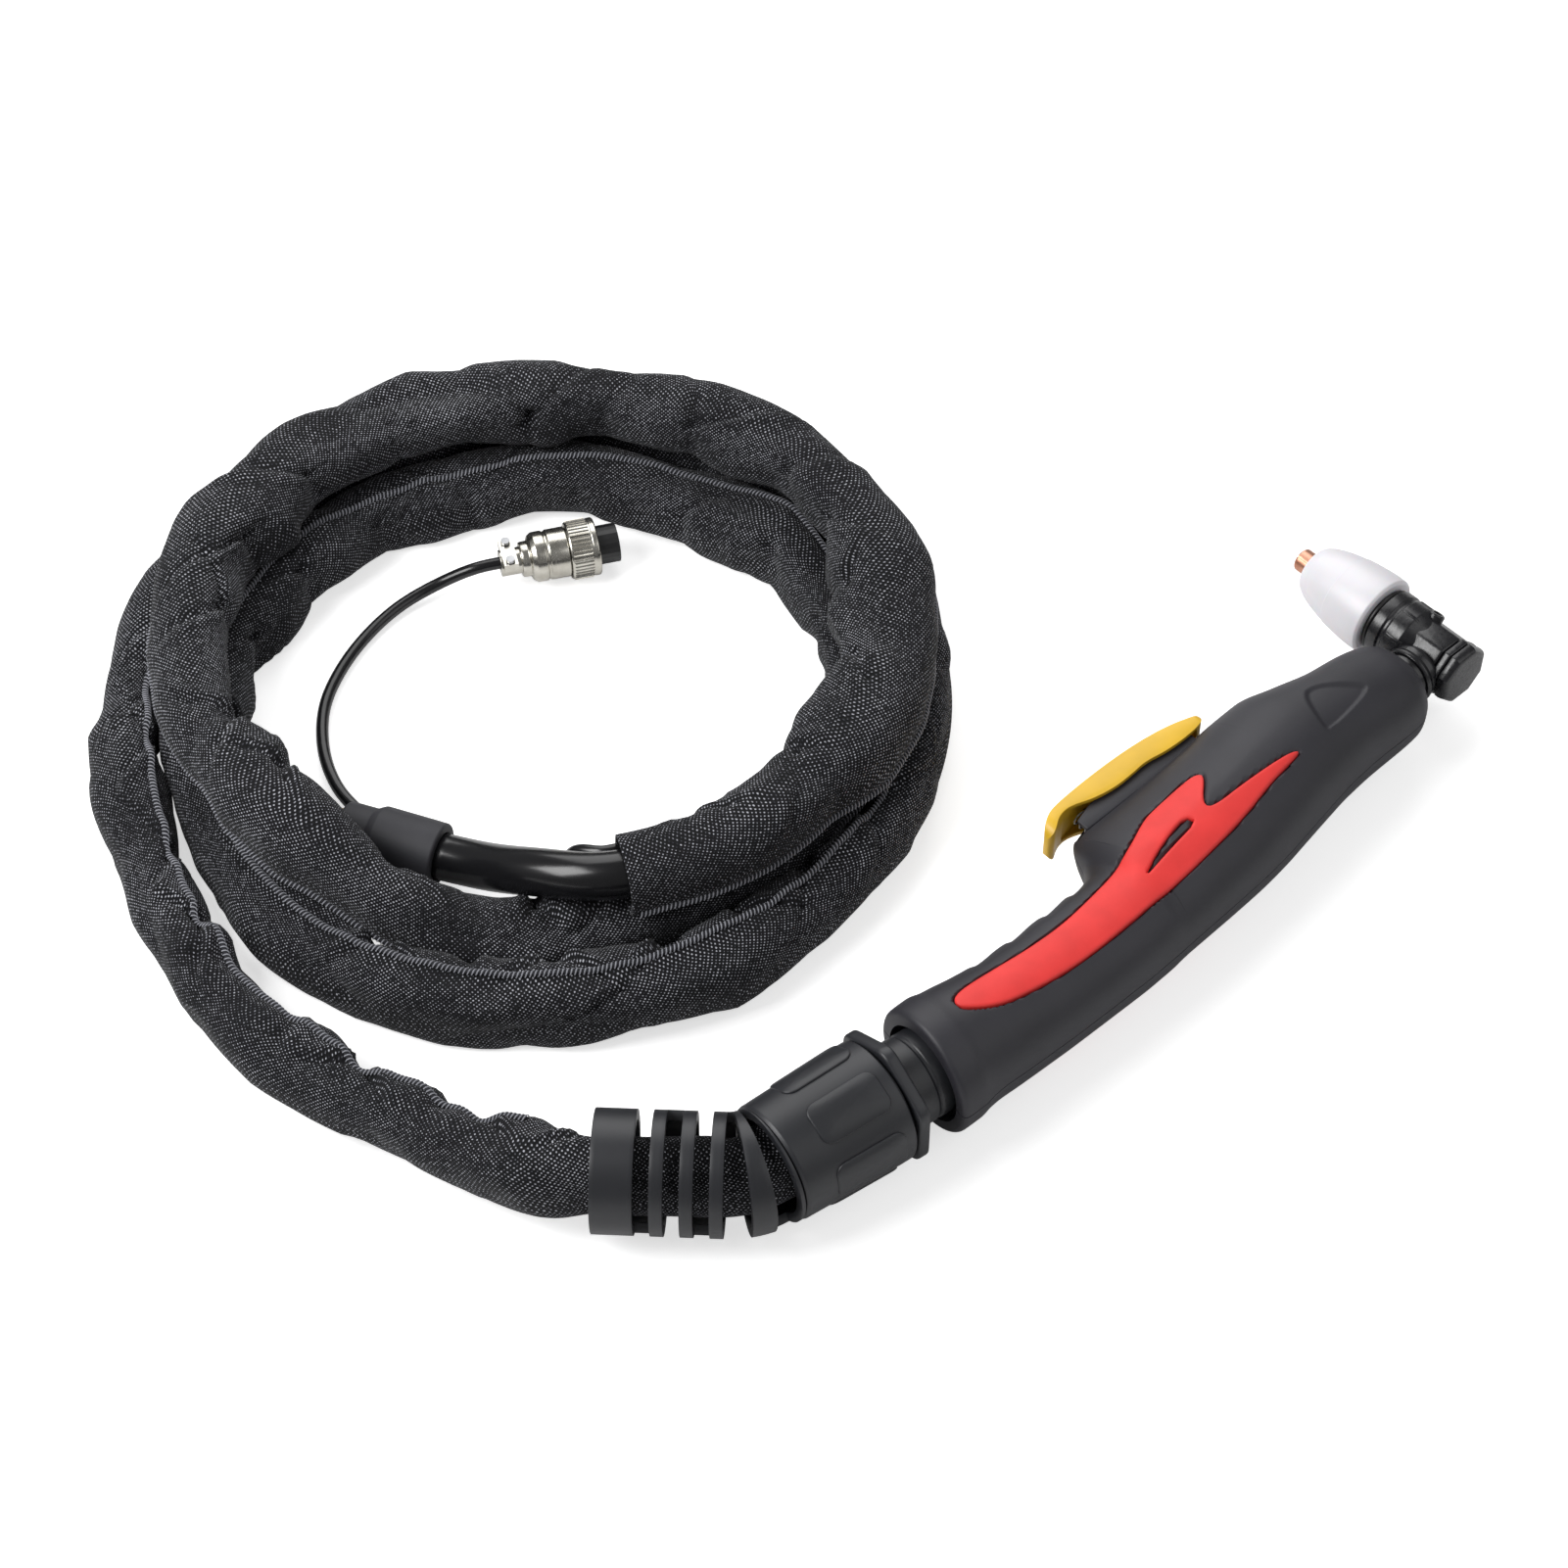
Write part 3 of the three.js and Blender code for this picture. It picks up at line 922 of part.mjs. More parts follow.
function makeCable() {
  const start = coilPoint(0);
  const inward = start.clone().sub(coilPoint(0.004)).normalize();
  const meet = start.clone().addScaledVector(inward, GAP);
  const before = meet.clone().addScaledVector(inward, SLEEVE_HEIGHT);
  const route = curveThrough([...SLEEVE_ROUTE, before.toArray(), meet.toArray()]);
  const leadIn = [];
  for (let step = 0; step <= LEAD_IN_STEPS; step += 1) {
    const share = step / LEAD_IN_STEPS;
    const width = fromTable(LEAD_IN_WIDTHS, share * (LEAD_IN_WIDTHS.length - 1));
    leadIn.push(sleeveRing(route.getPointAt(share), route.getTangentAt(share), width, ROUND_SECTION));
  }
  addPiece(cableGroup, 'sleeve_lead_in', loft(leadIn), 'fabric', 0.9);
  const rings = coilForm();
  console.log(`least gap of the coil to itself: ${leastGap(rings).toFixed(2)} mm`);
  addPiece(cableGroup, 'sleeve_coil', loft(rings), 'fabric', 0.9);

  const end = coilPoint(COIL_TURNS);
  const outward = end.clone().sub(coilPoint(COIL_TURNS - 0.004)).normalize();
  const hoseStart = end.clone().addScaledVector(outward, GAP);
  const mouth = [BOOT_MOUTH[0], BOOT_MOUTH[1], BOOT_RADIUS + 0.2];
  const along = [Math.cos(BOOT_HEADING), Math.sin(BOOT_HEADING)];
  const seated = FITTING_REACH + BOOT_LENGTH - FITTING_LENGTH - GAP;
  const inBoot = [5, 12, seated].map((d) => [mouth[0] + along[0] * d, mouth[1] + along[1] * d, mouth[2]]);
  const hoseStraight = hoseStart.clone().addScaledVector(outward, HOSE_RADIUS);
  const hoseRoute = curveThrough(
    [hoseStart.toArray(), hoseStraight.toArray(), ...HOSE_ROUTE, mouth, ...inBoot]);
  addPiece(cableGroup, 'hose_end', tube(hoseRoute, 20, 2 * HOSE_RADIUS, 2 * HOSE_RADIUS, 10), 'hose', 0.3);

  const tail = new THREE.Group();
  tail.position.set(...mouth);
  tail.rotation.z = BOOT_HEADING;
  cableGroup.add(tail);
  const wall = HOSE_RADIUS + GAP;
  addPiece(tail, 'rubber_boot', turnedAboutX([
    [0, wall], [0, BOOT_RADIUS - 0.4], [0.4, BOOT_RADIUS], [BOOT_LENGTH * 0.66, BOOT_RADIUS],
    [BOOT_LENGTH * 0.7, BOOT_REAR_RADIUS], [BOOT_LENGTH, BOOT_REAR_RADIUS],
    [BOOT_LENGTH, BOOT_REAR_RADIUS - BOOT_WALL], [BOOT_LENGTH - 8, BOOT_REAR_RADIUS - BOOT_WALL],
    [BOOT_LENGTH - 10, wall], [0, wall]], 20), 'boot', 0.7);
  const fittingStart = seated + GAP;
  let fitting = toSolid(turnedAboutX(rod(fittingStart, fittingStart + FITTING_LENGTH, FITTING_RADIUS)));
  const hexRadius = FITTING_NUT_ACROSS / 2 / Math.cos(Math.PI / 6);
  const hex = facingX(plate(outlineShape(circle(hexRadius, 6)), fittingStart + 3, fittingStart + 8));
  fitting = fitting.add(toSolid(hex));
  fitting = fitting.subtract(toSolid(turnedAboutX(rod(fittingStart + 4, fittingStart + 20, 1.9), 12)));
  addPiece(tail, 'machine_fitting', toGeometry(fitting), 'brass', 0.35, 1);

  const clampEnd = [PLUG_START[0], PLUG_START[1], RING_RADIUS + 0.2];
  const intoPlug = [0, 1].map((i) => [
    clampEnd[0] + (8 * i - 8 + 1) * Math.cos(PLUG_HEADING),
    clampEnd[1] + (8 * i - 8 + 1) * Math.sin(PLUG_HEADING), clampEnd[2]]);
  const inwards = new THREE.Vector3(outward.y, -outward.x, 0);
  const leadStart = hoseStart.clone().addScaledVector(inwards, LEAD_BESIDE);
  const leadStraight = leadStart.clone().addScaledVector(outward, 2 * LEAD_RADIUS);
  const leadRoute = curveThrough([leadStart.toArray(), leadStraight.toArray(), ...LEAD_ROUTE, ...intoPlug]);
  addPiece(cableGroup, 'control_lead', tube(leadRoute, 36, 2 * LEAD_RADIUS, 2 * LEAD_RADIUS, 7), 'hose', 0.4);
  makePlug(clampEnd);
}

// ---------------------------------------------------------------- control plug

function ridgedCircle(radius, ridges, depth) {
  const points = [];
  for (let i = 0; i < ridges * 2; i += 1) {
    const r = i % 2 === 0 ? radius : radius - depth;
    const angle = (Math.PI * i) / ridges;
    points.push([r * Math.cos(angle), r * Math.sin(angle)]);
  }
  return points;
}

function makePlug(start) {
  const plug = new THREE.Group();
  plug.position.set(...start);
  plug.rotation.z = PLUG_HEADING;
  cableGroup.add(plug);
  const bore = LEAD_RADIUS + GAP;
  const neckEnd = CLAMP_LENGTH + PLUG_NECK_LENGTH;
  const barrelEnd = neckEnd + BACKSHELL_LENGTH;
  const ringStart = barrelEnd - 2;
  const ringEnd = ringStart + RING_LENGTH;
  const shellBore = INSERT_RADIUS + GAP;
  let shell = toSolid(turnedAboutX([
    [0, bore], [0, CLAMP_RADIUS - 1.4], [CLAMP_LENGTH, CLAMP_RADIUS - 1.4], [CLAMP_LENGTH, PLUG_NECK_RADIUS],
    [neckEnd - 1.4, PLUG_NECK_RADIUS], [neckEnd, BACKSHELL_RADIUS], [ringStart - GAP, BACKSHELL_RADIUS],
    [ringStart - GAP, BACKSHELL_RADIUS - 0.8], [ringEnd - 2.4, BACKSHELL_RADIUS - 0.8],
    [ringEnd - 2.4, shellBore], [neckEnd + 1.6, shellBore], [neckEnd + 1.6, bore + 0.6], [0, bore]], 20));
  shell = shell.subtract(toSolid(box(-1, CLAMP_LENGTH - 1, -8, 8, 1.2, 9)));
  addPiece(plug, 'plug_backshell', toGeometry(shell), 'nickel', 0.3, 1);

  const saddleHalf = CLAMP_RADIUS;
  let saddle = toSolid(box(0.6, CLAMP_LENGTH - 1.4, -saddleHalf, saddleHalf, 1.2 + GAP, 4.4));
  saddle = saddle.subtract(toSolid(turnedAboutX(rod(-1, 12, bore + 0.1), 16)));
  for (const side of [-1, 1]) {
    const y = side * (CLAMP_RADIUS - 1.6);
    const hole = pinAlongZ(CLAMP_LENGTH / 2 - 0.4, y, 0.8 + GAP / 2, -9, 9, 12);
    saddle = saddle.subtract(toSolid(hole));
    const shank = toSolid(pinAlongZ(CLAMP_LENGTH / 2 - 0.4, y, 0.8 - GAP / 2, 1.5, 5, 12));
    const head = toSolid(pinAlongZ(CLAMP_LENGTH / 2 - 0.4, y, 1.4, 4.4 + GAP, 5.6, 12));
    const name = side > 0 ? 'clamp_screw_left' : 'clamp_screw_right';
    addPiece(plug, name, toGeometry(shank.add(head)), 'steel', 0.3, 1);
  }
  addPiece(plug, 'cord_clamp', toGeometry(saddle), 'nickel', 0.3, 1);

  const ringBore = BACKSHELL_RADIUS - 0.8 + GAP;
  const ringShape = outlineShape(ridgedCircle(RING_RADIUS, RING_RIDGES, 0.5), circle(ringBore, 24));
  let ring = toSolid(facingX(plate(ringShape, ringStart, ringEnd - 2)));
  ring = ring.add(toSolid(turnedAboutX([
    [ringEnd - 2, ringBore], [ringEnd - 2, RING_RADIUS - 0.3], [ringEnd, RING_RADIUS - 0.3],
    [ringEnd, ringBore], [ringEnd - 2, ringBore]], 24)));
  addPiece(plug, 'coupling_ring', toGeometry(ring), 'nickel', 0.3, 1);

  const insertStart = neckEnd + 1.6 + GAP;
  const insertEnd = ringEnd + INSERT_REACH;
  let insert = toSolid(turnedAboutX(rod(insertStart, insertEnd, INSERT_RADIUS), 24));
  insert = insert.subtract(toSolid(turnedAboutX(rod(insertEnd - 5, insertEnd + 1, INSERT_RADIUS - 1.2), 24)));
  const keyway = box(insertEnd - 6.2, insertEnd + 1, INSERT_RADIUS - 1, INSERT_RADIUS + 1, -1, 1);
  insert = insert.subtract(toSolid(keyway));
  for (let i = 0; i < PIN_COUNT; i += 1) {
    const angle = (2 * Math.PI * i) / PIN_COUNT;
    const y = 3 * Math.cos(angle);
    const z = 3 * Math.sin(angle);
    const hole = turnedAboutX(rod(insertEnd - 9, insertEnd - 4, CONTACT_RADIUS + GAP), 12);
    insert = insert.subtract(toSolid(hole.translate(0, y, z)));
    const contact = turnedAboutX(rod(insertEnd - 8.7, insertEnd - 1.2, CONTACT_RADIUS), 8);
    addPiece(plug, `plug_contact_${i + 1}`, contact.translate(0, y, z), 'brass', 0.3, 1);
  }
  addPiece(plug, 'plug_insert', toGeometry(insert), 'insert', 0.4);
}

// ---------------------------------------------------------------- the torch

handleGroup.rotation.z = TAIL_TILT;
handleGroup.position.z = MID_HEIGHT;
supportGroup.position.z = MID_HEIGHT;
makeHandle();
makeTrigger();
makeHead();
makeHandleInside();
makeCableSupport();
makeCable();

// The origin is the bottom centre of the torch itself, without its free cable.
torch.updateMatrixWorld(true);
const extent = new THREE.Box3().setFromObject(handleGroup, true);
extent.union(new THREE.Box3().setFromObject(supportGroup, true));
torch.position.set(-(extent.min.x + extent.max.x) / 2, -(extent.min.y + extent.max.y) / 2, -extent.min.z);
const shift = torch.position.toArray().map((v) => v.toFixed(3));
console.log(`the swivel's rear plane lies at ${shift.join(', ')} mm`);

export default torch;
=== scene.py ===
"""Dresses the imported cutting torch: finished pieces, materials, floor, light and camera.

Sizes are given in millimetres, as on the part's drawing, and turned to metres when a mesh is made.
Drawing frame: X along the swivel axis towards the head, Y towards the trigger, Z up, with the
origin on the swivel axis at the handle's rear end and on the surface. The handle has its own frame,
turned TAIL_TILT about the swivel, with Z from its middle plane.
"""
import math

import bmesh
import bpy
import numpy as np
from mathutils import Matrix, Vector
from mathutils.geometry import delaunay_2d_cdt


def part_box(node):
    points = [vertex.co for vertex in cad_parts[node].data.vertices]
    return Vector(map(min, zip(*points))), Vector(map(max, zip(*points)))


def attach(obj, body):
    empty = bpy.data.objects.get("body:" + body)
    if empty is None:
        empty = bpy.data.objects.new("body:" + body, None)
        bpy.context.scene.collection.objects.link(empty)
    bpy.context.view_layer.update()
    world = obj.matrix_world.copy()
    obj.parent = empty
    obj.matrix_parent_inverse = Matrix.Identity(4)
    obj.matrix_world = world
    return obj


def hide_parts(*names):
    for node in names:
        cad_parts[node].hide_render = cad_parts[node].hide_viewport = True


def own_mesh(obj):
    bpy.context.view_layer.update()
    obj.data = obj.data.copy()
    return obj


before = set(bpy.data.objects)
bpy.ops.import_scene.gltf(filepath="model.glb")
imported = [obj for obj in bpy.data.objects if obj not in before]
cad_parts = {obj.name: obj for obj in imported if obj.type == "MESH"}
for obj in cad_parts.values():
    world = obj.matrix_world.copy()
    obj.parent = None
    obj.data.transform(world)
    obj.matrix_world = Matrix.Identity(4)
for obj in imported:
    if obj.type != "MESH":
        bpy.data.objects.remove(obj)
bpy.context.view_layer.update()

bl_info = {
    "name": "Cutting torch dresser",
    "version": (1, 0, 0),
    "blender": (4, 5, 0),
    "location": "View3D > Sidebar > Torch",
    "description": "Builds a finished cutting torch and its cable round the packed frame",
    "category": "Object",
}

MM = 0.001
TAIL_TILT = math.radians(6.4)  # of the handle against the swivel axis
FLANGE_TO_ORIGIN = 15.15       # mm along the swivel axis, from the lock flange's middle
HEAD_ALONG = 217.3             # mm along the handle to the middle of the head

_lock_low, _lock_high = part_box("lock_flange")
_lock_middle = [(low + high) / 2 for low, high in zip(_lock_low, _lock_high)]
MID_HEIGHT = _lock_middle[2] / MM
SHIFT = Vector((_lock_middle[0] + FLANGE_TO_ORIGIN * MM, _lock_middle[1], 0.0))
DRAWING = Matrix.Translation(SHIFT) @ Matrix.Scale(MM, 4)
AXIS = DRAWING @ Matrix.Translation((0, 0, MID_HEIGHT))
HANDLE = AXIS @ Matrix.Rotation(TAIL_TILT, 4, "Z")
HEAD = HANDLE @ Matrix.Translation((HEAD_ALONG, 0, 0))

# ---- settings


class CableSettings(bpy.types.PropertyGroup):
    """Sizes of the hose, the sleeve and the control lead."""
    sleeve_width: bpy.props.FloatProperty(
        name="Sleeve width", description="Width of the sleeve as it lies round the hose",
        default=0.0244, unit="LENGTH")
    sleeve_height: bpy.props.FloatProperty(
        name="Sleeve height", description="Height of the sleeve as it lies round the hose",
        default=0.020, unit="LENGTH")
    cloth_thickness: bpy.props.FloatProperty(
        name="Cloth thickness", description="Thickness of the sleeve's denim",
        default=0.0009, unit="LENGTH")
    wrinkle_depth: bpy.props.FloatProperty(
        name="Wrinkle depth", description="Depth of the creases where the sleeve bends",
        default=0.0044, unit="LENGTH")
    hose_diameter: bpy.props.FloatProperty(
        name="Hose diameter", description="Outer diameter of the gas and power hose",
        default=0.014, unit="LENGTH")
    lead_diameter: bpy.props.FloatProperty(
        name="Lead diameter", description="Outer diameter of the control lead",
        default=0.0038, unit="LENGTH")
    cloth_colour: bpy.props.FloatVectorProperty(
        name="Cloth colour", description="Colour of the sleeve's warp threads",
        subtype="COLOR", size=3, default=(0.0040, 0.0042, 0.0052))
    seed: bpy.props.IntProperty(name="Seed", description="Seed of the sleeve's creases", default=7)


class TorchSettings(bpy.types.PropertyGroup):
    """Sizes and colours of the handle, the head and the cable support."""
    grip_proud: bpy.props.FloatProperty(
        name="Grip proud", description="How far the soft grip stands out of the shell",
        default=0.00035, unit="LENGTH")
    edge_round: bpy.props.FloatProperty(
        name="Edge rounding", description="Rounding of the trigger's edges",
        default=0.0008, unit="LENGTH")
    ring_ridges: bpy.props.IntProperty(
        name="Ring ridges", description="Ridges round the plug's coupling ring", default=44)
    handle_colour: bpy.props.FloatVectorProperty(
        name="Handle colour", description="Colour of the moulded shells",
        subtype="COLOR", size=3, default=(0.0234, 0.0226, 0.0292))
    grip_colour: bpy.props.FloatVectorProperty(
        name="Grip colour", description="Colour of the soft grip",
        subtype="COLOR", size=3, default=(0.86, 0.038, 0.034))
    trigger_colour: bpy.props.FloatVectorProperty(
        name="Trigger colour", description="Colour of the trigger lever",
        subtype="COLOR", size=3, default=(0.86, 0.52, 0.024))


# ---- meshes

SAME_POINT = 1e-7    # metres between points that are one
BEVEL_CRISP = 50     # degrees: edges that stay crisp beside a rounded one
TURNED_CRISP = 35    # degrees: the same on a turned piece


def object_of(name, mesh):
    """A new object in the scene that shows the mesh."""
    obj = bpy.data.objects.new(name, mesh)
    bpy.context.scene.collection.objects.link(obj)
    return obj


def smoothed(obj):
    obj.data.polygons.foreach_set("use_smooth", [True] * len(obj.data.polygons))
    return obj


def crisp(obj, angle):
    """The object with its edges of more than the angle, in degrees, kept crisp."""
    obj.data.set_sharp_from_angle(angle=math.radians(angle))
    return obj


def facing_out(obj, merge=True):
    """The object with all its faces turned outwards, after its doubles are merged."""
    bm = bmesh.new()
    bm.from_mesh(obj.data)
    if merge:
        bmesh.ops.remove_doubles(bm, verts=bm.verts, dist=SAME_POINT)
    bmesh.ops.recalc_face_normals(bm, faces=bm.faces)
    bm.to_mesh(obj.data)
    bm.free()
    return obj


def mesh_piece(name, points, faces, place, smooth=True):
    """A mesh object at the origin from points in a drawing frame, moved by the matrix place."""
    mesh = bpy.data.meshes.new(name)
    mesh.from_pydata([tuple(p) for p in points], [], [tuple(f) for f in faces])
    mesh.transform(place)
    mesh.validate()
    obj = object_of(name, mesh)
    return smoothed(obj) if smooth else obj


def numbered(grid, first=0):
    """The numbers of a grid's points, row by row."""
    return np.arange(first, first + grid[..., 0].size).reshape(grid.shape[:2])


def quads(index):
    """The faces between neighbouring rows and columns of a grid of point numbers."""
    corners = index[:-1, :-1], index[1:, :-1], index[1:, 1:], index[:-1, 1:]
    return np.stack(corners, -1).reshape(-1, 4)


def tube_faces(index, caps=False):
    """The faces of a tube whose rings are the rows of a grid of point numbers."""
    faces = quads(np.column_stack((index, index[:, 0]))).tolist()
    return faces + [index[0].tolist(), index[-1][::-1].tolist()] if caps else faces


def turned(profile, sides=96, about="Y"):
    """Points and faces of a profile of (along, radius) pairs turned about an axis. A profile that
    starts and ends on the axis is closed there, and any other is closed onto itself."""
    points = []
    solid = profile[0][1] == 0 and profile[-1][1] == 0
    rows = profile[1:-1] if solid else profile
    for along, radius in rows:
        for i in range(sides):
            angle = 2 * math.pi * i / sides
            out, up = radius * math.cos(angle), radius * math.sin(angle)
            points.append((along, out, up) if about == "X" else (up, along, out))
    index = np.arange(len(points)).reshape(-1, sides)
    if not solid:
        return points, tube_faces(np.vstack((index, index[:1])))
    faces = tube_faces(index)
    for ring, (along, _), flip in ((index[0], profile[0], 1), (index[-1], profile[-1], -1)):
        middle = len(points)
        points.append((along, 0, 0) if about == "X" else (0, along, 0))
        faces += [(middle, a, b)[::flip] for a, b in zip(ring, np.roll(ring, -1))]
    return points, faces


def rounded(profile, radius, steps=4):
    """A turned profile whose corners between two sloping sides are rounded off."""
    result = [profile[0]]
    for before, here, after in zip(profile, profile[1:], profile[2:]):
        a = Vector((before[0] - here[0], before[1] - here[1]))
        b = Vector((after[0] - here[0], after[1] - here[1]))
        reach = min(radius, a.length * 0.45, b.length * 0.45)
        if reach < 1e-4:
            result.append(here)
            continue
        start = Vector(here) + a.normalized() * reach
        end = Vector(here) + b.normalized() * reach
        for step in range(steps + 1):
            t = step / steps
            mix = start * (1 - t) ** 2 + Vector(here) * 2 * t * (1 - t) + end * t ** 2
            result.append((mix.x, mix.y))
    result.append(profile[-1])
    return result


def turned_piece(name, profile, place, sides=96, about="Y", corner=0.3):
    points, faces = turned(rounded(profile, corner) if corner else profile, sides, about)
    return crisp(facing_out(mesh_piece(name, points, faces, place)), TURNED_CRISP)


def ring_sides(count, rings=2):
    """The faces between rings that follow each other, with count points in each."""
    return [(a + i, a + (i + 1) % count, a + count + (i + 1) % count, a + count + i)
            for a in range(0, (rings - 1) * count, count) for i in range(count)]


def prism(name, outline, low, high, place):
    """A closed prism over an outline in XY, from low to high along Z."""
    count = len(outline)
    points = [(x, y, z) for z in (low, high) for x, y in outline]
    faces = [tuple(reversed(range(count))), tuple(range(count, 2 * count))] + ring_sides(count)
    return facing_out(mesh_piece(name, points, faces, place, smooth=False))


def joined(name, objects):
    """One mesh object from several at the origin."""
    bm = bmesh.new()
    for obj in objects:
        bm.from_mesh(obj.data)
        bpy.data.objects.remove(obj)
    mesh = bpy.data.meshes.new(name)
    bm.to_mesh(mesh)
    bm.free()
    return smoothed(object_of(name, mesh))


def applied(obj):
    """The object with its modifiers made part of its mesh."""
    graph = bpy.context.evaluated_depsgraph_get()
    mesh = bpy.data.meshes.new_from_object(obj.evaluated_get(graph))
    old = obj.data
    obj.modifiers.clear()
    obj.data = mesh
    bpy.data.meshes.remove(old)
    return obj


def bevelled(obj, width, angle=35, segments=3):
    """Rounds the edges that are sharper than the angle, then applies the rounding."""
    bevel = obj.modifiers.new("Rounding", "BEVEL")
    bevel.width = width * MM
    bevel.segments = segments
    bevel.limit_method = "ANGLE"
    bevel.angle_limit = math.radians(angle)
    bevel.harden_normals = False
    return crisp(smoothed(applied(obj)), BEVEL_CRISP)


def carved(obj, cutters, operation="DIFFERENCE"):
    """The object after exact booleans with the cutters, which are removed."""
    for cutter in cutters:
        cut = obj.modifiers.new("Cut", "BOOLEAN")
        cut.operation = operation
        cut.solver = "EXACT"
        cut.object = cutter
        applied(obj)
        bpy.data.objects.remove(cutter)
    return obj


def repeated(pattern, name, given_input, value, chain):
    """The pattern run through a node tree with one named input, and kept as a plain mesh. chain
    builds the tree from the group's inputs and returns the geometry of all copies."""
    label, socket_type = given_input
    tree = bpy.data.node_groups.new(name, "GeometryNodeTree")
    tree.interface.new_socket("Geometry", in_out="INPUT", socket_type="NodeSocketGeometry")
    tree.interface.new_socket(label, in_out="INPUT", socket_type=socket_type)
    tree.interface.new_socket("Geometry", in_out="OUTPUT", socket_type="NodeSocketGeometry")
    given = node(tree, "NodeGroupInput")
    copies, finish = chain(tree, given.outputs)
    real = node(tree, "GeometryNodeRealizeInstances", {"Geometry": copies})
    coated = node(tree, "GeometryNodeSetMaterial", {
        "Geometry": real.outputs[0], "Material": material(finish)})
    node(tree, "NodeGroupOutput", {0: coated.outputs[0]})
    modifier = pattern.modifiers.new("Repeat", "NODES")
    modifier.node_group = tree
    key = next(item.identifier for item in tree.interface.items_tree if item.name == label)
    modifier[key] = value
    return applied(pattern)


def painted(obj, finish):
    """The object with one finish all over."""
    obj.data.materials.clear()
    obj.data.materials.append(material(finish))
    return obj


def dressed(obj, body, finish, *stands_for):
    """Gives a piece its finish and its body, and hides the CAD nodes that it stands for."""
    painted(obj, finish)
    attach(obj, body)
    if stands_for:
        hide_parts(*stands_for)
    return obj


def kept(finish, *names):
    """Gives CAD nodes that are shown as they are their finish, and returns their names."""
    for name in names:
        painted(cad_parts[name], finish)
    return list(names)


# ---- outlines and tables


def monotone(keys, values, at):
    """A smooth curve through a table that doesn't overshoot it."""
    keys = np.asarray(keys, float)
    values = np.asarray(values, float)
    at = np.clip(np.asarray(at, float), keys[0], keys[-1])
    step = np.diff(keys)
    slope = np.diff(values) / step
    tangent = np.zeros_like(values)
    tangent[1:-1] = np.where(
        slope[:-1] * slope[1:] > 0,
        2 * slope[:-1] * slope[1:] / (slope[:-1] + slope[1:] + 1e-12), 0)
    tangent[0], tangent[-1] = slope[0], slope[-1]
    i = np.clip(np.searchsorted(keys, at, side="right") - 1, 0, len(step) - 1)
    t = (at - keys[i]) / step[i]
    return (values[i] * (1 + 2 * t) * (1 - t) ** 2 + tangent[i] * step[i] * t * (1 - t) ** 2
            + values[i + 1] * t ** 2 * (3 - 2 * t) + tangent[i + 1] * step[i] * t ** 2 * (t - 1))


def softened(outline, rounds=2):
    """An outline with its corners cut off again and again, until they are round."""
    points = np.asarray(outline, float)
    for _ in range(rounds):
        after = np.roll(points, -1, axis=0)
        cut = (points * 0.75 + after * 0.25, points * 0.25 + after * 0.75)
        points = np.stack(cut, 1).reshape(-1, 2)
    return points


def signed_distance(points, outline):
    """Distance of each point to a closed outline, negative inside."""
    points = np.asarray(points, float)
    start = np.asarray(outline, float)
    end = np.roll(start, -1, axis=0)
    best = np.full(len(points), 1e9)
    inside = np.zeros(len(points), bool)
    for a, b in zip(start, end):
        side = b - a
        length = side @ side
        if length < 1e-12:
            continue
        t = np.clip(((points - a) @ side) / length, 0, 1)
        best = np.minimum(best, np.hypot(*(points - a - t[:, None] * side).T))
        crosses = (a[1] > points[:, 1]) != (b[1] > points[:, 1])
        if a[1] != b[1]:
            at = a[0] + (points[:, 1] - a[1]) * side[0] / side[1]
            inside ^= crosses & (points[:, 0] < at)
    return np.where(inside, -best, best)


def signed_power(value, power):
    return np.sign(value) * np.abs(value) ** power


def smoothstep(low, high, value):
    """Rises smoothly from 0 at low to 1 at high."""
    t = np.clip((value - low) / (high - low), 0, 1)
    return t * t * (3 - 2 * t)


def catmull(points, step):
    """Points about a step apart on the centripetal curve that the CAD routes follow."""
    p = [Vector(q) for q in points]
    p = [p[0] * 2 - p[1]] + p + [p[-1] * 2 - p[-2]]
    result = []
    for a, b, c, d in zip(p, p[1:], p[2:], p[3:]):
        t0, t1, t2 = (max((v - u).length, 1e-6) ** 0.5 for u, v in ((a, b), (b, c), (c, d)))
        m1 = ((b - a) / t0 - (c - a) / (t0 + t1) + (c - b) / t1) * t1
        m2 = ((c - b) / t1 - (d - b) / (t1 + t2) + (d - c) / t2) * t1
        count = max(2, int((c - b).length / step))
        for i in range(count):
            t = i / count
            result.append(b * (2 * t ** 3 - 3 * t ** 2 + 1) + m1 * (t ** 3 - 2 * t ** 2 + t)
                          + c * (3 * t ** 2 - 2 * t ** 3) + m2 * (t ** 3 - t ** 2))
    result.append(p[-2])
    return result


def unit(vectors):
    return vectors / np.linalg.norm(vectors, axis=1)[:, None]


def passed_by(path):
    """The length of a path up to each of its points."""
    path = np.array([tuple(q) for q in path])
    return np.concatenate(([0], np.cumsum(np.linalg.norm(np.diff(path, axis=0), axis=1))))


def evenly(points, step):
    """The same path with points at equal steps along it."""
    path = np.array([tuple(q) for q in points])
    along = passed_by(path)
    count = max(2, round(along[-1] / step))
    at = np.linspace(0, along[-1], count + 1)
    return np.stack([np.interp(at, along, path[:, k]) for k in range(3)], 1)


# ---- materials


def linear(code):
    """Linear colour of an sRGB hex value."""
    parts = [((code >> shift) & 255) / 255 for shift in (16, 8, 0)]
    return (*(c / 12.92 if c <= 0.04045 else ((c + 0.055) / 1.055) ** 2.4 for c in parts), 1.0)


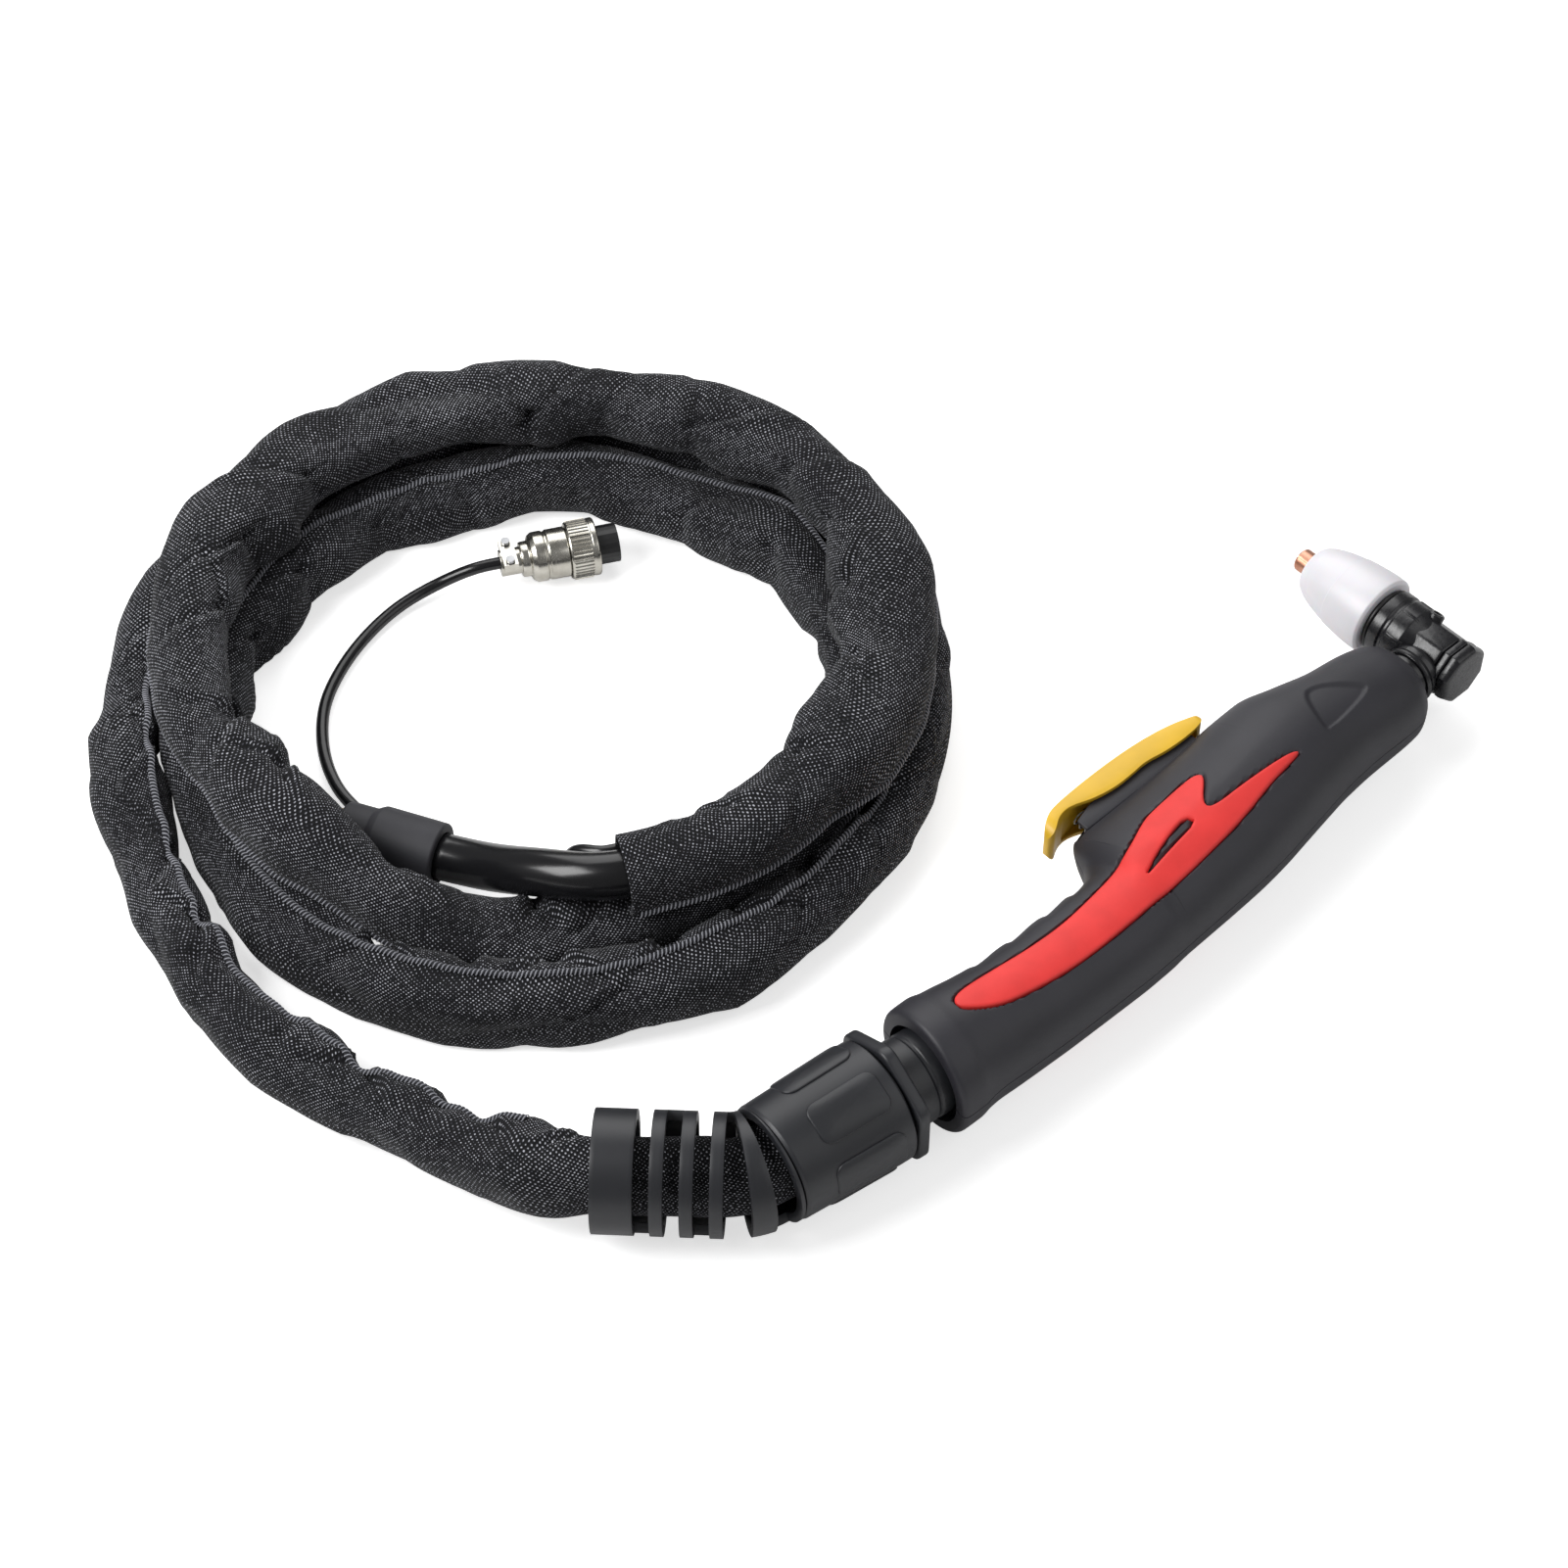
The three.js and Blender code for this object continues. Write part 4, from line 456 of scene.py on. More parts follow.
def toned(colour, factor, lift=0.0):
    """A linear colour made darker or lighter."""
    return (*(min(1.0, c * factor + lift) for c in colour[:3]), 1.0)


def plugged(made, inputs):
    """The node with its inputs set, each to a value or to another node's output."""
    for name, value in inputs.items():
        socket = made.inputs[name]
        if isinstance(value, bpy.types.NodeSocket):
            made.id_data.links.new(value, socket)
        else:
            socket.default_value = value
    return made


def node(tree, kind, inputs=None, stops=(), **settings):
    """Adds a node with its settings and links. stops are a ramp's (position, colour) pairs."""
    made = tree.nodes.new(kind)
    for name, value in settings.items():
        setattr(made, name, value)
    for number, (position, colour) in enumerate(stops):
        elements = made.color_ramp.elements
        element = elements[number] if number < len(elements) else elements.new(position)
        element.position, element.color = position, colour
    return plugged(made, inputs or {})


def surface(name, **sockets):
    """A new material, its node tree and its Principled shader with these sockets set."""
    finish = bpy.data.materials.new(name)
    finish.use_nodes = True
    shader = finish.node_tree.nodes["Principled BSDF"]
    plugged(shader, {key.replace("_", " "): value for key, value in sockets.items()})
    return finish, finish.node_tree, shader


def per_metre(size_mm):
    """Texture scale for a feature of this size on Object coordinates in metres."""
    return 1000.0 / size_mm


def moulded_nylon(name, colour, roughness=0.55, grain_mm=0.55, depth_mm=0.05):
    """Nylon from a spark-eroded mould: matt, with a fine even grain and faint mottling."""
    finish, tree, shader = surface(name, Roughness=roughness, IOR=1.53)
    where = node(tree, "ShaderNodeTexCoord").outputs["Object"]
    grain = node(tree, "ShaderNodeTexNoise", {
        "Vector": where, "Scale": per_metre(grain_mm), "Detail": 2.0})
    mottle = node(tree, "ShaderNodeTexNoise", {
        "Vector": where, "Scale": per_metre(18), "Detail": 3.0})
    tint = node(tree, "ShaderNodeValToRGB", {"Fac": mottle.outputs["Fac"]}, stops=[
        (0.35, toned(colour, 0.90)), (0.65, toned(colour, 1.10))])
    relief = node(tree, "ShaderNodeBump", {
        "Height": grain.outputs["Fac"], "Distance": depth_mm * MM, "Strength": 0.6})
    plugged(shader, {"Base Color": tint.outputs["Color"], "Normal": relief.outputs["Normal"]})
    return finish


def soft_rubber(name, colour, roughness=0.6):
    """Overmoulded thermoplastic rubber: satin, slightly dusty, with soft highlights."""
    finish, tree, shader = surface(name, Roughness=roughness, IOR=1.5)
    where = node(tree, "ShaderNodeTexCoord").outputs["Object"]
    grain = node(tree, "ShaderNodeTexNoise", {
        "Vector": where, "Scale": per_metre(0.9), "Detail": 3.0})
    dust = node(tree, "ShaderNodeTexNoise", {
        "Vector": where, "Scale": per_metre(9), "Detail": 4.0})
    tint = node(tree, "ShaderNodeValToRGB", {"Fac": dust.outputs["Fac"]}, stops=[
        (0.35, toned(colour, 0.93)), (0.7, toned(colour, 1.05, 0.002))])
    relief = node(tree, "ShaderNodeBump", {
        "Height": grain.outputs["Fac"], "Distance": 0.04 * MM, "Strength": 0.5})
    plugged(shader, {"Base Color": tint.outputs["Color"], "Normal": relief.outputs["Normal"]})
    return finish


def extruded_hose(name):
    """Glossy extruded rubber: fine lengthwise die lines and a wet-looking shine. The lines are 40
    to a turn and about 3 mm long, coarser than the real ones, so that they show."""
    finish, tree, shader = surface(name, Roughness=0.22, IOR=1.52, Base_Color=linear(0x141416))
    uv = node(tree, "ShaderNodeUVMap", uv_map="along")
    stretched = node(tree, "ShaderNodeMapping", {
        "Vector": uv.outputs["UV"], "Scale": (40.0, 30.0, 1.0)})
    lines = node(tree, "ShaderNodeTexNoise", {
        "Vector": stretched.outputs["Vector"], "Scale": 1.0, "Detail": 3.0})
    relief = node(tree, "ShaderNodeBump", {
        "Height": lines.outputs["Fac"], "Distance": 0.06 * MM, "Strength": 0.35})
    plugged(shader, {"Normal": relief.outputs["Normal"]})
    return finish


def denim(name, base):
    """Black denim twill: dark warp with grey-white weft floats in steep diagonal rows. The rows are
    drawn 1 mm apart, slightly coarser than the cloth's, so that they show."""
    finish, tree, shader = surface(name, Roughness=0.95, IOR=1.35, Sheen_Weight=0.06)
    uv = node(tree, "ShaderNodeUVMap", uv_map="cloth").outputs["UV"]
    split = node(tree, "ShaderNodeSeparateXYZ", {"Vector": uv})

    def rows_of_thread(along, across, pitch_mm):
        """A wave over the cloth, with its crests this far apart and square to this direction."""
        turns = 2 * math.pi * per_metre(pitch_mm)
        x = node(tree, "ShaderNodeMath", {0: split.outputs["X"], 1: along * turns},
                 operation="MULTIPLY")
        both = node(tree, "ShaderNodeMath", {
            0: split.outputs["Y"], 1: across * turns, 2: x.outputs[0]}, operation="MULTIPLY_ADD")
        return node(tree, "ShaderNodeMath", {0: both.outputs[0]}, operation="SINE").outputs[0]

    weave = node(tree, "ShaderNodeMath", {
        0: rows_of_thread(0.83, 0.56, 1.02), 1: rows_of_thread(-0.50, 0.87, 0.94)},
        operation="ADD")
    height = node(tree, "ShaderNodeMath", {0: weave.outputs[0], 1: 0.25, 2: 0.5},
                  operation="MULTIPLY_ADD")
    where = node(tree, "ShaderNodeTexCoord").outputs["Object"]
    slubs = node(tree, "ShaderNodeTexNoise", {
        "Vector": where, "Scale": per_metre(0.9), "Detail": 2.0})
    worn = node(tree, "ShaderNodeTexNoise", {
        "Vector": where, "Scale": per_metre(30), "Detail": 4.0})
    threads = node(tree, "ShaderNodeMath", {
        0: slubs.outputs["Fac"], 1: 0.9, 2: height.outputs[0]}, operation="MULTIPLY_ADD")
    wear = node(tree, "ShaderNodeMath", {0: worn.outputs["Fac"], 1: 0.35, 2: -0.62},
                operation="MULTIPLY_ADD")
    level = node(tree, "ShaderNodeMath", {0: threads.outputs[0], 1: wear.outputs[0]},
                 operation="ADD")
    tint = node(tree, "ShaderNodeValToRGB", {"Fac": level.outputs[0]}, stops=[
        (0.42, (*base, 1.0)), (0.70, linear(0x111216)), (0.84, linear(0x3C3D44)),
        (1.0, linear(0xB4B5BC))])
    relief = node(tree, "ShaderNodeBump", {
        "Height": height.outputs[0], "Distance": 0.22 * MM, "Strength": 0.8})
    plugged(shader, {"Base Color": tint.outputs["Color"], "Normal": relief.outputs["Normal"]})
    return finish


def overlock_thread(name):
    """Spun polyester sewing thread, grey with a dull shine."""
    finish, tree, shader = surface(name, Roughness=0.6, IOR=1.5, Base_Color=linear(0xA3A4AC))
    where = node(tree, "ShaderNodeTexCoord").outputs["Object"]
    twist = node(tree, "ShaderNodeTexNoise", {
        "Vector": where, "Scale": per_metre(0.5), "Detail": 1.0})
    relief = node(tree, "ShaderNodeBump", {
        "Height": twist.outputs["Fac"], "Distance": 0.08 * MM, "Strength": 0.6})
    plugged(shader, {"Normal": relief.outputs["Normal"]})
    return finish


def pressed_phenolic(name):
    """Compression-moulded phenolic: hard, black and glossy, with flow ripples and a few scuffs."""
    finish, tree, shader = surface(name, IOR=1.6, Base_Color=linear(0x16161a))
    where = node(tree, "ShaderNodeTexCoord").outputs["Object"]
    flow = node(tree, "ShaderNodeTexNoise", {
        "Vector": where, "Scale": per_metre(5), "Detail": 2.0})
    scuff = node(tree, "ShaderNodeTexNoise", {
        "Vector": where, "Scale": per_metre(1.2), "Detail": 5.0})
    gloss = node(tree, "ShaderNodeMapRange", {
        "Value": scuff.outputs["Fac"], "To Min": 0.16, "To Max": 0.42})
    relief = node(tree, "ShaderNodeBump", {
        "Height": flow.outputs["Fac"], "Distance": 0.35 * MM, "Strength": 0.5})
    plugged(shader, {"Roughness": gloss.outputs["Result"], "Normal": relief.outputs["Normal"]})
    return finish


def fired_alumina(name):
    """Unglazed alumina ceramic: cool white, fine-grained, faintly translucent at the edge."""
    finish, tree, shader = surface(
        name, Roughness=0.42, IOR=1.76, Base_Color=linear(0xEDEBF0),
        Subsurface_Weight=0.15, Subsurface_Scale=1.2 * MM)
    where = node(tree, "ShaderNodeTexCoord").outputs["Object"]
    grain = node(tree, "ShaderNodeTexNoise", {
        "Vector": where, "Scale": per_metre(0.4), "Detail": 3.0})
    relief = node(tree, "ShaderNodeBump", {
        "Height": grain.outputs["Fac"], "Distance": 0.03 * MM, "Strength": 0.4})
    plugged(shader, {"Normal": relief.outputs["Normal"]})
    return finish


def turned_metal(name, low, high, roughness, line_mm):
    """Lathe-turned metal: fine tool marks that break up the highlight, and cloudy tarnish."""
    finish, tree, shader = surface(name, Metallic=1.0, Roughness=roughness)
    where = node(tree, "ShaderNodeTexCoord").outputs["Object"]
    marks = node(tree, "ShaderNodeTexNoise", {
        "Vector": where, "Scale": per_metre(line_mm), "Detail": 3.0})
    cloud = node(tree, "ShaderNodeTexNoise", {
        "Vector": where, "Scale": per_metre(6), "Detail": 3.0})
    tint = node(tree, "ShaderNodeValToRGB", {"Fac": cloud.outputs["Fac"]}, stops=[
        (0.35, linear(low)), (0.65, linear(high))])
    gloss = node(tree, "ShaderNodeMapRange", {
        "Value": marks.outputs["Fac"], "To Min": roughness * 0.7, "To Max": roughness * 1.5})
    relief = node(tree, "ShaderNodeBump", {
        "Height": marks.outputs["Fac"], "Distance": 0.02 * MM, "Strength": 0.4})
    plugged(shader, {"Base Color": tint.outputs["Color"], "Roughness": gloss.outputs["Result"],
                     "Normal": relief.outputs["Normal"]})
    return finish


# The material made for each finish, once a piece needs it.
MATERIALS = {}


def material(finish):
    """Each finish is made once, when a piece first needs it."""
    torch = bpy.context.scene.torch_settings
    cable = bpy.context.scene.cable_settings
    makers = {
        "shell": (moulded_nylon, "glass-filled nylon, moulded", torch.handle_colour, 0.52),
        "support": (moulded_nylon, "polyamide, moulded", linear(0x26272B), 0.42, 0.9, 0.03),
        "trigger": (moulded_nylon, "acetal, moulded", torch.trigger_colour, 0.38, 0.7, 0.02),
        "insert": (moulded_nylon, "thermoset insert, moulded", linear(0x121214), 0.4, 0.8, 0.02),
        "grip": (soft_rubber, "thermoplastic rubber, overmoulded", torch.grip_colour, 0.55),
        "boot": (soft_rubber, "neoprene, moulded", linear(0x303035), 0.62),
        "o_ring": (soft_rubber, "nitrile rubber, moulded", linear(0x131315), 0.4),
        "welt": (soft_rubber, "cotton welt, folded and pressed", linear(0x202126), 0.9),
        "hose": (extruded_hose, "rubber hose, extruded"),
        "denim": (denim, "cotton denim, twill woven", cable.cloth_colour),
        "thread": (overlock_thread, "polyester thread, spun"),
        "phenolic": (pressed_phenolic, "phenolic, pressed"),
        "ceramic": (fired_alumina, "alumina, fired"),
        "copper": (turned_metal, "copper, turned", 0xC28368, 0xDCA68D, 0.36, 0.35),
        "nickel": (turned_metal, "nickel on brass, plated", 0xBDB9AF, 0xD8D5CC, 0.22, 0.5),
        "steel": (turned_metal, "steel, zinc plated", 0x9A9B9E, 0xB8B9BB, 0.35, 0.5),
        "brass": (turned_metal, "brass, turned", 0xA5853F, 0xC9A85E, 0.32, 0.4),
    }
    if finish not in MATERIALS:
        make, *values = makers[finish]
        MATERIALS[finish] = make(*values)
    return MATERIALS[finish]


# ---- camera, floor and light

CAMERA_AT = (-379.2, -453.7, 843.5)
CAMERA_TO = (36.9, 118.9, 0.0)
HALF_VIEW = math.radians(12.0)  # from the middle of the photograph to its edge
SENSOR = 36.0
FLOOR_MIDDLE = (40, 100, 0)
FLOOR_SIZE = 12      # metres
FLOOR_DROP = 0.0004  # metres below the surface, clear of the lowest piece
FLOOR_GLOW = 0.62    # seen by the camera alone, so that the floor is as pale as the photograph's
SKY_LIGHT, SKY_SEEN = 0.20, 1.0
LAMPS = (            # name, place in mm, watts, size in metres
    ("key light", (-560, 330, 640), 6.4, 0.5),
    ("fill light", (420, -500, 620), 1.7, 0.8),
    ("rim light", (330, 620, 560), 3.4, 0.7))


class TORCH_OT_stage(bpy.types.Operator):
    """Sets the camera at the photograph's angle, the pale floor and the soft light"""
    bl_idname = "torch.stage"
    bl_label = "Stage"

    def execute(self, context):
        context.scene.view_settings.view_transform = "Standard"
        self.set_camera(context.scene)
        self.lay_floor(context)
        self.light_sky(context.scene)
        self.hang_lamps(context.scene)
        return {"FINISHED"}

    def aim(self, obj, place, target):
        obj.location = DRAWING @ Vector(place)
        heading = DRAWING @ Vector(target) - obj.location
        obj.rotation_euler = heading.to_track_quat("-Z", "Y").to_euler()

    def set_camera(self, scene):
        camera = bpy.data.objects.new("camera", bpy.data.cameras.new("camera"))
        self.aim(camera, CAMERA_AT, CAMERA_TO)
        camera.data.sensor_width = SENSOR
        camera.data.lens = SENSOR / 2 / math.tan(HALF_VIEW)
        camera.data.clip_start = 0.01
        scene.collection.objects.link(camera)
        scene.camera = camera

    def lay_floor(self, context):
        middle = DRAWING @ Vector(FLOOR_MIDDLE)
        middle.z = -FLOOR_DROP
        bpy.ops.mesh.primitive_plane_add(size=FLOOR_SIZE, location=middle)
        floor = context.object
        floor.name = "floor"
        paint, tree, shader = surface(
            "studio floor, painted", Roughness=0.9, Base_Color=linear(0xF4F4F4))
        path = node(tree, "ShaderNodeLightPath")
        glow = node(tree, "ShaderNodeEmission", {"Color": (1, 1, 1, 1), "Strength": FLOOR_GLOW})
        both = node(tree, "ShaderNodeAddShader", {0: shader.outputs[0], 1: glow.outputs[0]})
        seen = node(tree, "ShaderNodeMixShader", {
            0: path.outputs["Is Camera Ray"], 1: shader.outputs[0], 2: both.outputs[0]})
        plugged(tree.nodes["Material Output"], {"Surface": seen.outputs[0]})
        floor.data.materials.append(paint)

    def light_sky(self, scene):
        scene.world = bpy.data.worlds.new("studio")
        scene.world.use_nodes = True
        tree = scene.world.node_tree
        tree.nodes.clear()
        path = node(tree, "ShaderNodeLightPath")
        soft = node(tree, "ShaderNodeBackground", {"Color": (1, 1, 1, 1), "Strength": SKY_LIGHT})
        plain = node(tree, "ShaderNodeBackground", {"Color": (1, 1, 1, 1), "Strength": SKY_SEEN})
        seen = node(tree, "ShaderNodeMixShader", {
            0: path.outputs["Is Camera Ray"], 1: soft.outputs[0], 2: plain.outputs[0]})
        node(tree, "ShaderNodeOutputWorld", {"Surface": seen.outputs[0]})

    def hang_lamps(self, scene):
        for name, place, watts, size in LAMPS:
            lamp = bpy.data.objects.new(name, bpy.data.lights.new(name, "AREA"))
            lamp.data.energy = watts
            lamp.data.size = size
            self.aim(lamp, place, FLOOR_MIDDLE)
            scene.collection.objects.link(lamp)


# ---- cable routes

NUT_REAR = -54.0
RELIEF_BEND_RADIUS = 18.8
RELIEF_BEND = math.radians(38.5)
RELIEF_LENGTH = 48.2
SLEEVE_START = NUT_REAR + 24
RELIEF_ROUTE = (0, 6, 12, 20, 34, RELIEF_LENGTH)  # mm behind the nut where the route has points

# The coil is laid clockwise from COIL_START. Its tables have eight entries to a turn.
COIL_CENTRE = (-7.9, 184.9)
COIL_START = math.radians(144)
COIL_TURNS = 2.697
COIL_STEPS = 480
COIL_RADII = (
    120.2, 119, 117, 116.9, 117.6, 115.7, 117.3, 108, 98.3, 92.2, 89.5, 94.3, 96.9, 92.6, 92.3,
    95.5, 100.3, 107, 104.5, 109.5, 105.5, 95.5, 87.4, 78)
COIL_WIDTHS = (
    21.3, 23, 24.4, 22.1, 20.1, 22.5, 24, 22, 21, 24.4, 24.4, 22.1, 20.1, 22.5, 24.4, 24.4,
    25.5, 27, 28, 28, 27, 25.5, 24.4, 24.4)
CLIMB_START, CLIMB_END = 1.73, 1.885  # turns between which it climbs to its upper layer
FIRST_LAYER, LAYER = 10, 20.4         # height of the lower layer's middle, and of a layer
TANGENT_TURN = 0.004                  # a turn small enough to give the direction of the path
ONTO_COIL = 20.3                      # mm before the coil where the lead-in has its last point

BOOT_MOUTH = Vector((-64.6, 148.4, 10.0))
BOOT_HEADING = math.radians(124)
PLUG_START = Vector((13.3, 236.6, 9.6))
PLUG_HEADING = math.radians(-21.4)

SLEEVE_ROUTE = [
    (-103.5, 34.4, 17.6), (-111.6, 47.6, 14.4), (-119.4, 64.4, 11.6), (-127.6, 83.4, 10.3),
    (-135.2, 103.4, 10), (-140.2, 126, 10), (-142.2, 150.7, 10), (-140.2, 175, 10),
    (-133.4, 197.4, 10), (-125.4, 220.8, 10)]
WIDEST = 24.4
LEAD_IN_WIDTHS = (22.4, 22.4, 22.4, 22.4, 22.4, 22.4, 22.6, 21, 19, 20.4)
HOSE_ROUTE = [
    (-44.8, 106.2, 28.8), (-49.4, 113.2, 26.8), (-53.2, 121.2, 22.4), (-56.4, 130, 16.8),
    (-59.8, 139.6, 12), (-62.3, 144.8, 10.5)]
LEAD_ROUTE = [
    (-38.8, 114.8, 27.4), (-40.6, 120, 18), (-42.4, 128, 8), (-45.4, 137.6, 3),
    (-53.8, 151.6, 2.1), (-64, 165.6, 2.1), (-70.8, 178, 2.1), (-72.6, 189.6, 2.1),
    (-71.3, 200, 2.1), (-66.8, 212, 2.1), (-58.4, 224.4, 2.1), (-46.8, 234, 2.1),
    (-32.8, 241.4, 2.1), (-18.8, 245.2, 2.8), (-4.6, 244.4, 5)]


def from_table(table, place):
    """A table's value between its entries, by a spline through them."""
    entry = min(max(int(math.floor(place)), 0), len(table) - 2)
    along = place - entry
    a, b, c, d = (table[min(max(i, 0), len(table) - 1)] for i in range(entry - 1, entry + 3))
    return 0.5 * (2 * b + (c - a) * along + (2 * a - 5 * b + 4 * c - d) * along ** 2
                  + (3 * b - a - 3 * c + d) * along ** 3)


def relief_point(along, side=0.0, height=None):
    """A point beside the bent centre line of the relief, along mm behind the barrel nut."""
    arc = RELIEF_BEND_RADIUS * RELIEF_BEND
    heading = math.pi - min(max(along / RELIEF_BEND_RADIUS, 0), RELIEF_BEND)
    bent = min(max(along, 0), arc)
    straight = along - bent
    angle = bent / RELIEF_BEND_RADIUS
    x = NUT_REAR - RELIEF_BEND_RADIUS * math.sin(angle) + straight * math.cos(heading)
    y = RELIEF_BEND_RADIUS * (1 - math.cos(angle)) + straight * math.sin(heading)
    left = heading + math.pi / 2
    return Vector((x + side * math.cos(left), y + side * math.sin(left),
                   MID_HEIGHT if height is None else height))


def coil_point(turns):
    """A point on the coil's centre line, this many turns from its start."""
    radius = from_table(COIL_RADII, turns * 8)
    angle = COIL_START - 2 * math.pi * turns
    layer = float(smoothstep(CLIMB_START, CLIMB_END, np.array([turns]))[0]) * LAYER
    return Vector((COIL_CENTRE[0] + radius * math.cos(angle),
                   COIL_CENTRE[1] + radius * math.sin(angle), FIRST_LAYER + layer))


def coil_path():
    return [coil_point(COIL_TURNS * i / COIL_STEPS) for i in range(COIL_STEPS + 1)]


def sleeve_path():
    """Centre line of the sleeve from the swivel to its open end."""
    start = coil_point(0)
    inward = (start - coil_point(TANGENT_TURN)).normalized()
    lead_in = [Vector((SLEEVE_START, 0, MID_HEIGHT)), Vector((-44, 0, MID_HEIGHT))]
    lead_in += [relief_point(along) for along in RELIEF_ROUTE]
    lead_in += [Vector(p) for p in SLEEVE_ROUTE] + [start + inward * ONTO_COIL]
    return catmull(lead_in, 1.5) + coil_path()


def lead_in_length():
    """Length of the sleeve's route up to the coil, in mm."""
    return passed_by(sleeve_path()[:-(COIL_STEPS + 1)])[-1]


def coil_end():
    """The end of the coil and the direction in which it leaves."""
    end = coil_point(COIL_TURNS)
    return end, (end - coil_point(COIL_TURNS - TANGENT_TURN)).normalized()


def headed(angle):
    return Vector((math.cos(angle), math.sin(angle), 0))


def laid_at(start, heading):
    """The place of a piece whose X axis runs along a heading on the surface."""
    return DRAWING @ Matrix.Translation(start) @ Matrix.Rotation(heading, 4, "Z")


def tube_mesh(name, path, radius, place, sides=24):
    """A closed round tube along a path. Its UV map holds turns and decimetres along it."""
    path = np.asarray(path, float)
    tangent = unit(np.gradient(path, axis=0))
    side = np.cross(tangent, (0, 0, 1))
    side /= np.maximum(np.linalg.norm(side, axis=1), 1e-6)[:, None]
    up = np.cross(side, tangent)
    angles = np.linspace(0, 2 * math.pi, sides, endpoint=False)
    rings = path[:, None] + radius * (np.cos(angles)[None, :, None] * side[:, None]
                                      + np.sin(angles)[None, :, None] * up[:, None])
    faces = tube_faces(numbered(rings), caps=True)
    obj = mesh_piece(name, rings.reshape(-1, 3), faces, place)
    uv = obj.data.uv_layers.new(name="along")
    along = passed_by(path) * MM * 10
    for face in obj.data.polygons:
        corners = [obj.data.loops[i].vertex_index for i in face.loop_indices]
        wraps = len(corners) == 4 and {0, sides - 1} <= {v % sides for v in corners}
        for corner, vertex in zip(face.loop_indices, corners):
            turn = vertex % sides + (sides if wraps and vertex % sides == 0 else 0)
            uv.data[corner].uv = (turn / sides, along[vertex // sides])
    return crisp(facing_out(obj, merge=False), 60)


# ---- hose and lead

HOSE_STEP = 3.0           # mm between the points of the hose's path
INTO_BOOT = (0, 5, 12, 21.7)  # mm behind the boot's mouth where the hose's route has points
BOOT_PROFILE = [
    (0.0, 7.35), (0.0, 9.2), (0.5, 9.75), (4.0, 9.8), (19.5, 9.8), (21.0, 9.0), (22.0, 8.4),
    (30.2, 8.3), (31.0, 7.8), (31.0, 6.8), (23.0, 6.8), (21.0, 7.35)]
LEAD_STEP = 1.5
LEAD_BESIDE_HOSE = 9.25   # mm from the hose's middle to the lead's, in the sleeve's mouth
BACKSHELL_PROFILE = [
    (0, 2.1), (0, 4.2), (6.5, 4.2), (6.5, 5.4), (7.4, 5.6), (9.0, 5.6), (9.6, 7.0), (11.0, 7.9),
    (14.0, 7.9), (14.3, 7.5), (15.0, 7.5), (15.3, 7.9), (21.2, 7.9), (21.2, 7.1),
    (28.3, 7.1), (28.3, 6.4), (12.6, 6.4), (12.6, 2.4)]
RING_START, RING_END = 21.5, 30.7
RING_PROFILE = [
    (RING_START, 7.4), (RING_START, 8.7), (RING_START + 0.5, 9.0), (RING_END - 2.0, 9.0),
    (RING_END - 1.8, 9.1), (RING_END - 0.4, 9.1), (RING_END, 8.7), (RING_END, 7.4)]
RIDGE_FOOT, RIDGE_CREST, RIDGE_HALF = 8.9, 9.4, 0.42


class TORCH_OT_hose(bpy.types.Operator):
    """Lays the hose through the sleeve to its boot, with the boot and the machine fitting"""
    bl_idname = "torch.hose"
    bl_label = "Hose"

    def execute(self, context):
        radius = context.scene.cable_settings.hose_diameter / MM / 2
        path = self.route()
        hose = tube_mesh("hose", path, radius, DRAWING)
        dressed(hose, "cable_support", "hose", "hose_end")
        boot = turned_piece(
            "boot", BOOT_PROFILE, laid_at(BOOT_MOUTH, BOOT_HEADING), 96, "X", 0.35)
        dressed(boot, "cable_support", "boot", "rubber_boot")
        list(kept("brass", "machine_fitting"))
        return {"FINISHED"}

    def route(self):
        """The hose's path. Its free part, from the sleeve's mouth to the boot, is smoothed."""
        end, outward = coil_end()
        inside = sleeve_path()
        along = headed(BOOT_HEADING)
        tail = catmull([end, end + outward * 7.3] + HOSE_ROUTE
                       + [BOOT_MOUTH + along * depth for depth in INTO_BOOT], 2.0)
        path = evenly(inside[:-1] + tail, HOSE_STEP)
        passed = passed_by(path)
        sleeved = passed_by(inside)[-1]
        path[:, 2] -= hose_sag(passed, sleeved)
        free = smoothstep(sleeved - 12, sleeved + 4, passed)
        free *= 1 - smoothstep(passed[-1] - 30, passed[-1] - 22, passed)
        window = np.ones(5) / 5
        for _ in range(3):
            even = np.stack([np.convolve(path[:, i], window, "same") for i in range(3)], 1)
            path += free[:, None] * (even - path)
        return path


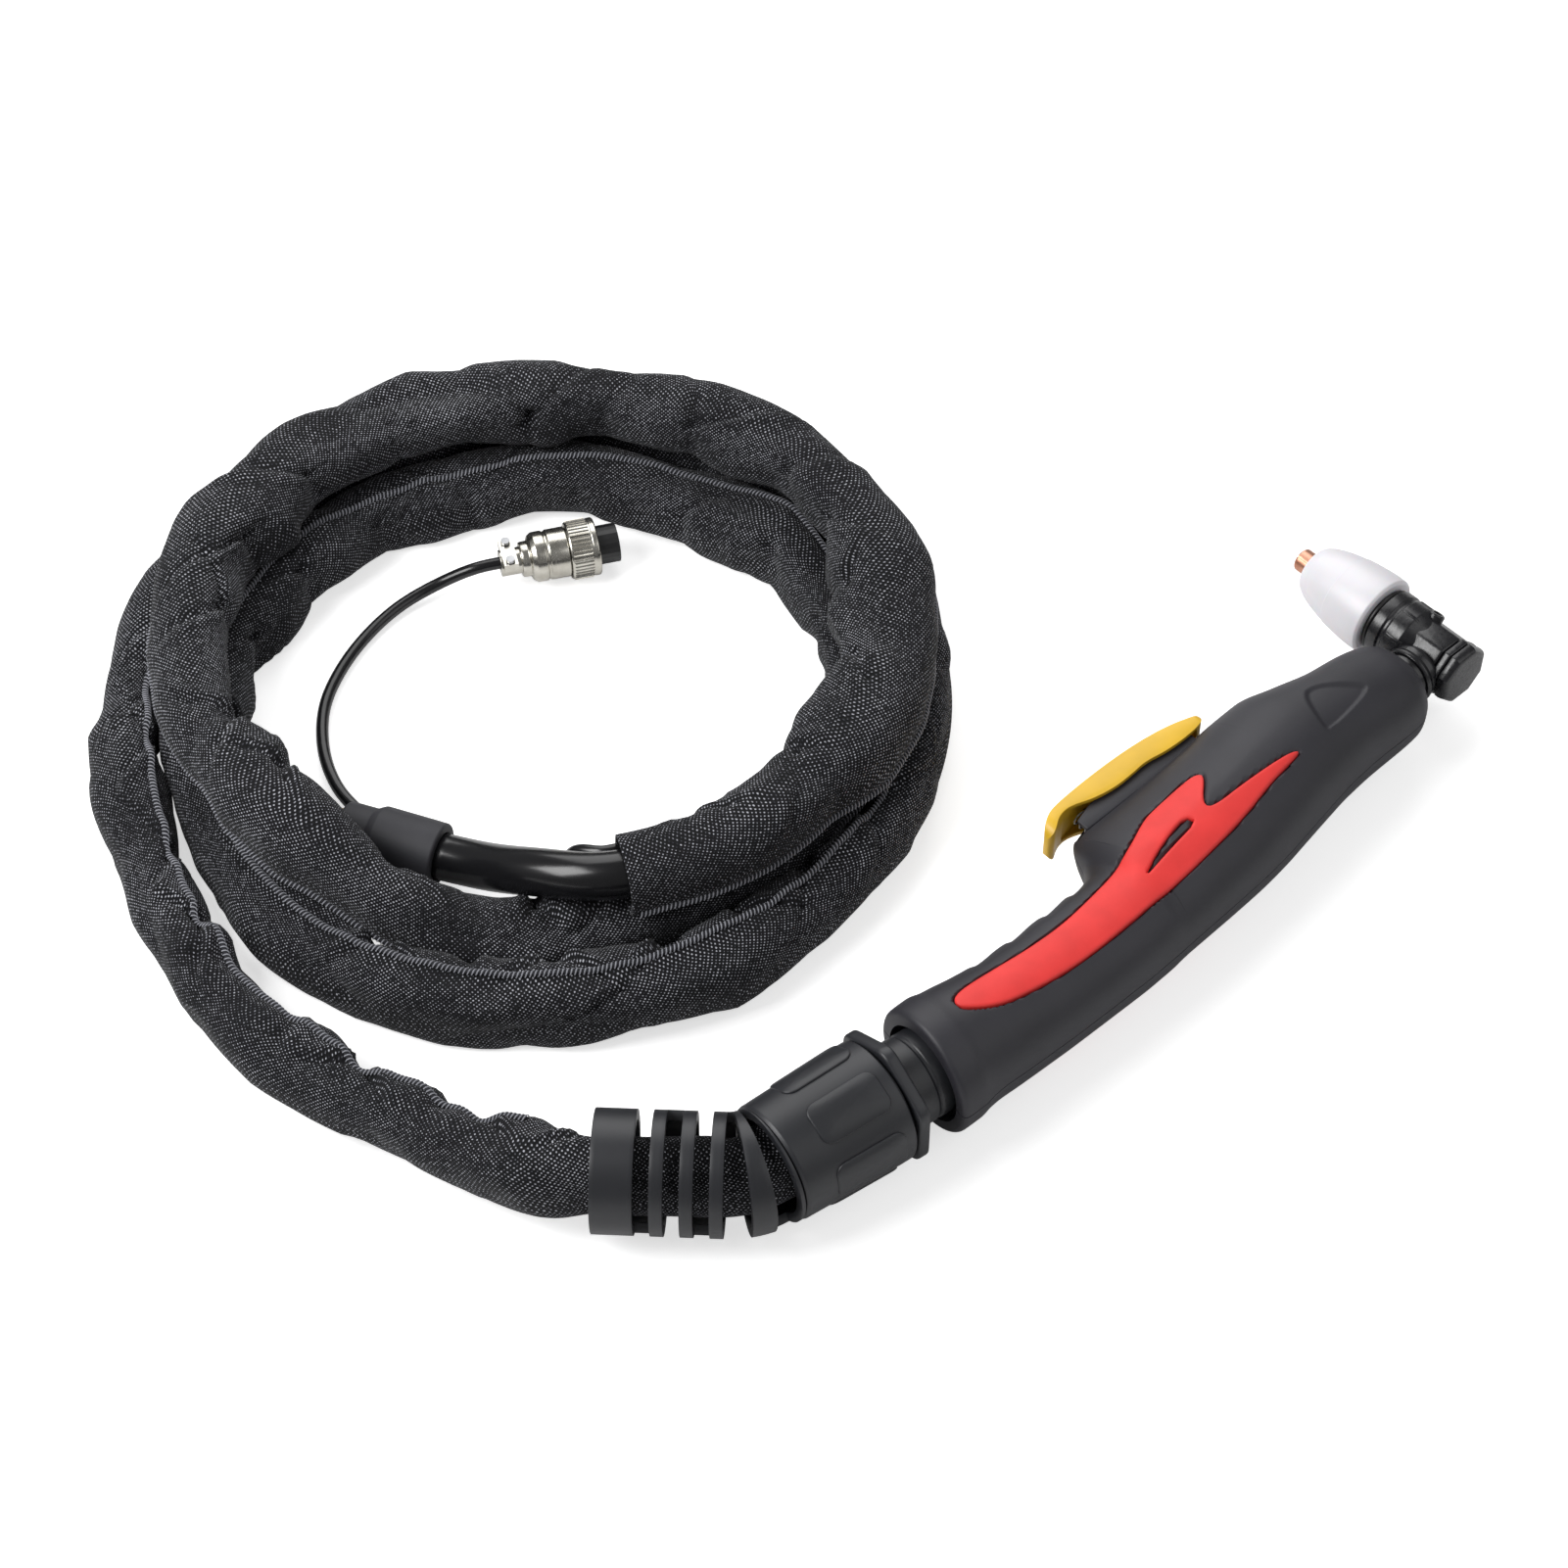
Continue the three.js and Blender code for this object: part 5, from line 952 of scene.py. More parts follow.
class TORCH_OT_lead(bpy.types.Operator):
    """Lays the control lead from the sleeve's end to its round plug"""
    bl_idname = "torch.lead"
    bl_label = "Control lead and plug"

    def execute(self, context):
        radius = context.scene.cable_settings.lead_diameter / MM / 2
        end, outward = coil_end()
        start = end + Vector((outward.y, -outward.x, 0)) * LEAD_BESIDE_HOSE
        heading = headed(PLUG_HEADING)
        route = [start - outward * 12, start, start + outward * 3.8] + LEAD_ROUTE
        route += [PLUG_START - heading * 7, PLUG_START + heading * 9]
        path = evenly(catmull(route, LEAD_STEP), LEAD_STEP)
        lead = tube_mesh("lead", path, radius, DRAWING, 16)
        dressed(lead, "cable_support", "hose", "control_lead")
        self.make_plug(context)
        return {"FINISHED"}

    def make_plug(self, context):
        place = laid_at(PLUG_START, PLUG_HEADING)
        shell = turned_piece("backshell", BACKSHELL_PROFILE, place, 72, "X", 0.25)
        dressed(shell, "cable_support", "nickel", "plug_backshell")
        return [shell, self.knurled_ring(context, place), *kept("insert", "plug_insert"),
                *kept("nickel", "cord_clamp"),
                *kept("steel", "clamp_screw_left", "clamp_screw_right"),
                *kept("brass", *(f"plug_contact_{i}" for i in range(1, 6)))]

    def knurled_ring(self, context, place):
        """The coupling ring: a turned sleeve with ridges set round it by a node tree."""
        body = turned_piece("ring_body", RING_PROFILE, place, 96, "X", 0.2)
        start, end = RING_START + 0.5, RING_END - 2.3
        ridge = mesh_piece("ridge", [
            (start, RIDGE_FOOT, -RIDGE_HALF), (start, RIDGE_FOOT, RIDGE_HALF),
            (start + 0.4, RIDGE_CREST, 0), (end, RIDGE_FOOT, -RIDGE_HALF),
            (end, RIDGE_FOOT, RIDGE_HALF), (end - 0.4, RIDGE_CREST, 0)],
            [(0, 2, 1), (3, 4, 5), (0, 3, 5, 2), (1, 2, 5, 4), (0, 1, 4, 3)],
            Matrix.Scale(MM, 4), smooth=False)
        ridges = repeated_round(
            "ridges", facing_out(ridge), context.scene.torch_settings.ring_ridges, "nickel")
        ridges.data.transform(place @ Matrix.Scale(1 / MM, 4))
        ring = crisp(joined("ring", [body, ridges]), 30)
        return dressed(ring, "plug_ring", "nickel", "coupling_ring")


def repeated_round(name, pattern, count, finish):
    """Copies of a pattern at equal angles round the X axis, made by a node tree."""
    def copies(tree, given):
        line = node(tree, "GeometryNodeMeshLine", {
            "Count": given["Count"], "Offset": (0.0, 0.0, 0.0)})
        number = node(tree, "GeometryNodeInputIndex")
        share = node(tree, "ShaderNodeMath", {0: 2 * math.pi, 1: given["Count"]},
                     operation="DIVIDE")
        angle = node(tree, "ShaderNodeMath", {0: number.outputs[0], 1: share.outputs[0]},
                     operation="MULTIPLY")
        turn = node(tree, "ShaderNodeCombineXYZ", {"X": angle.outputs[0]})
        placed = node(tree, "GeometryNodeInstanceOnPoints", {
            "Points": line.outputs["Mesh"], "Instance": given["Geometry"],
            "Rotation": turn.outputs[0]})
        return placed.outputs[0], finish

    return repeated(pattern, name, ("Count", "NodeSocketInt"), count, copies)


# ---- sleeve

CLOTH_STEP = 1.65        # mm of cloth between two rings of its mesh
CLOTH_COLUMNS = 56       # points round a ring
FLAT_WIDTH = 0.074       # metres of cloth round the sleeve
ROUND_SIDES, ROUND_TOPS = 0.78, 0.72  # powers that make the section squarer than an ellipse
OUTER_EDGE = (0.9, 46)   # reach in mm and longest run in mm of the outer edge's corners
INNER_EDGE = (1.5, 32)
EDGE_POWER, EDGE_SHARE = 1.6, 0.55
IN_RELIEF = (66, 84)     # mm along the sleeve where it comes out of the bend relief
BEFORE_MOUTH = (45, 15)  # mm before its open end where its folds flatten out
CLEAR_OF_HOSE = 0.25     # mm between the cloth and the hose, at least
LOWEST = 0.15            # mm above the surface
PIT_SPACING = (24, 48)
COARSE_FACETS = (28.0, 5, 1.5)  # mm between corners, corners round the sleeve, share of the depth
FINE_FACETS = (13.0, 9, 0.4)
SEAM_FROM, SEAM_SHORT = 92, 1.5  # mm from either end of the sleeve
SEAM_STEP, SEAM_LOWEST = 1.5, 1.5
WELT_RADIUS = 0.85
STITCH_PITCH, STITCH_RADIUS, STITCH_THREAD, STITCH_SLANT = 1.25, 0.93, 0.21, 0.34
HOSE_SAG = 1.8


def ring_noise(rng, rows, columns, round_cells, along_cells):
    """Smooth noise on a grid that closes round the tube, about -1 to 1."""
    cells = rng.uniform(-1, 1, (max(2, along_cells) + 3, round_cells))
    u = np.linspace(0, cells.shape[0] - 3.001, rows)[:, None]
    v = np.linspace(0, round_cells, columns, endpoint=False)[None, :]
    i, j = np.floor(u).astype(int), np.floor(v).astype(int)
    fu, fv = u - i, v - j
    fu, fv = fu * fu * (3 - 2 * fu), fv * fv * (3 - 2 * fv)
    j2 = (j + 1) % round_cells
    j = j % round_cells
    return ((cells[i, j] * (1 - fv) + cells[i, j2] * fv) * (1 - fu)
            + (cells[i + 1, j] * (1 - fv) + cells[i + 1, j2] * fv) * fu)


class TORCH_OT_sleeve(bpy.types.Operator):
    """Makes the denim sleeve with its creases, its sewn seam and its open end"""
    bl_idname = "torch.sleeve"
    bl_label = "Denim sleeve"

    def execute(self, context):
        settings = context.scene.cable_settings
        path = evenly(sleeve_path(), CLOTH_STEP)
        along = np.arange(len(path)) * np.linalg.norm(path[1] - path[0])
        outer, inner = self.walls(settings, path, along)
        sleeve = self.make_cloth(along, outer, inner)
        dressed(sleeve, "cable_support", "denim", "sleeve_lead_in", "sleeve_coil")
        seams = self.sew(path, along, outer)
        return {"FINISHED"}

    def walls(self, settings, path, along):
        """Points of the cloth's outer and inner face: a ring for each point of the path."""
        rng = np.random.default_rng(settings.seed)
        side, up = sleeve_frame(path)
        turn = np.linspace(0, 2 * math.pi, CLOTH_COLUMNS, endpoint=False)
        half_w = sleeve_widths(along) / 2 * settings.sleeve_width / (WIDEST * MM)
        half_h = settings.sleeve_height / MM / 2
        c, s = np.cos(turn), np.sin(turn)
        across = half_w[:, None] * signed_power(c, ROUND_SIDES)
        height = half_h * signed_power(s, ROUND_TOPS) * np.ones((len(path), 1))
        outer_edge = self.broken_line(rng, along, *OUTER_EDGE)
        inner_edge = self.broken_line(rng, along, *INNER_EDGE)
        edge = np.where(c > 0, outer_edge[:, None], inner_edge[:, None])
        edge *= signed_power(c, EDGE_POWER)
        across += edge * settings.wrinkle_depth / MM * EDGE_SHARE

        depth = self.folds(rng, along, turn, settings.wrinkle_depth / MM)
        in_relief = 1 - smoothstep(*IN_RELIEF, along)
        near_mouth = smoothstep(*(along[-1] - before for before in BEFORE_MOUTH), along)
        depth *= ((1 - 0.8 * in_relief) * (1 - 0.7 * near_mouth))[:, None]

        wall = settings.cloth_thickness / MM
        norm = np.hypot(across, height)
        cosine, sine = across / norm, height / norm
        over_hose = settings.hose_diameter / MM / 2 + wall + CLEAR_OF_HOSE
        sag = hose_sag(along, along[-1])[:, None]
        least = np.sqrt(over_hose ** 2 - (sag * cosine) ** 2) - sag * sine
        reach = np.maximum(norm - depth, least)
        faces = []
        for inset in (0, wall):
            part = (reach - inset) / norm
            face = place_round(path, side, up, across * part, height * part)
            face[..., 2] = np.maximum(face[..., 2], LOWEST + inset)
            faces.append(face)
        return faces

    def make_cloth(self, along, outer, inner):
        """The sleeve's mesh. Its lining has every second point of the outer face, each way."""
        rows, columns = outer.shape[:2]
        lining_rows = np.unique(np.append(np.arange(0, rows, 2), rows - 1))
        lining = inner[lining_rows][:, ::2]
        points = np.concatenate((outer.reshape(-1, 3), lining.reshape(-1, 3)))
        index = numbered(outer)
        after = np.roll(index, -1, axis=1)
        skin = np.stack((index[:-1], after[:-1], after[1:], index[1:]), -1).reshape(-1, 4)
        inside = numbered(lining, rows * columns)
        next_in = np.roll(inside, -1, axis=1)
        back = np.stack((inside[1:], next_in[1:], next_in[:-1], inside[:-1]), -1).reshape(-1, 4)
        mouths = []
        for row, lining_row, flip in ((0, 0, True), (rows - 1, -1, False)):
            for i in range(columns // 2):
                a, b, c = (index[row, (2 * i + k) % columns] for k in range(3))
                d, e = inside[lining_row, i], next_in[lining_row, i]
                for face in ((a, b, d), (b, c, e, d)):
                    mouths.append(face[::-1] if flip else face)
        sleeve = mesh_piece("sleeve", points, skin.tolist() + back.tolist() + mouths, DRAWING)
        row_of = np.concatenate((
            np.repeat(np.arange(rows), columns), np.repeat(lining_rows, columns // 2)))
        column_of = np.concatenate((
            np.tile(np.arange(columns), rows),
            np.tile(np.arange(0, columns, 2), len(lining_rows))))
        self.map_cloth(sleeve, along, columns, row_of, column_of)
        return facing_out(sleeve, merge=False)

    def folds(self, rng, along, turn, crease_depth):
        """How far the cloth is drawn in at each place, in mm. Where the sleeve bends, its inner
        side gathers into pits with a bulge between them, and two sharp folds run from each pit
        over the top. A net of flat facets lies over them."""
        def away_from(middle):
            return (turn[None, :] - middle + math.pi) % (2 * math.pi) - math.pi

        rows, columns = len(along), len(turn)
        pits = [-20.0]
        while pits[-1] < along[-1]:
            pits.append(pits[-1] + rng.uniform(*PIT_SPACING))
        depth = np.zeros((rows, columns))
        inner_side = np.exp(-(away_from(math.pi) / 0.7) ** 2)
        for before, at in zip(pits, pits[1:]):
            share = np.clip((along - before) / (at - before), 0, 1)[:, None]
            inside = ((along >= before) & (along < at))[:, None]
            bulge = 0.86 - np.abs(np.sin(math.pi * share)) ** 0.6
            depth += inside * bulge * crease_depth * inner_side
        for at in pits[1:]:
            strength = crease_depth * rng.uniform(0.5, 1.3)
            start = rng.uniform(2.2, 2.7)
            pinch = rng.choice((0.35, 0.35, 1.1))
            past = along[:, None] - at
            hole = np.exp(-(past / 3.2) ** 2 - (away_from(start) / 0.3) ** 2)
            depth += pinch * strength * hole
            for sign in (-1, 1):
                if rng.uniform() < 0.25:
                    continue
                slope = sign * rng.uniform(4, 22)
                finish = rng.uniform(0.0, 1.4)
                gone = (start - turn[None, :]) / (start - finish)
                fade = np.where((gone > -0.1) & (gone < 1), 1 - np.clip(gone, 0, 1) ** 1.5, 0)
                from_line = past - slope * (start - turn[None, :])
                valley = np.exp(-np.abs(from_line) / rng.uniform(1.0, 1.8))
                valley -= 0.5 * np.exp(-((from_line - 4 * sign) / 2.6) ** 2)
                depth += strength * 0.8 * fade * valley
        for pitch, around, share in (COARSE_FACETS, FINE_FACETS):
            depth += self.facets(rng, along, turn, pitch, around, share * crease_depth)
        depth += 0.06 * ring_noise(rng, rows, columns, 12, int(along[-1] / 7))
        sideways = 0.35 + 0.65 * np.abs(np.cos(turn))[None, :] ** 0.5
        return np.where(depth < 0, depth * sideways, depth)

    def broken_line(self, rng, along, reach, longest):
        """Straight runs that meet at corners, from inside to outside an even edge."""
        knots = [-10.0]
        while knots[-1] < along[-1] + 10:
            knots.append(knots[-1] + rng.uniform(0.38, 1) * longest)
        values = rng.uniform(-0.8, 0.65, len(knots)) * reach
        return np.interp(along, knots, values)

    def facets(self, rng, along, turn, pitch, around, reach):
        """Flat facets that meet in sharp creases, as woven cloth breaks when it bends: a random net
        of triangles over the cloth, with a height at each of its corners."""
        rows, columns = len(along), len(turn)
        count = int(along[-1] / pitch) + 3
        places, heights = [], []
        for i in range(count):
            for j in range(around):
                u = (i - 1 + rng.uniform(-0.42, 0.42) + 0.5 * (j % 2)) * pitch
                v = (j + rng.uniform(-0.4, 0.4)) * columns / around
                height = rng.uniform(-0.55, 0.6) * reach
                for shift in (-columns, 0, columns):
                    places.append(Vector((u / along[1], v + shift)))
                    heights.append(height)
        net = delaunay_2d_cdt(places, [], [], 0, 1e-4)
        corners = np.array([tuple(p) for p in net[0]])
        levels = np.array([heights[origin[0]] for origin in net[3]])
        field = np.zeros((rows, columns))
        for face in net[2]:
            a, b, c = corners[list(face)]
            low = np.maximum(np.ceil(np.min((a, b, c), axis=0)), 0).astype(int)
            high = np.floor(np.max((a, b, c), axis=0)).astype(int) + 1
            u, v = np.meshgrid(np.arange(low[0], min(high[0], rows)),
                               np.arange(low[1], min(high[1], columns)), indexing="ij")
            area = (b[0] - a[0]) * (c[1] - a[1]) - (c[0] - a[0]) * (b[1] - a[1])
            if u.size == 0 or abs(area) < 1e-9:
                continue
            of_b = ((u - a[0]) * (c[1] - a[1]) - (c[0] - a[0]) * (v - a[1])) / area
            of_c = ((b[0] - a[0]) * (v - a[1]) - (u - a[0]) * (b[1] - a[1])) / area
            inside = (of_b >= -1e-6) & (of_c >= -1e-6) & (of_b + of_c <= 1 + 1e-6)
            at_a, at_b, at_c = levels[list(face)]
            plane = at_a + of_b * (at_b - at_a) + of_c * (at_c - at_a)
            field[u[inside], v[inside]] = plane[inside]
        return field

    def sew(self, path, along, outer):
        """The sleeve's one long seam: a rolled edge bound with slanting overlock stitches. It lies
        on the cloth and turns slowly round the sleeve, from the inner edge of the lead-in over the
        lower turns to the outer edge of the top turn."""
        columns = outer.shape[1]
        end = along[-1]
        chosen = np.flatnonzero((along >= SEAM_FROM) & (along <= end - SEAM_SHORT))
        stations = (SEAM_FROM, lead_in_length() * 0.8, end - 1300, end - 900, end - 640, end)
        degrees = (128, 128, 100, 88, -20, -20)
        place = np.interp(along[chosen], stations, degrees) / 360 * columns
        low = np.floor(place).astype(int)
        part = (place - low)[:, None]
        lies_on = (outer[chosen, low % columns] * (1 - part)
                   + outer[chosen, (low + 1) % columns] * part)
        line = lies_on + 0.4 * unit(lies_on - path[chosen])
        weights = np.hanning(9)[1:-1]
        weights /= weights.sum()
        ends = [np.repeat(point, 3, axis=0) for point in (line[:1], line[-1:])]
        padded = np.concatenate((ends[0], line, ends[1]))
        line = np.stack([np.convolve(padded[:, i], weights, "valid") for i in range(3)], 1)
        line = evenly(line, SEAM_STEP)
        line[:, 2] = np.maximum(line[:, 2], SEAM_LOWEST)
        welt = tube_mesh("welt", line, WELT_RADIUS, DRAWING, 10)
        stitches = self.overlock("stitches", line)
        return [dressed(welt, "cable_support", "welt"),
                dressed(stitches, "cable_support", "thread")]

    def overlock(self, name, line):
        """Slanting stitches wrapped round a line and set along it by a node tree."""
        points = evenly(line, STITCH_PITCH)
        tangent = unit(np.gradient(points, axis=0))
        curve = mesh_piece(f"{name}_line", points, [], DRAWING)
        heading = curve.data.attributes.new("heading", "FLOAT_VECTOR", "POINT")
        heading.data.foreach_set("vector", tangent.astype(np.float32).ravel())
        arc = np.array([
            (STITCH_SLANT * t, STITCH_RADIUS * math.sin(t), STITCH_RADIUS * math.cos(t))
            for t in np.linspace(-1.9, 1.9, 7)])
        stitch = tube_mesh(f"{name}_one", arc, STITCH_THREAD, Matrix.Scale(MM, 4), 4)

        def copies(tree, given):
            shape = node(tree, "GeometryNodeObjectInfo", {"Object": given["Stitch"]})
            direction = node(tree, "GeometryNodeInputNamedAttribute", {"Name": "heading"},
                             data_type="FLOAT_VECTOR")
            turned_to = node(tree, "FunctionNodeAlignRotationToVector", {
                "Vector": direction.outputs["Attribute"]}, axis="X", pivot_axis="Z")
            placed = node(tree, "GeometryNodeInstanceOnPoints", {
                "Points": given["Geometry"], "Instance": shape.outputs["Geometry"],
                "Rotation": turned_to.outputs[0]})
            return placed.outputs[0], "thread"

        made = repeated(curve, name, ("Stitch", "NodeSocketObject"), stitch, copies)
        made.name = name
        bpy.data.objects.remove(stitch)
        return made

    def map_cloth(self, obj, along, columns, row_of, column_of):
        """UV map in metres of cloth along and round the sleeve."""
        uv = obj.data.uv_layers.new(name="cloth")

        def listed(items, name):
            values = np.empty(len(items), int)
            items.foreach_get(name, values)
            return values

        loops = listed(obj.data.loops, "vertex_index")
        starts = listed(obj.data.polygons, "loop_start")
        totals = listed(obj.data.polygons, "loop_total")
        row, column = row_of[loops], column_of[loops]
        face = np.repeat(np.arange(len(starts)), totals)
        highest = np.maximum.reduceat(column, starts)[face]
        column = np.where((highest >= columns - 2) & (column == 0), columns, column)
        values = np.stack((along[row] * MM, column / columns * FLAT_WIDTH), 1)
        uv.data.foreach_set("uv", values.astype(np.float32).ravel())


def hose_sag(along, length):
    """How far the hose lies below the sleeve's middle, in mm, because it rests on its bottom."""
    return HOSE_SAG * smoothstep(95, 150, along) * (1 - smoothstep(length - 70, length - 12, along))


def sleeve_frame(path):
    """Directions to the left of the path and up from it, at each point."""
    tangent = unit(np.gradient(path, axis=0))
    side = unit(np.stack((-tangent[:, 1], tangent[:, 0], np.zeros(len(path))), 1))
    return side, np.cross(tangent, side)


def place_round(path, side, up, across, height):
    """Points at these distances to the side of the path and above it."""
    return path[:, None] + across[..., None] * side[:, None] + height[..., None] * up[:, None]


def sleeve_widths(along):
    """Width of the laid sleeve at each length from its start, in mm."""
    start = lead_in_length()
    passed = start + passed_by(coil_path())
    turns = np.interp(along, passed, np.arange(COIL_STEPS + 1) * COIL_TURNS / COIL_STEPS)
    entries = (len(LEAD_IN_WIDTHS) - 1) / start
    return np.array([from_table(LEAD_IN_WIDTHS, passed_mm * entries) if passed_mm < start
                     else from_table(COIL_WIDTHS, turn * 8)
                     for passed_mm, turn in zip(along, turns)])


# ---- handle

# Sections of the handle: x, top, bottom, half thickness, and the share by which the top narrows.
HANDLE_STATIONS = np.array([
    (-2.8, 18.9, -18.9, 18.9, 0), (-0.2, 19.1, -19.1, 19.1, 0), (4.6, 19, -19.2, 18.9, 0),
    (8.6, 18, -18.6, 18.2, 0), (12, 17.4, -18.4, 17.9, 0), (20, 15.9, -18.8, 17.3, 0),
    (28, 14.9, -19.1, 16.9, 0), (40, 14.4, -19.5, 16.3, 0), (54, 14.2, -19.6, 16, 0),
    (66, 14.2, -19.6, 16.2, 0), (74, 15, -19.3, 16.6, 0.1), (79, 19, -19.1, 17, 0.3),
    (82, 25.2, -18.9, 17.2, 0.42), (85, 28.8, -18.7, 17.4, 0.48), (90, 29.6, -18.4, 17.7, 0.46),
    (104, 29.4, -17.6, 18.4, 0.38), (118, 29.8, -16.6, 18.9, 0.3), (130, 30.3, -15.1, 19.2, 0.24),
    (141, 31.4, -13.2, 19.2, 0.16), (152, 31.6, -11.3, 19, 0.1), (163, 28.7, -9.6, 18.4, 0.05),
    (176, 25.3, -8.7, 17.2, 0), (187, 24.3, -8.6, 16, 0), (194, 22.8, -8.1, 15.2, 0),
    (198, 20.8, -6.4, 13.8, 0), (200, 17.9, -4, 11.6, 0)])
SQUARENESS = 2.3     # power of the handle's sections: 2 is an ellipse
ROUND_END = 60       # mm over which the rear end turns into a round, level with the swivel
SHELL_WALL = 2.8
PARTING = 0.15       # half of the gap between the shells
SHELL_COLUMNS, LINING_COLUMNS = 104, 25
REAR, FRONT, STATION_STEP = -2.8, 200.0, 0.62
LINED_FROM, LINED_TO = 12, 187
# Bores through the ends of the shells: from x, to x, radius, height of the middle.
SHELL_BORES = (
    (-3, 2.51, 14.9, 0), (2.51, 6.01, 13.2, 0), (6.01, 12.01, 15.0, 0), (187.01, 201, 7.7, 7.5))
EXTRA_STATIONS = (
    2.5, 2.52, 6, 6.02, 12, 12.02, 187, 187.02, -2.65, -2.4, -2.0, 199.4, 200)
SHELL_CRISP = 50
LIP_RADIUS = 1.6
FINGER_NOTCHES = (27.7, 41.2, 54.9, 65.6)
NOTCH_DEPTH = 1.15
POCKET_DEPTH, RECESS_DEPTH = 1.35, 0.85
SLOT_START, SLOT_END, SLOT_HALF = 84.5, 141.0, 4.2
RIDGE_OUTER = 5.7
RIDGE_OUTLINE = [
    (88.6, 27.2), (88.6, 31.6), (95, 33.5), (106.6, 34.6), (117.9, 35.2), (126.9, 35.2),
    (134, 34.2), (136.6, 33.6), (136.6, 28)]

GRIP_OUTLINE = [
    (147, 0.2), (143, 1.6), (126, 2.2), (112.2, 2.2), (111.2, 5), (119.8, 12.2), (119.4, 14.4),
    (116.4, 15.4), (100, 14.4), (95.5, 13.2), (86, 9), (76, 6), (64, 4), (52, 2.8), (39, 3.2),
    (29, 4.2), (19, 5), (13, 4.4), (10.6, 2.4), (11.4, -1), (19, -5.6), (28, -7.8), (45, -9.6),
    (59, -9.6), (74, -9.2), (89, -8.3), (107, -6.8), (120, -5), (133, -2.1), (144.5, -0.6)]
GRIP_WINDOW = [(103.8, 5), (105.8, 1.8), (93, 0.2), (79.6, -2), (90, 2), (97.5, 4)]
RECESS_OUTLINE = [(163, 14.6), (169.5, 15), (180, 6.8), (181, 3), (160.4, -0.2), (158.2, 1.6)]


def handle_measures(x):
    """Top, bottom, half thickness and upper narrowing of the handle at each x."""
    keys = HANDLE_STATIONS[:, 0]
    return [monotone(keys, HANDLE_STATIONS[:, k], x) for k in range(1, 5)]


def rear_share(x):
    """How far the round rear end shapes the section at each x, from 1 at the rear to 0."""
    return np.clip(1 - x / ROUND_END, 0, 1)


def section_power(x):
    return 2 / (SQUARENESS - (SQUARENESS - 2) * rear_share(x))


def handle_grid(x, angles, inset=0.0):
    """Points of the handle's face: one row for each x, one column for each angle in that row."""
    top, bottom, half, narrowing = (v[:, None] for v in handle_measures(x))
    x = np.asarray(x, float)[:, None]
    power = section_power(x)
    up, out = np.sin(angles), np.cos(angles)
    y = (top + bottom) / 2 + ((top - bottom) / 2 - inset) * signed_power(up, power)
    z = (half - inset) * signed_power(out, power) * (1 - narrowing * np.maximum(0, up))
    return np.stack((x + y * math.tan(TAIL_TILT) * rear_share(x), y, z), -1)


def handle_face(x, y):
    """Height of the handle's side face above the middle plane at points (x, y)."""
    station = np.asarray(x, float)
    for _ in range(3):
        station = x - y * math.tan(TAIL_TILT) * rear_share(station)
    top, bottom, half, narrowing = handle_measures(station)
    power = section_power(station)
    part = np.clip((y - (top + bottom) / 2) / ((top - bottom) / 2), -1, 1)
    up = signed_power(part, 1 / power)
    out = np.sqrt(np.maximum(0, 1 - up ** 2))
    return half * out ** power * (1 - narrowing * np.maximum(0, up))


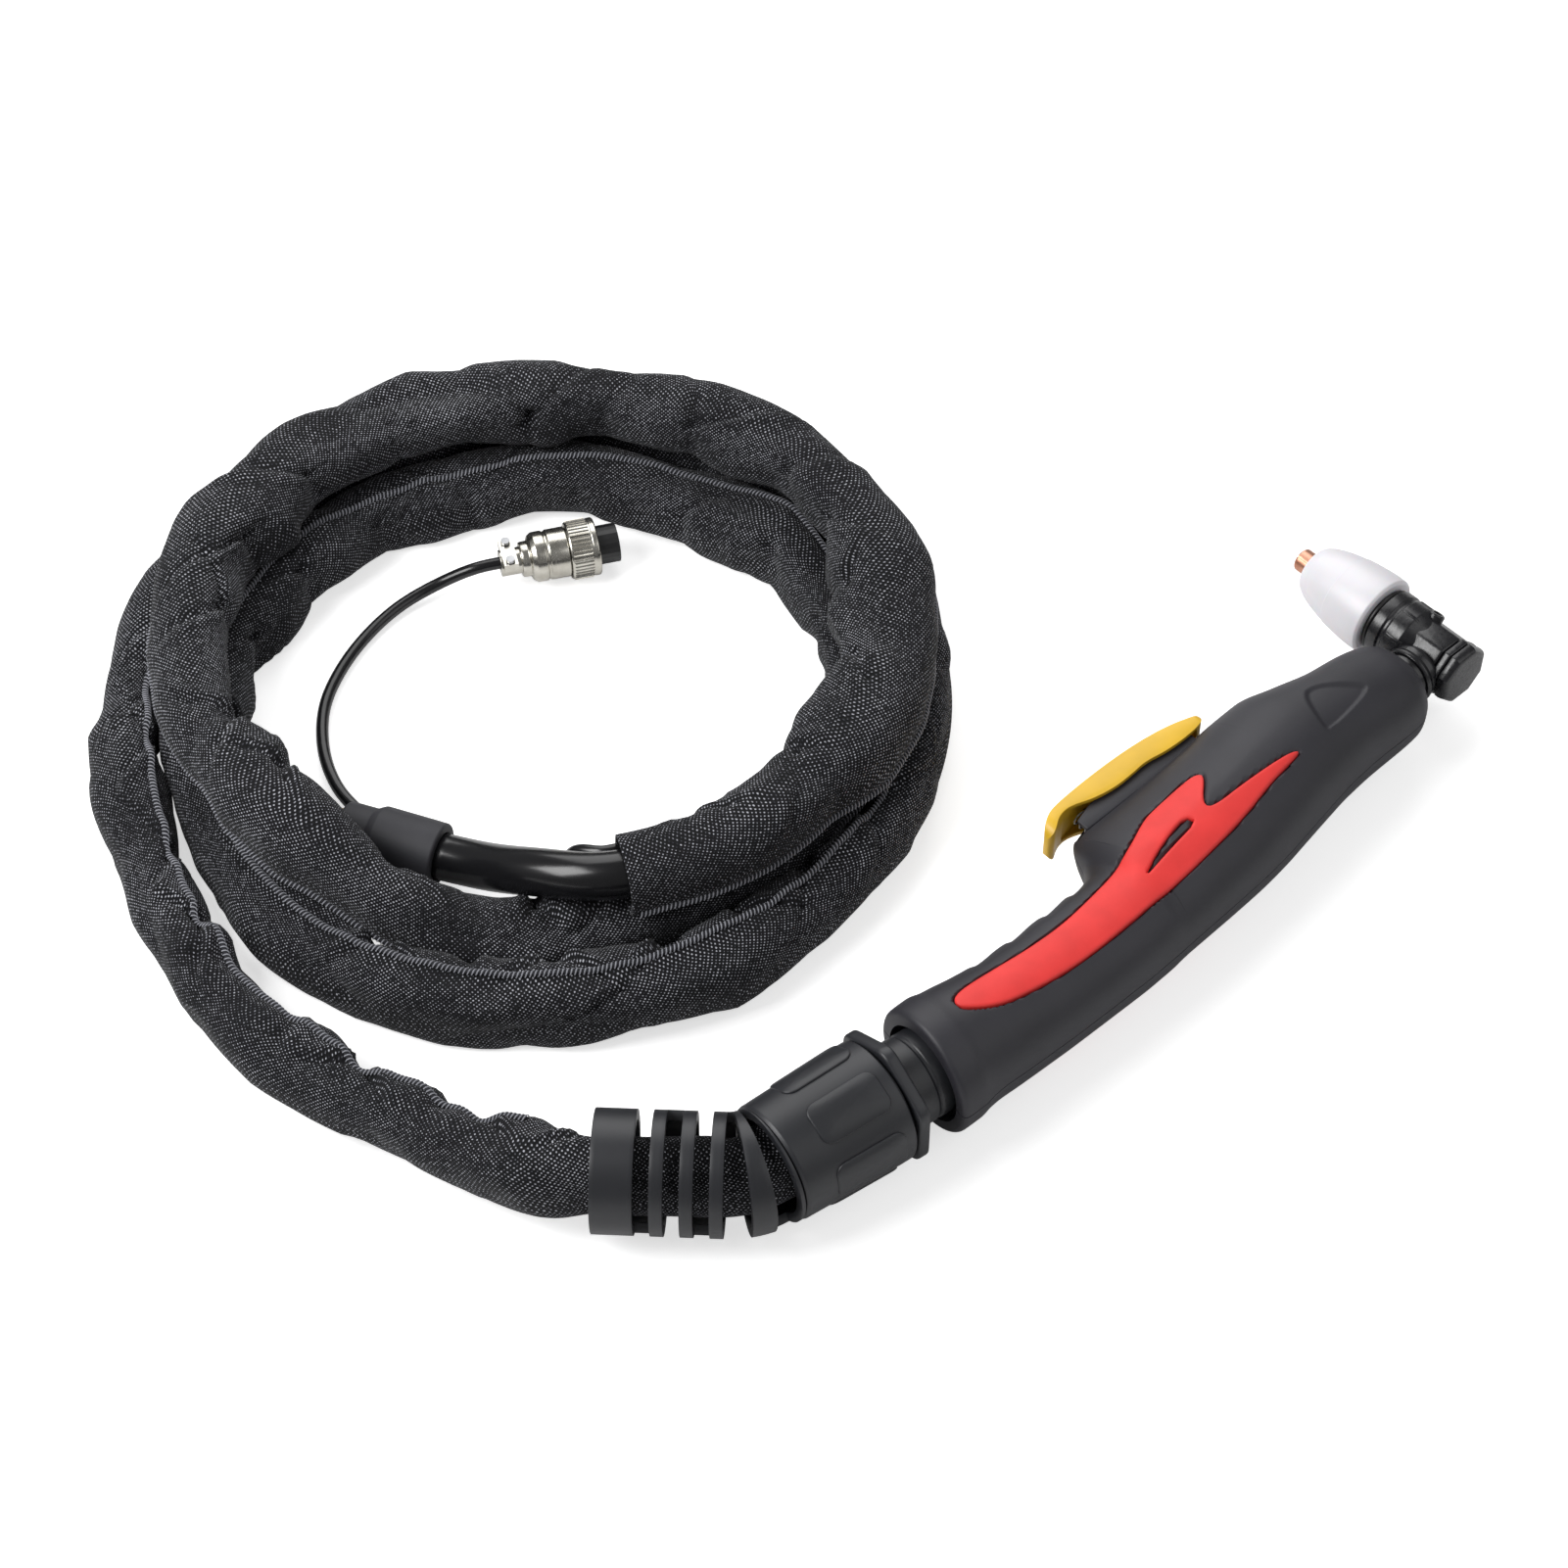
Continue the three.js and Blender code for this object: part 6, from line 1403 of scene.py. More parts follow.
class TORCH_OT_handle(bpy.types.Operator):
    """Makes the two handle shells with their grip pockets, finger notches and blank recess"""
    bl_idname = "torch.handle"
    bl_label = "Handle shells"

    def execute(self, context):
        for name, facing in (("shell_upper", 1), ("shell_lower", -1)):
            dressed(self.make_shell(name, facing), "handle", "shell", f"handle_{name}")
        kept("steel", *(f"shell_screw_{i}" for i in range(1, 6)))
        return {"FINISHED"}

    def stations(self):
        """The x of each row of points: even, with pairs close together where the shape steps."""
        slot = (SLOT_START, SLOT_START + 0.02, SLOT_END - 0.02, SLOT_END)
        even = np.arange(REAR, FRONT + 0.01, STATION_STEP)
        return np.unique(np.concatenate((even, slot, EXTRA_STATIONS)))

    def make_shell(self, name, facing):
        x = self.stations()
        half, narrowing = handle_measures(x)[2:]
        in_slot = (x > SLOT_START + 0.01) & (x < SLOT_END - 0.01)
        power = section_power(x)
        edge = np.where(in_slot, SLOT_HALF, PARTING)
        first = np.arccos(np.clip(PARTING / half, 0, 1) ** (1 / power))
        reach = np.clip(edge / (half * (1 - narrowing)), 0, 0.999)
        last = np.arccos(reach ** (1 / power))

        def swept(columns):
            share = np.linspace(0, 1, columns)[None, :]
            return -first[:, None] + share * (first + last)[:, None]

        grid = handle_grid(x, swept(SHELL_COLUMNS))
        inner = self.lining(x, swept(LINING_COLUMNS))
        for face in (grid, inner):
            face[:, 0, 2] = PARTING
            face[:, -1, 2] = edge
        self.round_rear_lip(grid, x)
        self.notch_fingers(grid)
        self.press_pockets(grid)
        obj = self.shell_mesh(name, grid, inner, facing)
        low, high = sorted((facing * SLOT_HALF, facing * RIDGE_OUTER))
        ridge = bevelled(prism("ridge", RIDGE_OUTLINE, low, high, HANDLE), 0.5)
        return crisp(joined(name, [obj, ridge]), SHELL_CRISP)

    def lining(self, x, angles):
        """Points of the shell's inner face, with the round bores at its ends."""
        inside = np.clip(x, LINED_FROM, LINED_TO)
        inner = handle_grid(inside, angles, SHELL_WALL)
        inner[..., 0] += (x - inside)[:, None]
        for low, high, radius, middle in SHELL_BORES:
            here = (x >= low) & (x < high)
            y = middle + radius * np.sin(angles[here])
            inner[here] = np.stack((
                x[here, None] + y * math.tan(TAIL_TILT) * rear_share(x[here, None]), y,
                radius * np.cos(angles[here])), -1)
        return inner

    def shell_mesh(self, name, grid, inner, facing):
        """Outer and inner face of a shell with the edges between them."""
        points = np.concatenate((grid.reshape(-1, 3), inner.reshape(-1, 3)))
        points[:, 2] *= facing
        index = numbered(grid)
        inside = numbered(inner, index.size)
        faces = quads(index).tolist()
        faces += quads(inside)[:, (0, 3, 2, 1)].tolist()
        for side in (0, -1):
            faces += [(index[row, side], inside[row, side],
                       inside[row + 1, side], index[row + 1, side])
                      for row in range(len(index) - 1)]
        for row in (0, -1):
            faces += self.end_face(index[row], inside[row])
        return facing_out(mesh_piece(name, points, faces, HANDLE))

    def end_face(self, outside, inside):
        """Triangles between the outer and the inner edge of an end."""
        faces = []
        ratio = (len(outside) - 1) / (len(inside) - 1)
        at = 0
        for i in range(len(inside) - 1):
            until = round((i + 1) * ratio)
            for j in range(at, until):
                faces.append((inside[i], outside[j], outside[j + 1]))
            faces.append((inside[i], outside[until], inside[i + 1]))
            at = until
        return faces

    def round_rear_lip(self, grid, x):
        """Rounds the outer edge of the rear end."""
        near = np.clip(LIP_RADIUS - (x - REAR), 0, LIP_RADIUS)
        pull = LIP_RADIUS - np.sqrt(LIP_RADIUS ** 2 - near ** 2)
        size = np.hypot(grid[..., 1], grid[..., 2])
        scale = (size - pull[:, None]) / np.maximum(size, 1e-6)
        grid[..., 1] *= scale
        grid[..., 2] *= scale

    def notch_fingers(self, grid):
        """Four steps for the fingers along the upper edge."""
        along = grid[..., 0]
        near_top = smoothstep(6.5, 11.0, grid[..., 1])
        for at in FINGER_NOTCHES:
            step = smoothstep(at - 1.6, at, along) * (1 - smoothstep(at, at + 10.5, along))
            grid[..., 1] -= NOTCH_DEPTH * step * near_top * smoothstep(15, 5, np.abs(grid[..., 2]))

    def press_pockets(self, grid):
        """Sinks the pocket for the grip and the blank recess into the side face."""
        flat = grid.reshape(-1, 3)
        side = np.abs(flat[:, 2]) > 4
        plane = flat[side, :2]
        flat[side, 2] -= POCKET_DEPTH * (1 - smoothstep(0.2, 0.6, to_grip(plane)))
        to_recess = signed_distance(plane, softened(RECESS_OUTLINE, 3))
        flat[side, 2] -= RECESS_DEPTH * (1 - smoothstep(-0.95, 0.1, to_recess))


def to_grip(points):
    """Distance of each point to the grip's edge or its window's, negative on the grip."""
    return np.maximum(signed_distance(points, softened(GRIP_OUTLINE)),
                      -signed_distance(points, softened(GRIP_WINDOW, 1)))


GRIP_EDGE_STEP, GRIP_GRID_STEP = 0.8, 1.4
GRIP_INSETS = (0.14, 0.32, 0.6, 1.1)  # mm inside its edge where rows of points follow it
GRIP_ROUND, GRIP_DROP, GRIP_THICK = 0.6, 0.5, 1.2


class TORCH_OT_grip(bpy.types.Operator):
    """Makes the soft grip inlays on both sides of the handle"""
    bl_idname = "torch.grip"
    bl_label = "Grip inlays"

    def execute(self, context):
        proud = context.scene.torch_settings.grip_proud / MM
        for name, facing in (("upper", 1), ("lower", -1)):
            grip = self.make_inlay(f"grip_{name}", facing, proud)
            dressed(grip, "handle", "grip", f"grip_panel_{name}")
        return {"FINISHED"}

    def net(self):
        """Points and triangles over the grip's outline, closer together towards its edge."""
        outline = softened(GRIP_OUTLINE)
        places = []
        edges = []
        for ring in (outline, softened(GRIP_WINDOW, 1)):
            start = len(places)
            closed = np.column_stack((np.vstack((ring, ring[:1])), np.zeros(len(ring) + 1)))
            ring = evenly(closed, GRIP_EDGE_STEP)[:-1, :2]
            edges += [(start + i, start + (i + 1) % len(ring)) for i in range(len(ring))]
            places += [tuple(p) for p in ring]
            along = unit(np.roll(ring, -1, axis=0) - np.roll(ring, 1, axis=0))
            normal = np.stack((-along[:, 1], along[:, 0]), 1)
            normal *= np.where(to_grip(ring + normal * 0.2) < 0, 1, -1)[:, None]
            for inset in GRIP_INSETS:
                moved = ring + normal * inset
                good = np.abs(to_grip(moved) + inset) < 0.35 * inset
                places += [tuple(p) for p in moved[good]]
        low, high = outline.min(0), outline.max(0)
        lines = (np.arange(low[axis], high[axis], GRIP_GRID_STEP) for axis in (0, 1))
        grid = np.stack(np.meshgrid(*lines), -1).reshape(-1, 2)
        places += [tuple(p) for p in grid[to_grip(grid) < -1.6]]
        flat, _, triangles, *_ = delaunay_2d_cdt([Vector(p) for p in places], edges, [], 0, 1e-4)
        flat = np.array([tuple(p) for p in flat])
        middles = np.array([flat[list(t)].mean(0) for t in triangles])
        return flat, [t for t, d in zip(triangles, to_grip(middles)) if d < 0]

    def make_inlay(self, name, facing, proud):
        flat, triangles = self.net()
        edge = np.clip(1 + np.minimum(0, to_grip(flat)) / GRIP_ROUND, 0, 1)
        height = handle_face(flat[:, 0], flat[:, 1]) + proud - GRIP_DROP * edge ** 2
        levels = (height, height - GRIP_THICK)
        points = np.vstack([np.column_stack((flat, level)) for level in levels])
        points[:, 2] *= facing
        count = len(flat)
        faces = [tuple(t) for t in triangles]
        faces += [tuple(v + count for v in reversed(t)) for t in triangles]
        sides = {side: None for t in triangles for side in zip(t, t[1:] + t[:1])}
        faces += [(b, a, a + count, b + count) for a, b in sides if (b, a) not in sides]
        return crisp(facing_out(mesh_piece(name, points, faces, HANDLE)), 60)


# ---- trigger

TRIGGER_OUTER = [
    (78.6, 33), (78.6, 34.4), (79.6, 35.9), (82.9, 37.8), (86.4, 38.8), (95, 39.5), (106.6, 39.9),
    (117.9, 39.7), (126.9, 38.9), (134.2, 37.6), (139.6, 36), (142.9, 34.8)]
TRIGGER_INNER = [
    (142.4, 33.4), (140.2, 32), (132.6, 31.4), (124.7, 31.7), (118.2, 32.9), (111.9, 32.3),
    (104.9, 32), (96.9, 33.2), (91.1, 35.4), (87.6, 35.8), (84.4, 34.9), (81.8, 33.2), (80.2, 32.4)]
TRIGGER_HOLLOW = [
    (87, 20), (87, 36.2), (95, 37), (106.6, 37.4), (117.9, 37.2), (126.9, 36.4), (136, 34.8),
    (139, 33.8), (139, 20)]
BLADE_FRONT, BLADE_REAR, BLADE_HALF = 143.2, 78.3, 7.5
FRONT_CORNER, REAR_CORNER = 2.6, 5.6
HOLLOW_HALF = 6.2
PIVOT = (134.0, 24.0)
PIVOT_HOLE, EAR_RADIUS, EAR_HALF, EAR_TOP = 1.65, 3.6, 3.8, 36
STEM_OUTLINE = [(103.5, 24.6), (110.5, 24.6), (110.5, 38), (103.5, 38)]
STEM_HALF = 2.8
SPRING_X, SPRING_LOW, SPRING_HIGH = 94, 22.75, 36.0
SPRING_RADIUS, SPRING_WIRE, SPRING_TURNS, TURN_STEPS = 2.6, 0.35, 6, 24


class TORCH_OT_trigger(bpy.types.Operator):
    """Makes the trigger lever and finishes the switch pieces under it"""
    bl_idname = "torch.trigger"
    bl_label = "Trigger and switch"

    def execute(self, context):
        rounding = context.scene.torch_settings.edge_round / MM
        lever = joined("trigger_lever", [
            self.make_blade(rounding), bevelled(self.make_ear(), 0.4),
            bevelled(prism("stem", STEM_OUTLINE, -STEM_HALF, STEM_HALF, HANDLE), 0.4)])
        dressed(crisp(lever, 45), "trigger_lever", "trigger", "trigger")
        kept("steel", "trigger_pin")
        kept("insert", "microswitch")
        kept("grip", "switch_plunger")
        self.make_spring()
        return {"FINISHED"}

    def make_blade(self, rounding):
        """The lever's blade: its side view, cut to its outline from outside and hollowed."""
        side_view = softened(TRIGGER_OUTER + TRIGGER_INNER, 2)
        blade = prism("blade", side_view, -BLADE_HALF - 0.5, BLADE_HALF + 0.5, HANDLE)
        bevelled(carved(blade, [self.blade_plan()], "INTERSECT"), rounding)
        return carved(blade, [prism("hollow", TRIGGER_HOLLOW, -HOLLOW_HALF, HOLLOW_HALF, HANDLE)])

    def blade_plan(self):
        """The lever seen from outside: a long tongue, rounder at its rear end."""
        outline = []
        for quarter, (x, side, radius) in enumerate((
                (BLADE_FRONT - FRONT_CORNER, 1, FRONT_CORNER),
                (BLADE_REAR + REAR_CORNER, 1, REAR_CORNER),
                (BLADE_REAR + REAR_CORNER, -1, REAR_CORNER),
                (BLADE_FRONT - FRONT_CORNER, -1, FRONT_CORNER))):
            z = side * (BLADE_HALF - radius)
            outline += [(x + radius * math.cos(angle), z + radius * math.sin(angle))
                        for angle in (math.pi / 2 * (quarter + step / 8) for step in range(9))]
        across = HANDLE @ Matrix.Rotation(math.pi / 2, 4, "X")
        return prism("plan", outline, -60, -10, across)

    def make_ear(self):
        """The ear under the blade, with the hole for the pivot pin."""
        x, y = PIVOT
        outline = [(x + EAR_RADIUS * math.cos(angle), y + EAR_RADIUS * math.sin(angle))
                   for angle in np.linspace(math.pi, 2 * math.pi, 17)]
        outline += [(x + EAR_RADIUS, EAR_TOP), (x - EAR_RADIUS, EAR_TOP)]
        pin = HANDLE @ Matrix.Translation((x, y, 0)) @ Matrix.Rotation(math.pi / 2, 4, "Y")
        hole = turned_piece(
            "hole", [(-10, 0), (-10, PIVOT_HOLE), (10, PIVOT_HOLE), (10, 0)], pin, 24, "X", 0)
        return carved(prism("ear", outline, -EAR_HALF, EAR_HALF, HANDLE), [hole])

    def make_spring(self):
        """The return spring on the shell's rib."""
        steps = SPRING_TURNS * TURN_STEPS
        path = []
        for i in range(steps + 1):
            angle = 2 * math.pi * i / TURN_STEPS
            path.append((SPRING_X + SPRING_RADIUS * math.cos(angle),
                         SPRING_LOW + (SPRING_HIGH - SPRING_LOW) * i / steps,
                         SPRING_RADIUS * math.sin(angle)))
        spring = tube_mesh("spring", path, SPRING_WIRE, HANDLE, 10)
        dressed(spring, "handle", "steel", "trigger_spring")
        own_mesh(spring)


# ---- head

# Turned profiles: mm along the head, radius.
CUP = [
    (28.1, 9.5), (28.1, 12.0), (28.9, 12.9), (32, 12.95), (35, 12.8), (39, 12.4), (42.6, 11.95),
    (42.85, 11.72), (43.1, 11.72), (47, 10.9), (50, 10.1), (53, 9.0), (55, 7.9), (56.0, 6.9),
    (56.3, 6.2), (56.3, 4.4), (50.9, 4.4), (46.8, 7.9), (42.3, 7.9), (40.3, 9.5)]
CUP_RING = [(26.3, 9.5), (26.3, 10.0), (26.7, 10.4), (27.4, 10.4), (27.8, 10.0), (27.8, 9.5)]
TIP = [
    (42.6, 3.4), (42.6, 7.6), (45.6, 7.6), (49.9, 3.75), (61.0, 3.75), (61.6, 3.2), (61.6, 0.6),
    (58.6, 0.6), (56.6, 2.0), (53.6, 3.1)]
TIP_SLIT = [(-0.32, 56.9), (0.32, 56.9), (0.32, 64), (-0.32, 64)]
SLIT_TURN = math.radians(-38)
COLLAR = [
    (10.5, 0), (10.5, 8.4), (13.2, 9.6), (15.4, 10.8), (20.6, 10.8), (21.0, 10.3), (22.0, 10.3),
    (22.4, 10.8), (26, 10.8), (26, 9.2), (33, 9.2), (33, 6.4), (20, 6.4), (20, 0)]
BOSS = [(5, 0), (5, 2.6), (10.6, 2.6), (11.0, 2.2), (11.0, 1.4), (9.6, 1.4), (9.6, 0)]
BOSS_PLACE = (
    HEAD @ Matrix.Translation((0, 13.6, 0)) @ Matrix.Rotation(math.radians(-52), 4, "Y"))
STUD = [(-1.2, 0), (-1.2, 5.6), (4.4, 5.6), (4.4, 0)]
# The same along the handle, for the tube between handle and head.
HEAD_NECK = [
    (162, 0), (162, 7.4), (203.6, 7.4), (206.2, 8.3), (208.4, 8.6), (209.6, 8.3), (212, 0)]
SADDLE = [(204.4, 7.2), (204.4, 8.6), (205.4, 9.1), (206.6, 8.7), (207.4, 7.6)]
NECK_HEIGHT = 7.5
RIB_OUTLINE = [(10.1, 14.0), (11.05, 15.6), (11.05, 20.2), (10.1, 20.8)]
RIB_HALF = 0.55
RIB_TURNS = (20, 62, 104, 146, 214, 262, 310)
# Octagons of the head and its rear cap: height, width across flats.
BLOCK_WIDE, BLOCK_LOW, BLOCK_HIGH = 17.6, -13.5, -2.2
REAR_WIDE, REAR_LOW, REAR_HIGH = 18.4, -1.7, 0.6
CAP_RINGS = (
    (0.95, 18.2), (1.2, 18.4), (2.4, 18.5), (3.3, 18.1), (4.0, 17.2), (4.4, 15.8), (4.5, 14.4))
ALONG_HEAD = HEAD @ Matrix.Rotation(math.pi / 2, 4, "X")


def octagon(across):
    """Corners of an octagon from its width across flats."""
    radius = across / 2 / math.cos(math.pi / 8)
    turns = [math.pi / 4 * (i + 0.5) for i in range(8)]
    return [(radius * math.cos(turn), radius * math.sin(turn)) for turn in turns]


class TORCH_OT_head(bpy.types.Operator):
    """Makes the pressed head, its rear cap and the consumables at its front"""
    bl_idname = "torch.head"
    bl_label = "Head and consumables"

    def execute(self, context):
        self.make_body()
        self.make_cap()
        ring = turned_piece("o_ring", CUP_RING, HEAD)
        dressed(ring, "handle", "o_ring", "cup_o_ring")
        cup = turned_piece("cup", CUP, HEAD, 128, corner=0.35)
        dressed(cup, "handle", "ceramic", "shield_cup")
        tip = turned_piece("tip", TIP, HEAD, 72, corner=0.25)
        slit = prism("slit", TIP_SLIT, 2.9, 5, HEAD @ Matrix.Rotation(SLIT_TURN, 4, "Y"))
        dressed(crisp(carved(tip, [slit]), TURNED_CRISP), "handle", "copper", "cutting_tip")
        kept("copper", "electrode")
        kept("ceramic", "swirl_ring")
        kept("brass", "hose_ferrule")
        kept("boot", "hose_in_handle", "switch_lead", "hose_in_support", "lead_in_support")
        return {"FINISHED"}

    def make_body(self):
        block = prism("block", octagon(BLOCK_WIDE), BLOCK_LOW, BLOCK_HIGH, ALONG_HEAD)
        rear = prism("rear_flange", octagon(REAR_WIDE), REAR_LOW, REAR_HIGH, ALONG_HEAD)
        neck_place = HANDLE @ Matrix.Translation((0, NECK_HEIGHT, 0))
        pieces = [
            bevelled(block, 0.9), bevelled(rear, 0.5), turned_piece("collar", COLLAR, HEAD),
            turned_piece("neck", HEAD_NECK, neck_place, 72, "X", 0.5),
            turned_piece("saddle", SADDLE, neck_place, 72, "X"),
            turned_piece("boss", BOSS, BOSS_PLACE, 32, "X", 0.2)]
        for i, turn in enumerate(np.radians(RIB_TURNS)):
            place = HEAD @ Matrix.Rotation(turn, 4, "Y")
            rib = prism(f"rib_{i}", RIB_OUTLINE, -RIB_HALF, RIB_HALF, place)
            pieces.append(bevelled(rib, 0.25))
        dressed(crisp(joined("head", pieces), 40), "handle", "phenolic", "head_body")

    def make_cap(self):
        points = [(x, z, y) for y, across in CAP_RINGS for x, z in octagon(across)]
        last = len(points) - 8
        faces = [tuple(reversed(range(8))), tuple(range(last, last + 8))]
        faces += ring_sides(8, len(CAP_RINGS))
        cap = facing_out(mesh_piece("cap_shell", points, faces, ALONG_HEAD, smooth=False))
        bevelled(cap, 0.8, 30, 4)
        whole = joined("rear_cap_piece", [cap, turned_piece("stud", STUD, HEAD, 48, corner=0.2)])
        dressed(crisp(whole, 40), "handle", "phenolic", "rear_cap")


# ---- cable support

# Turned profiles: mm along the swivel axis, radius.
SWIVEL_NECK = [
    (-24, 10.4), (-24, 12.9), (-6.4, 12.9), (-6.0, 12.6), (-5.2, 12.6), (-4.8, 12.9), (6.3, 12.9),
    (6.3, 14.4), (9.3, 14.4), (9.3, 10.4)]
FLANGE_BORE = [(-20, 0), (-20, 13.2), (0, 13.2), (0, 0)]
NUT = [
    (-17.4, 13.2), (-17.4, 16.7), (-17.9, 16.7), (-17.9, 17.6), (-18.5, 18.3), (-22.4, 18.3),
    (-53.0, 17.35), (-54.0, 16.6), (-54.0, 15.0), (-20.9, 15.0), (-20.9, 13.2)]
FLANGE_LOW, FLANGE_HIGH, FLANGE_CORNER = -17.1, -13.2, 5.3
REST_TURN = math.pi / 18     # half of the facet on which the solid flange rests
PADS, FIRST_PAD = 6, math.radians(52)
PAD_LENGTH, PAD_WIDTH, PAD_CORNER, PAD_PROUD, PAD_MIDDLE = 22.5, 12.5, 3.2, 0.6, -33
# Rings of a pad, from its foot in the nut to its middle: share of its size, height.
PAD_RINGS = (
    (1.0, -0.6), (1.0, PAD_PROUD - 0.35), (0.985, PAD_PROUD - 0.1), (0.96, PAD_PROUD),
    (0.5, PAD_PROUD), (0.05, PAD_PROUD))
PAD_WRAP = 18                # radius on which a pad's width is measured
# The nut narrows from its full radius at NUT_FULL by NUT_TAPER over NUT_RUN.
NUT_RADIUS, NUT_FULL, NUT_TAPER, NUT_RUN = 18.3, -22.4, 0.95, 30.6
RELIEF_SIDES, RELIEF_CELL = 120, 1.2
RELIEF_BORE, SPIGOT, RELIEF_RADIUS = 14.2, 14.7, 17.0
SPIGOT_START, SPIGOT_END = -7.0, 0.3
SLOTS_CUT, BAND, FIRST_BAND, LAST_BAND, COLLAR_LENGTH = 5, 3.6, 0.6, 7.8, 6.5
WEB = math.radians(76)


class TORCH_OT_support(bpy.types.Operator):
    """Makes the swivel neck, the lock flange, the barrel nut and the slotted bend relief"""
    bl_idname = "torch.support"
    bl_label = "Cable support"

    def execute(self, context):
        neck = turned_piece("neck_swivel", SWIVEL_NECK, AXIS, about="X")
        dressed(neck, "cable_support", "support", "swivel_neck")
        self.make_flange()
        self.make_nut()
        self.make_relief()
        return {"FINISHED"}

    def make_flange(self):
        """A rounded hexagon that stands on one of its corners."""
        centre = MID_HEIGHT - FLANGE_CORNER * math.cos(REST_TURN)
        corners = []
        for middle in (math.pi / 3 * i for i in range(6)):
            for step in np.linspace(-1, 1, 13):
                angle = middle + step * math.pi / 6
                corners.append((
                    centre * math.cos(middle) + FLANGE_CORNER * math.cos(angle),
                    centre * math.sin(middle) + FLANGE_CORNER * math.sin(angle)))
        place = AXIS @ Matrix.Rotation(math.pi / 2, 4, "Y")
        flange = bevelled(prism("flange", corners, FLANGE_LOW, FLANGE_HIGH, place), 0.9, 50)
        carved(flange, [turned_piece("bore", FLANGE_BORE, AXIS, about="X", corner=0)])
        dressed(crisp(flange, 40), "cable_support", "support", "lock_flange")

    def make_nut(self):
        pieces = [turned_piece("nut_shell", NUT, AXIS, 128, "X")]
        pieces += [self.make_pad(i, FIRST_PAD + math.pi * 2 * i / PADS) for i in range(PADS)]
        dressed(crisp(joined("nut", pieces), 40), "cable_support", "support", "barrel_nut")

    def make_pad(self, number, turn):
        """A raised grip pad with rounded corners, wrapped round the nut."""
        outline = []
        for quarter, (cx, cy) in enumerate(((1, 1), (-1, 1), (-1, -1), (1, -1))):
            for angle in (math.pi / 2 * (quarter + step / 6) for step in range(7)):
                outline.append((
                    cx * (PAD_LENGTH / 2 - PAD_CORNER) + PAD_CORNER * math.cos(angle),
                    cy * (PAD_WIDTH / 2 - PAD_CORNER) + PAD_CORNER * math.sin(angle)))
        points = []
        for scale, raised in PAD_RINGS:
            for x, y in outline:
                along = PAD_MIDDLE + x * scale
                radius = NUT_RADIUS - NUT_TAPER * (NUT_FULL - along) / NUT_RUN + raised
                angle = turn + y * scale / PAD_WRAP
                points.append((along, radius * math.cos(angle), radius * math.sin(angle)))
        count = len(outline)
        faces = [tuple(range(count)), tuple(range(len(points) - count, len(points)))]
        faces += ring_sides(count, len(PAD_RINGS))
        return facing_out(mesh_piece(f"pad_{number}", points, faces, AXIS))

    def relief_rows(self):
        """Where the relief's rows of points lie, and its slots: start, end, turn of the web."""
        pitch = (RELIEF_LENGTH - LAST_BAND - SPIGOT_END) / SLOTS_CUT
        cuts = [SPIGOT_START, 0.0, SPIGOT_END, RELIEF_LENGTH - COLLAR_LENGTH, RELIEF_LENGTH]
        slots = []
        for slot in range(SLOTS_CUT):
            start = SPIGOT_END + slot * pitch + (FIRST_BAND if slot == 0 else 0)
            end = SPIGOT_END + (slot + 1) * pitch - BAND
            slots.append((start, end, -math.pi / 2 if slot % 2 == 0 else math.pi))
            cuts += [start, end]
        cuts = sorted(set(cuts))
        rows = [cuts[0]]
        for a, b in zip(cuts, cuts[1:]):
            count = max(1, round((b - a) / RELIEF_CELL))
            rows += [a + (b - a) * (i + 1) / count for i in range(count)]
        return rows, slots

    def make_relief(self):
        """The bend relief: a sleeve of bands that stay joined by webs on alternate sides, drawn
        straight as cells of a grid and then bent round its centre line."""
        along, slots = self.relief_rows()
        rows = len(along) - 1
        angle = [2 * math.pi * i / RELIEF_SIDES for i in range(RELIEF_SIDES)]

        def filled(row, column):
            middle = (along[row] + along[row + 1]) / 2
            turn = angle[column] + math.pi / RELIEF_SIDES
            for start, end, at in slots:
                if start < middle < end:
                    away = (turn - at + math.pi) % (2 * math.pi) - math.pi
                    return abs(away) < WEB / 2
            return True

        bm = bmesh.new()
        made = {}

        def vertex(row, column, radius):
            column %= RELIEF_SIDES
            key = (row, column, radius)
            if key not in made:
                side, up = radius * math.cos(angle[column]), radius * math.sin(angle[column])
                made[key] = bm.verts.new(relief_point(along[row], side, MID_HEIGHT + up))
            return made[key]

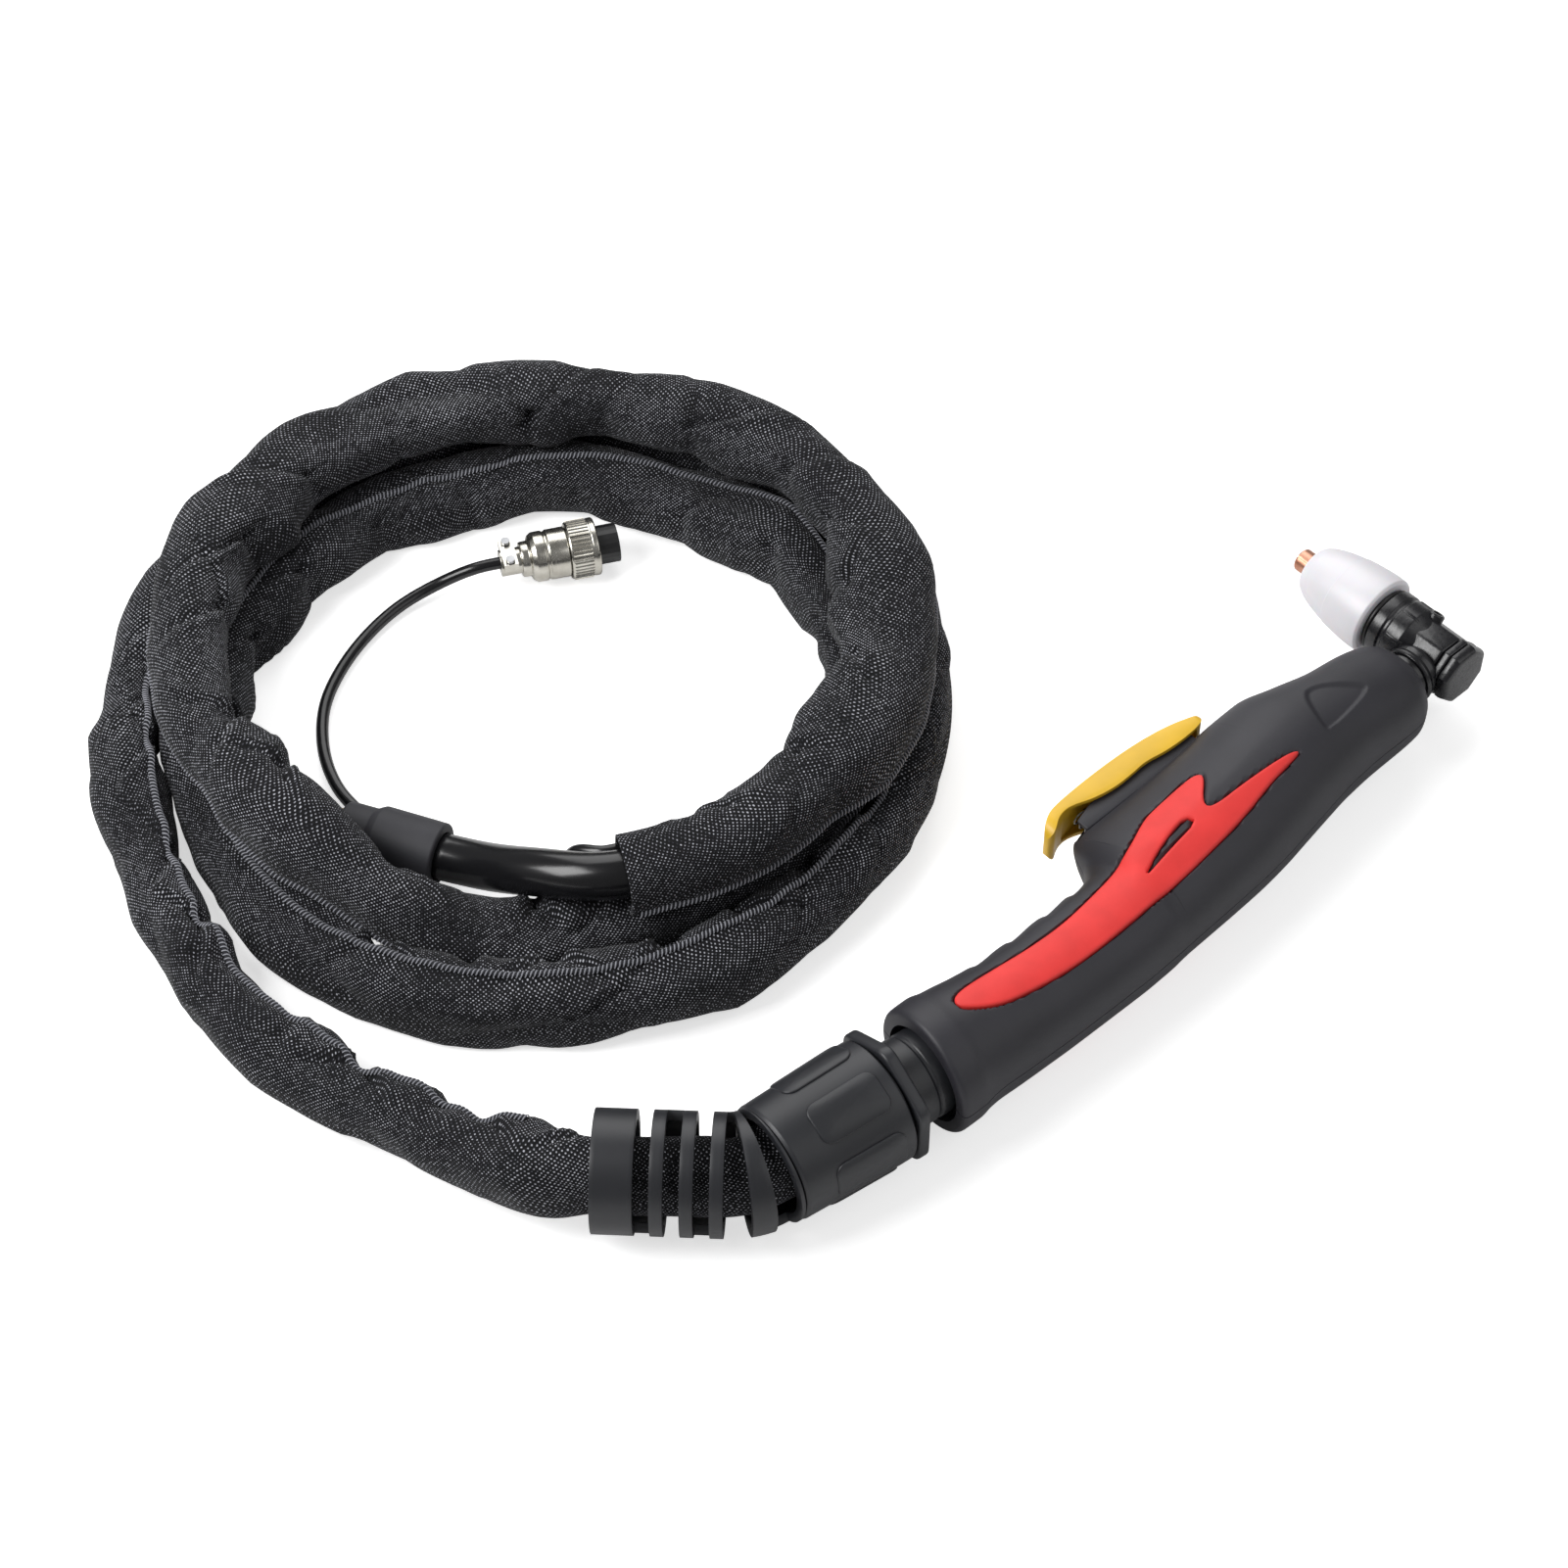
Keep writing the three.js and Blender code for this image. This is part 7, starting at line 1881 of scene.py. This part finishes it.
        border = along.index(SPIGOT_END)
        for row in range(rows):
            outside = SPIGOT if row < border else RELIEF_RADIUS
            for column in range(RELIEF_SIDES):
                if not filled(row, column):
                    continue
                corners = ((row, column), (row, column + 1), (row + 1, column + 1),
                           (row + 1, column))
                outer = [vertex(r, c, outside) for r, c in corners]
                inner = [vertex(r, c, RELIEF_BORE) for r, c in corners]
                bm.faces.new(outer)
                bm.faces.new(inner[::-1])
                beside = ((row - 1, column), (row, column + 1), (row + 1, column),
                          (row, column - 1))
                for i, (r, c) in enumerate(beside):
                    j = (i + 1) % 4
                    if not (0 <= r < rows and filled(r, c % RELIEF_SIDES)):
                        bm.faces.new((outer[i], inner[i], inner[j], outer[j]))
                if row == border:
                    bm.faces.new((outer[0], outer[1], vertex(row, column + 1, SPIGOT),
                                  vertex(row, column, SPIGOT)))
        bmesh.ops.recalc_face_normals(bm, faces=bm.faces)
        mesh = bpy.data.meshes.new("relief")
        bm.to_mesh(mesh)
        bm.free()
        mesh.transform(DRAWING)
        relief = bevelled(object_of("relief", mesh), 0.45, 50, 2)
        dressed(relief, "cable_support", "support", "bend_relief")


# ---- panel and run


class TORCH_PT_panel(bpy.types.Panel):
    """Lists the torch's pieces and their settings"""
    bl_idname = "TORCH_PT_panel"
    bl_label = "Torch"
    bl_space_type = "VIEW_3D"
    bl_region_type = "UI"
    bl_category = "Torch"

    def draw(self, context):
        layout = self.layout
        for settings in (context.scene.cable_settings, context.scene.torch_settings):
            box = layout.box()
            for name in settings.__annotations__:
                box.prop(settings, name)
        for operator in OPERATORS:
            layout.operator(operator.bl_idname)


OPERATORS = (
    TORCH_OT_stage, TORCH_OT_hose, TORCH_OT_lead, TORCH_OT_sleeve, TORCH_OT_support,
    TORCH_OT_handle, TORCH_OT_grip, TORCH_OT_trigger, TORCH_OT_head)
CLASSES = (CableSettings, TorchSettings) + OPERATORS + (TORCH_PT_panel,)


def register():
    for cls in CLASSES:
        bpy.utils.register_class(cls)
    bpy.types.Scene.cable_settings = bpy.props.PointerProperty(type=CableSettings)
    bpy.types.Scene.torch_settings = bpy.props.PointerProperty(type=TorchSettings)


def unregister():
    del bpy.types.Scene.torch_settings
    del bpy.types.Scene.cable_settings
    for cls in reversed(CLASSES):
        bpy.utils.unregister_class(cls)


def main():
    register()
    bpy.ops.torch.stage()
    bpy.ops.torch.hose()
    bpy.ops.torch.lead()
    bpy.ops.torch.sleeve()
    bpy.ops.torch.support()
    bpy.ops.torch.handle()
    bpy.ops.torch.grip()
    bpy.ops.torch.trigger()
    bpy.ops.torch.head()


if __name__ == "__main__":
    main()
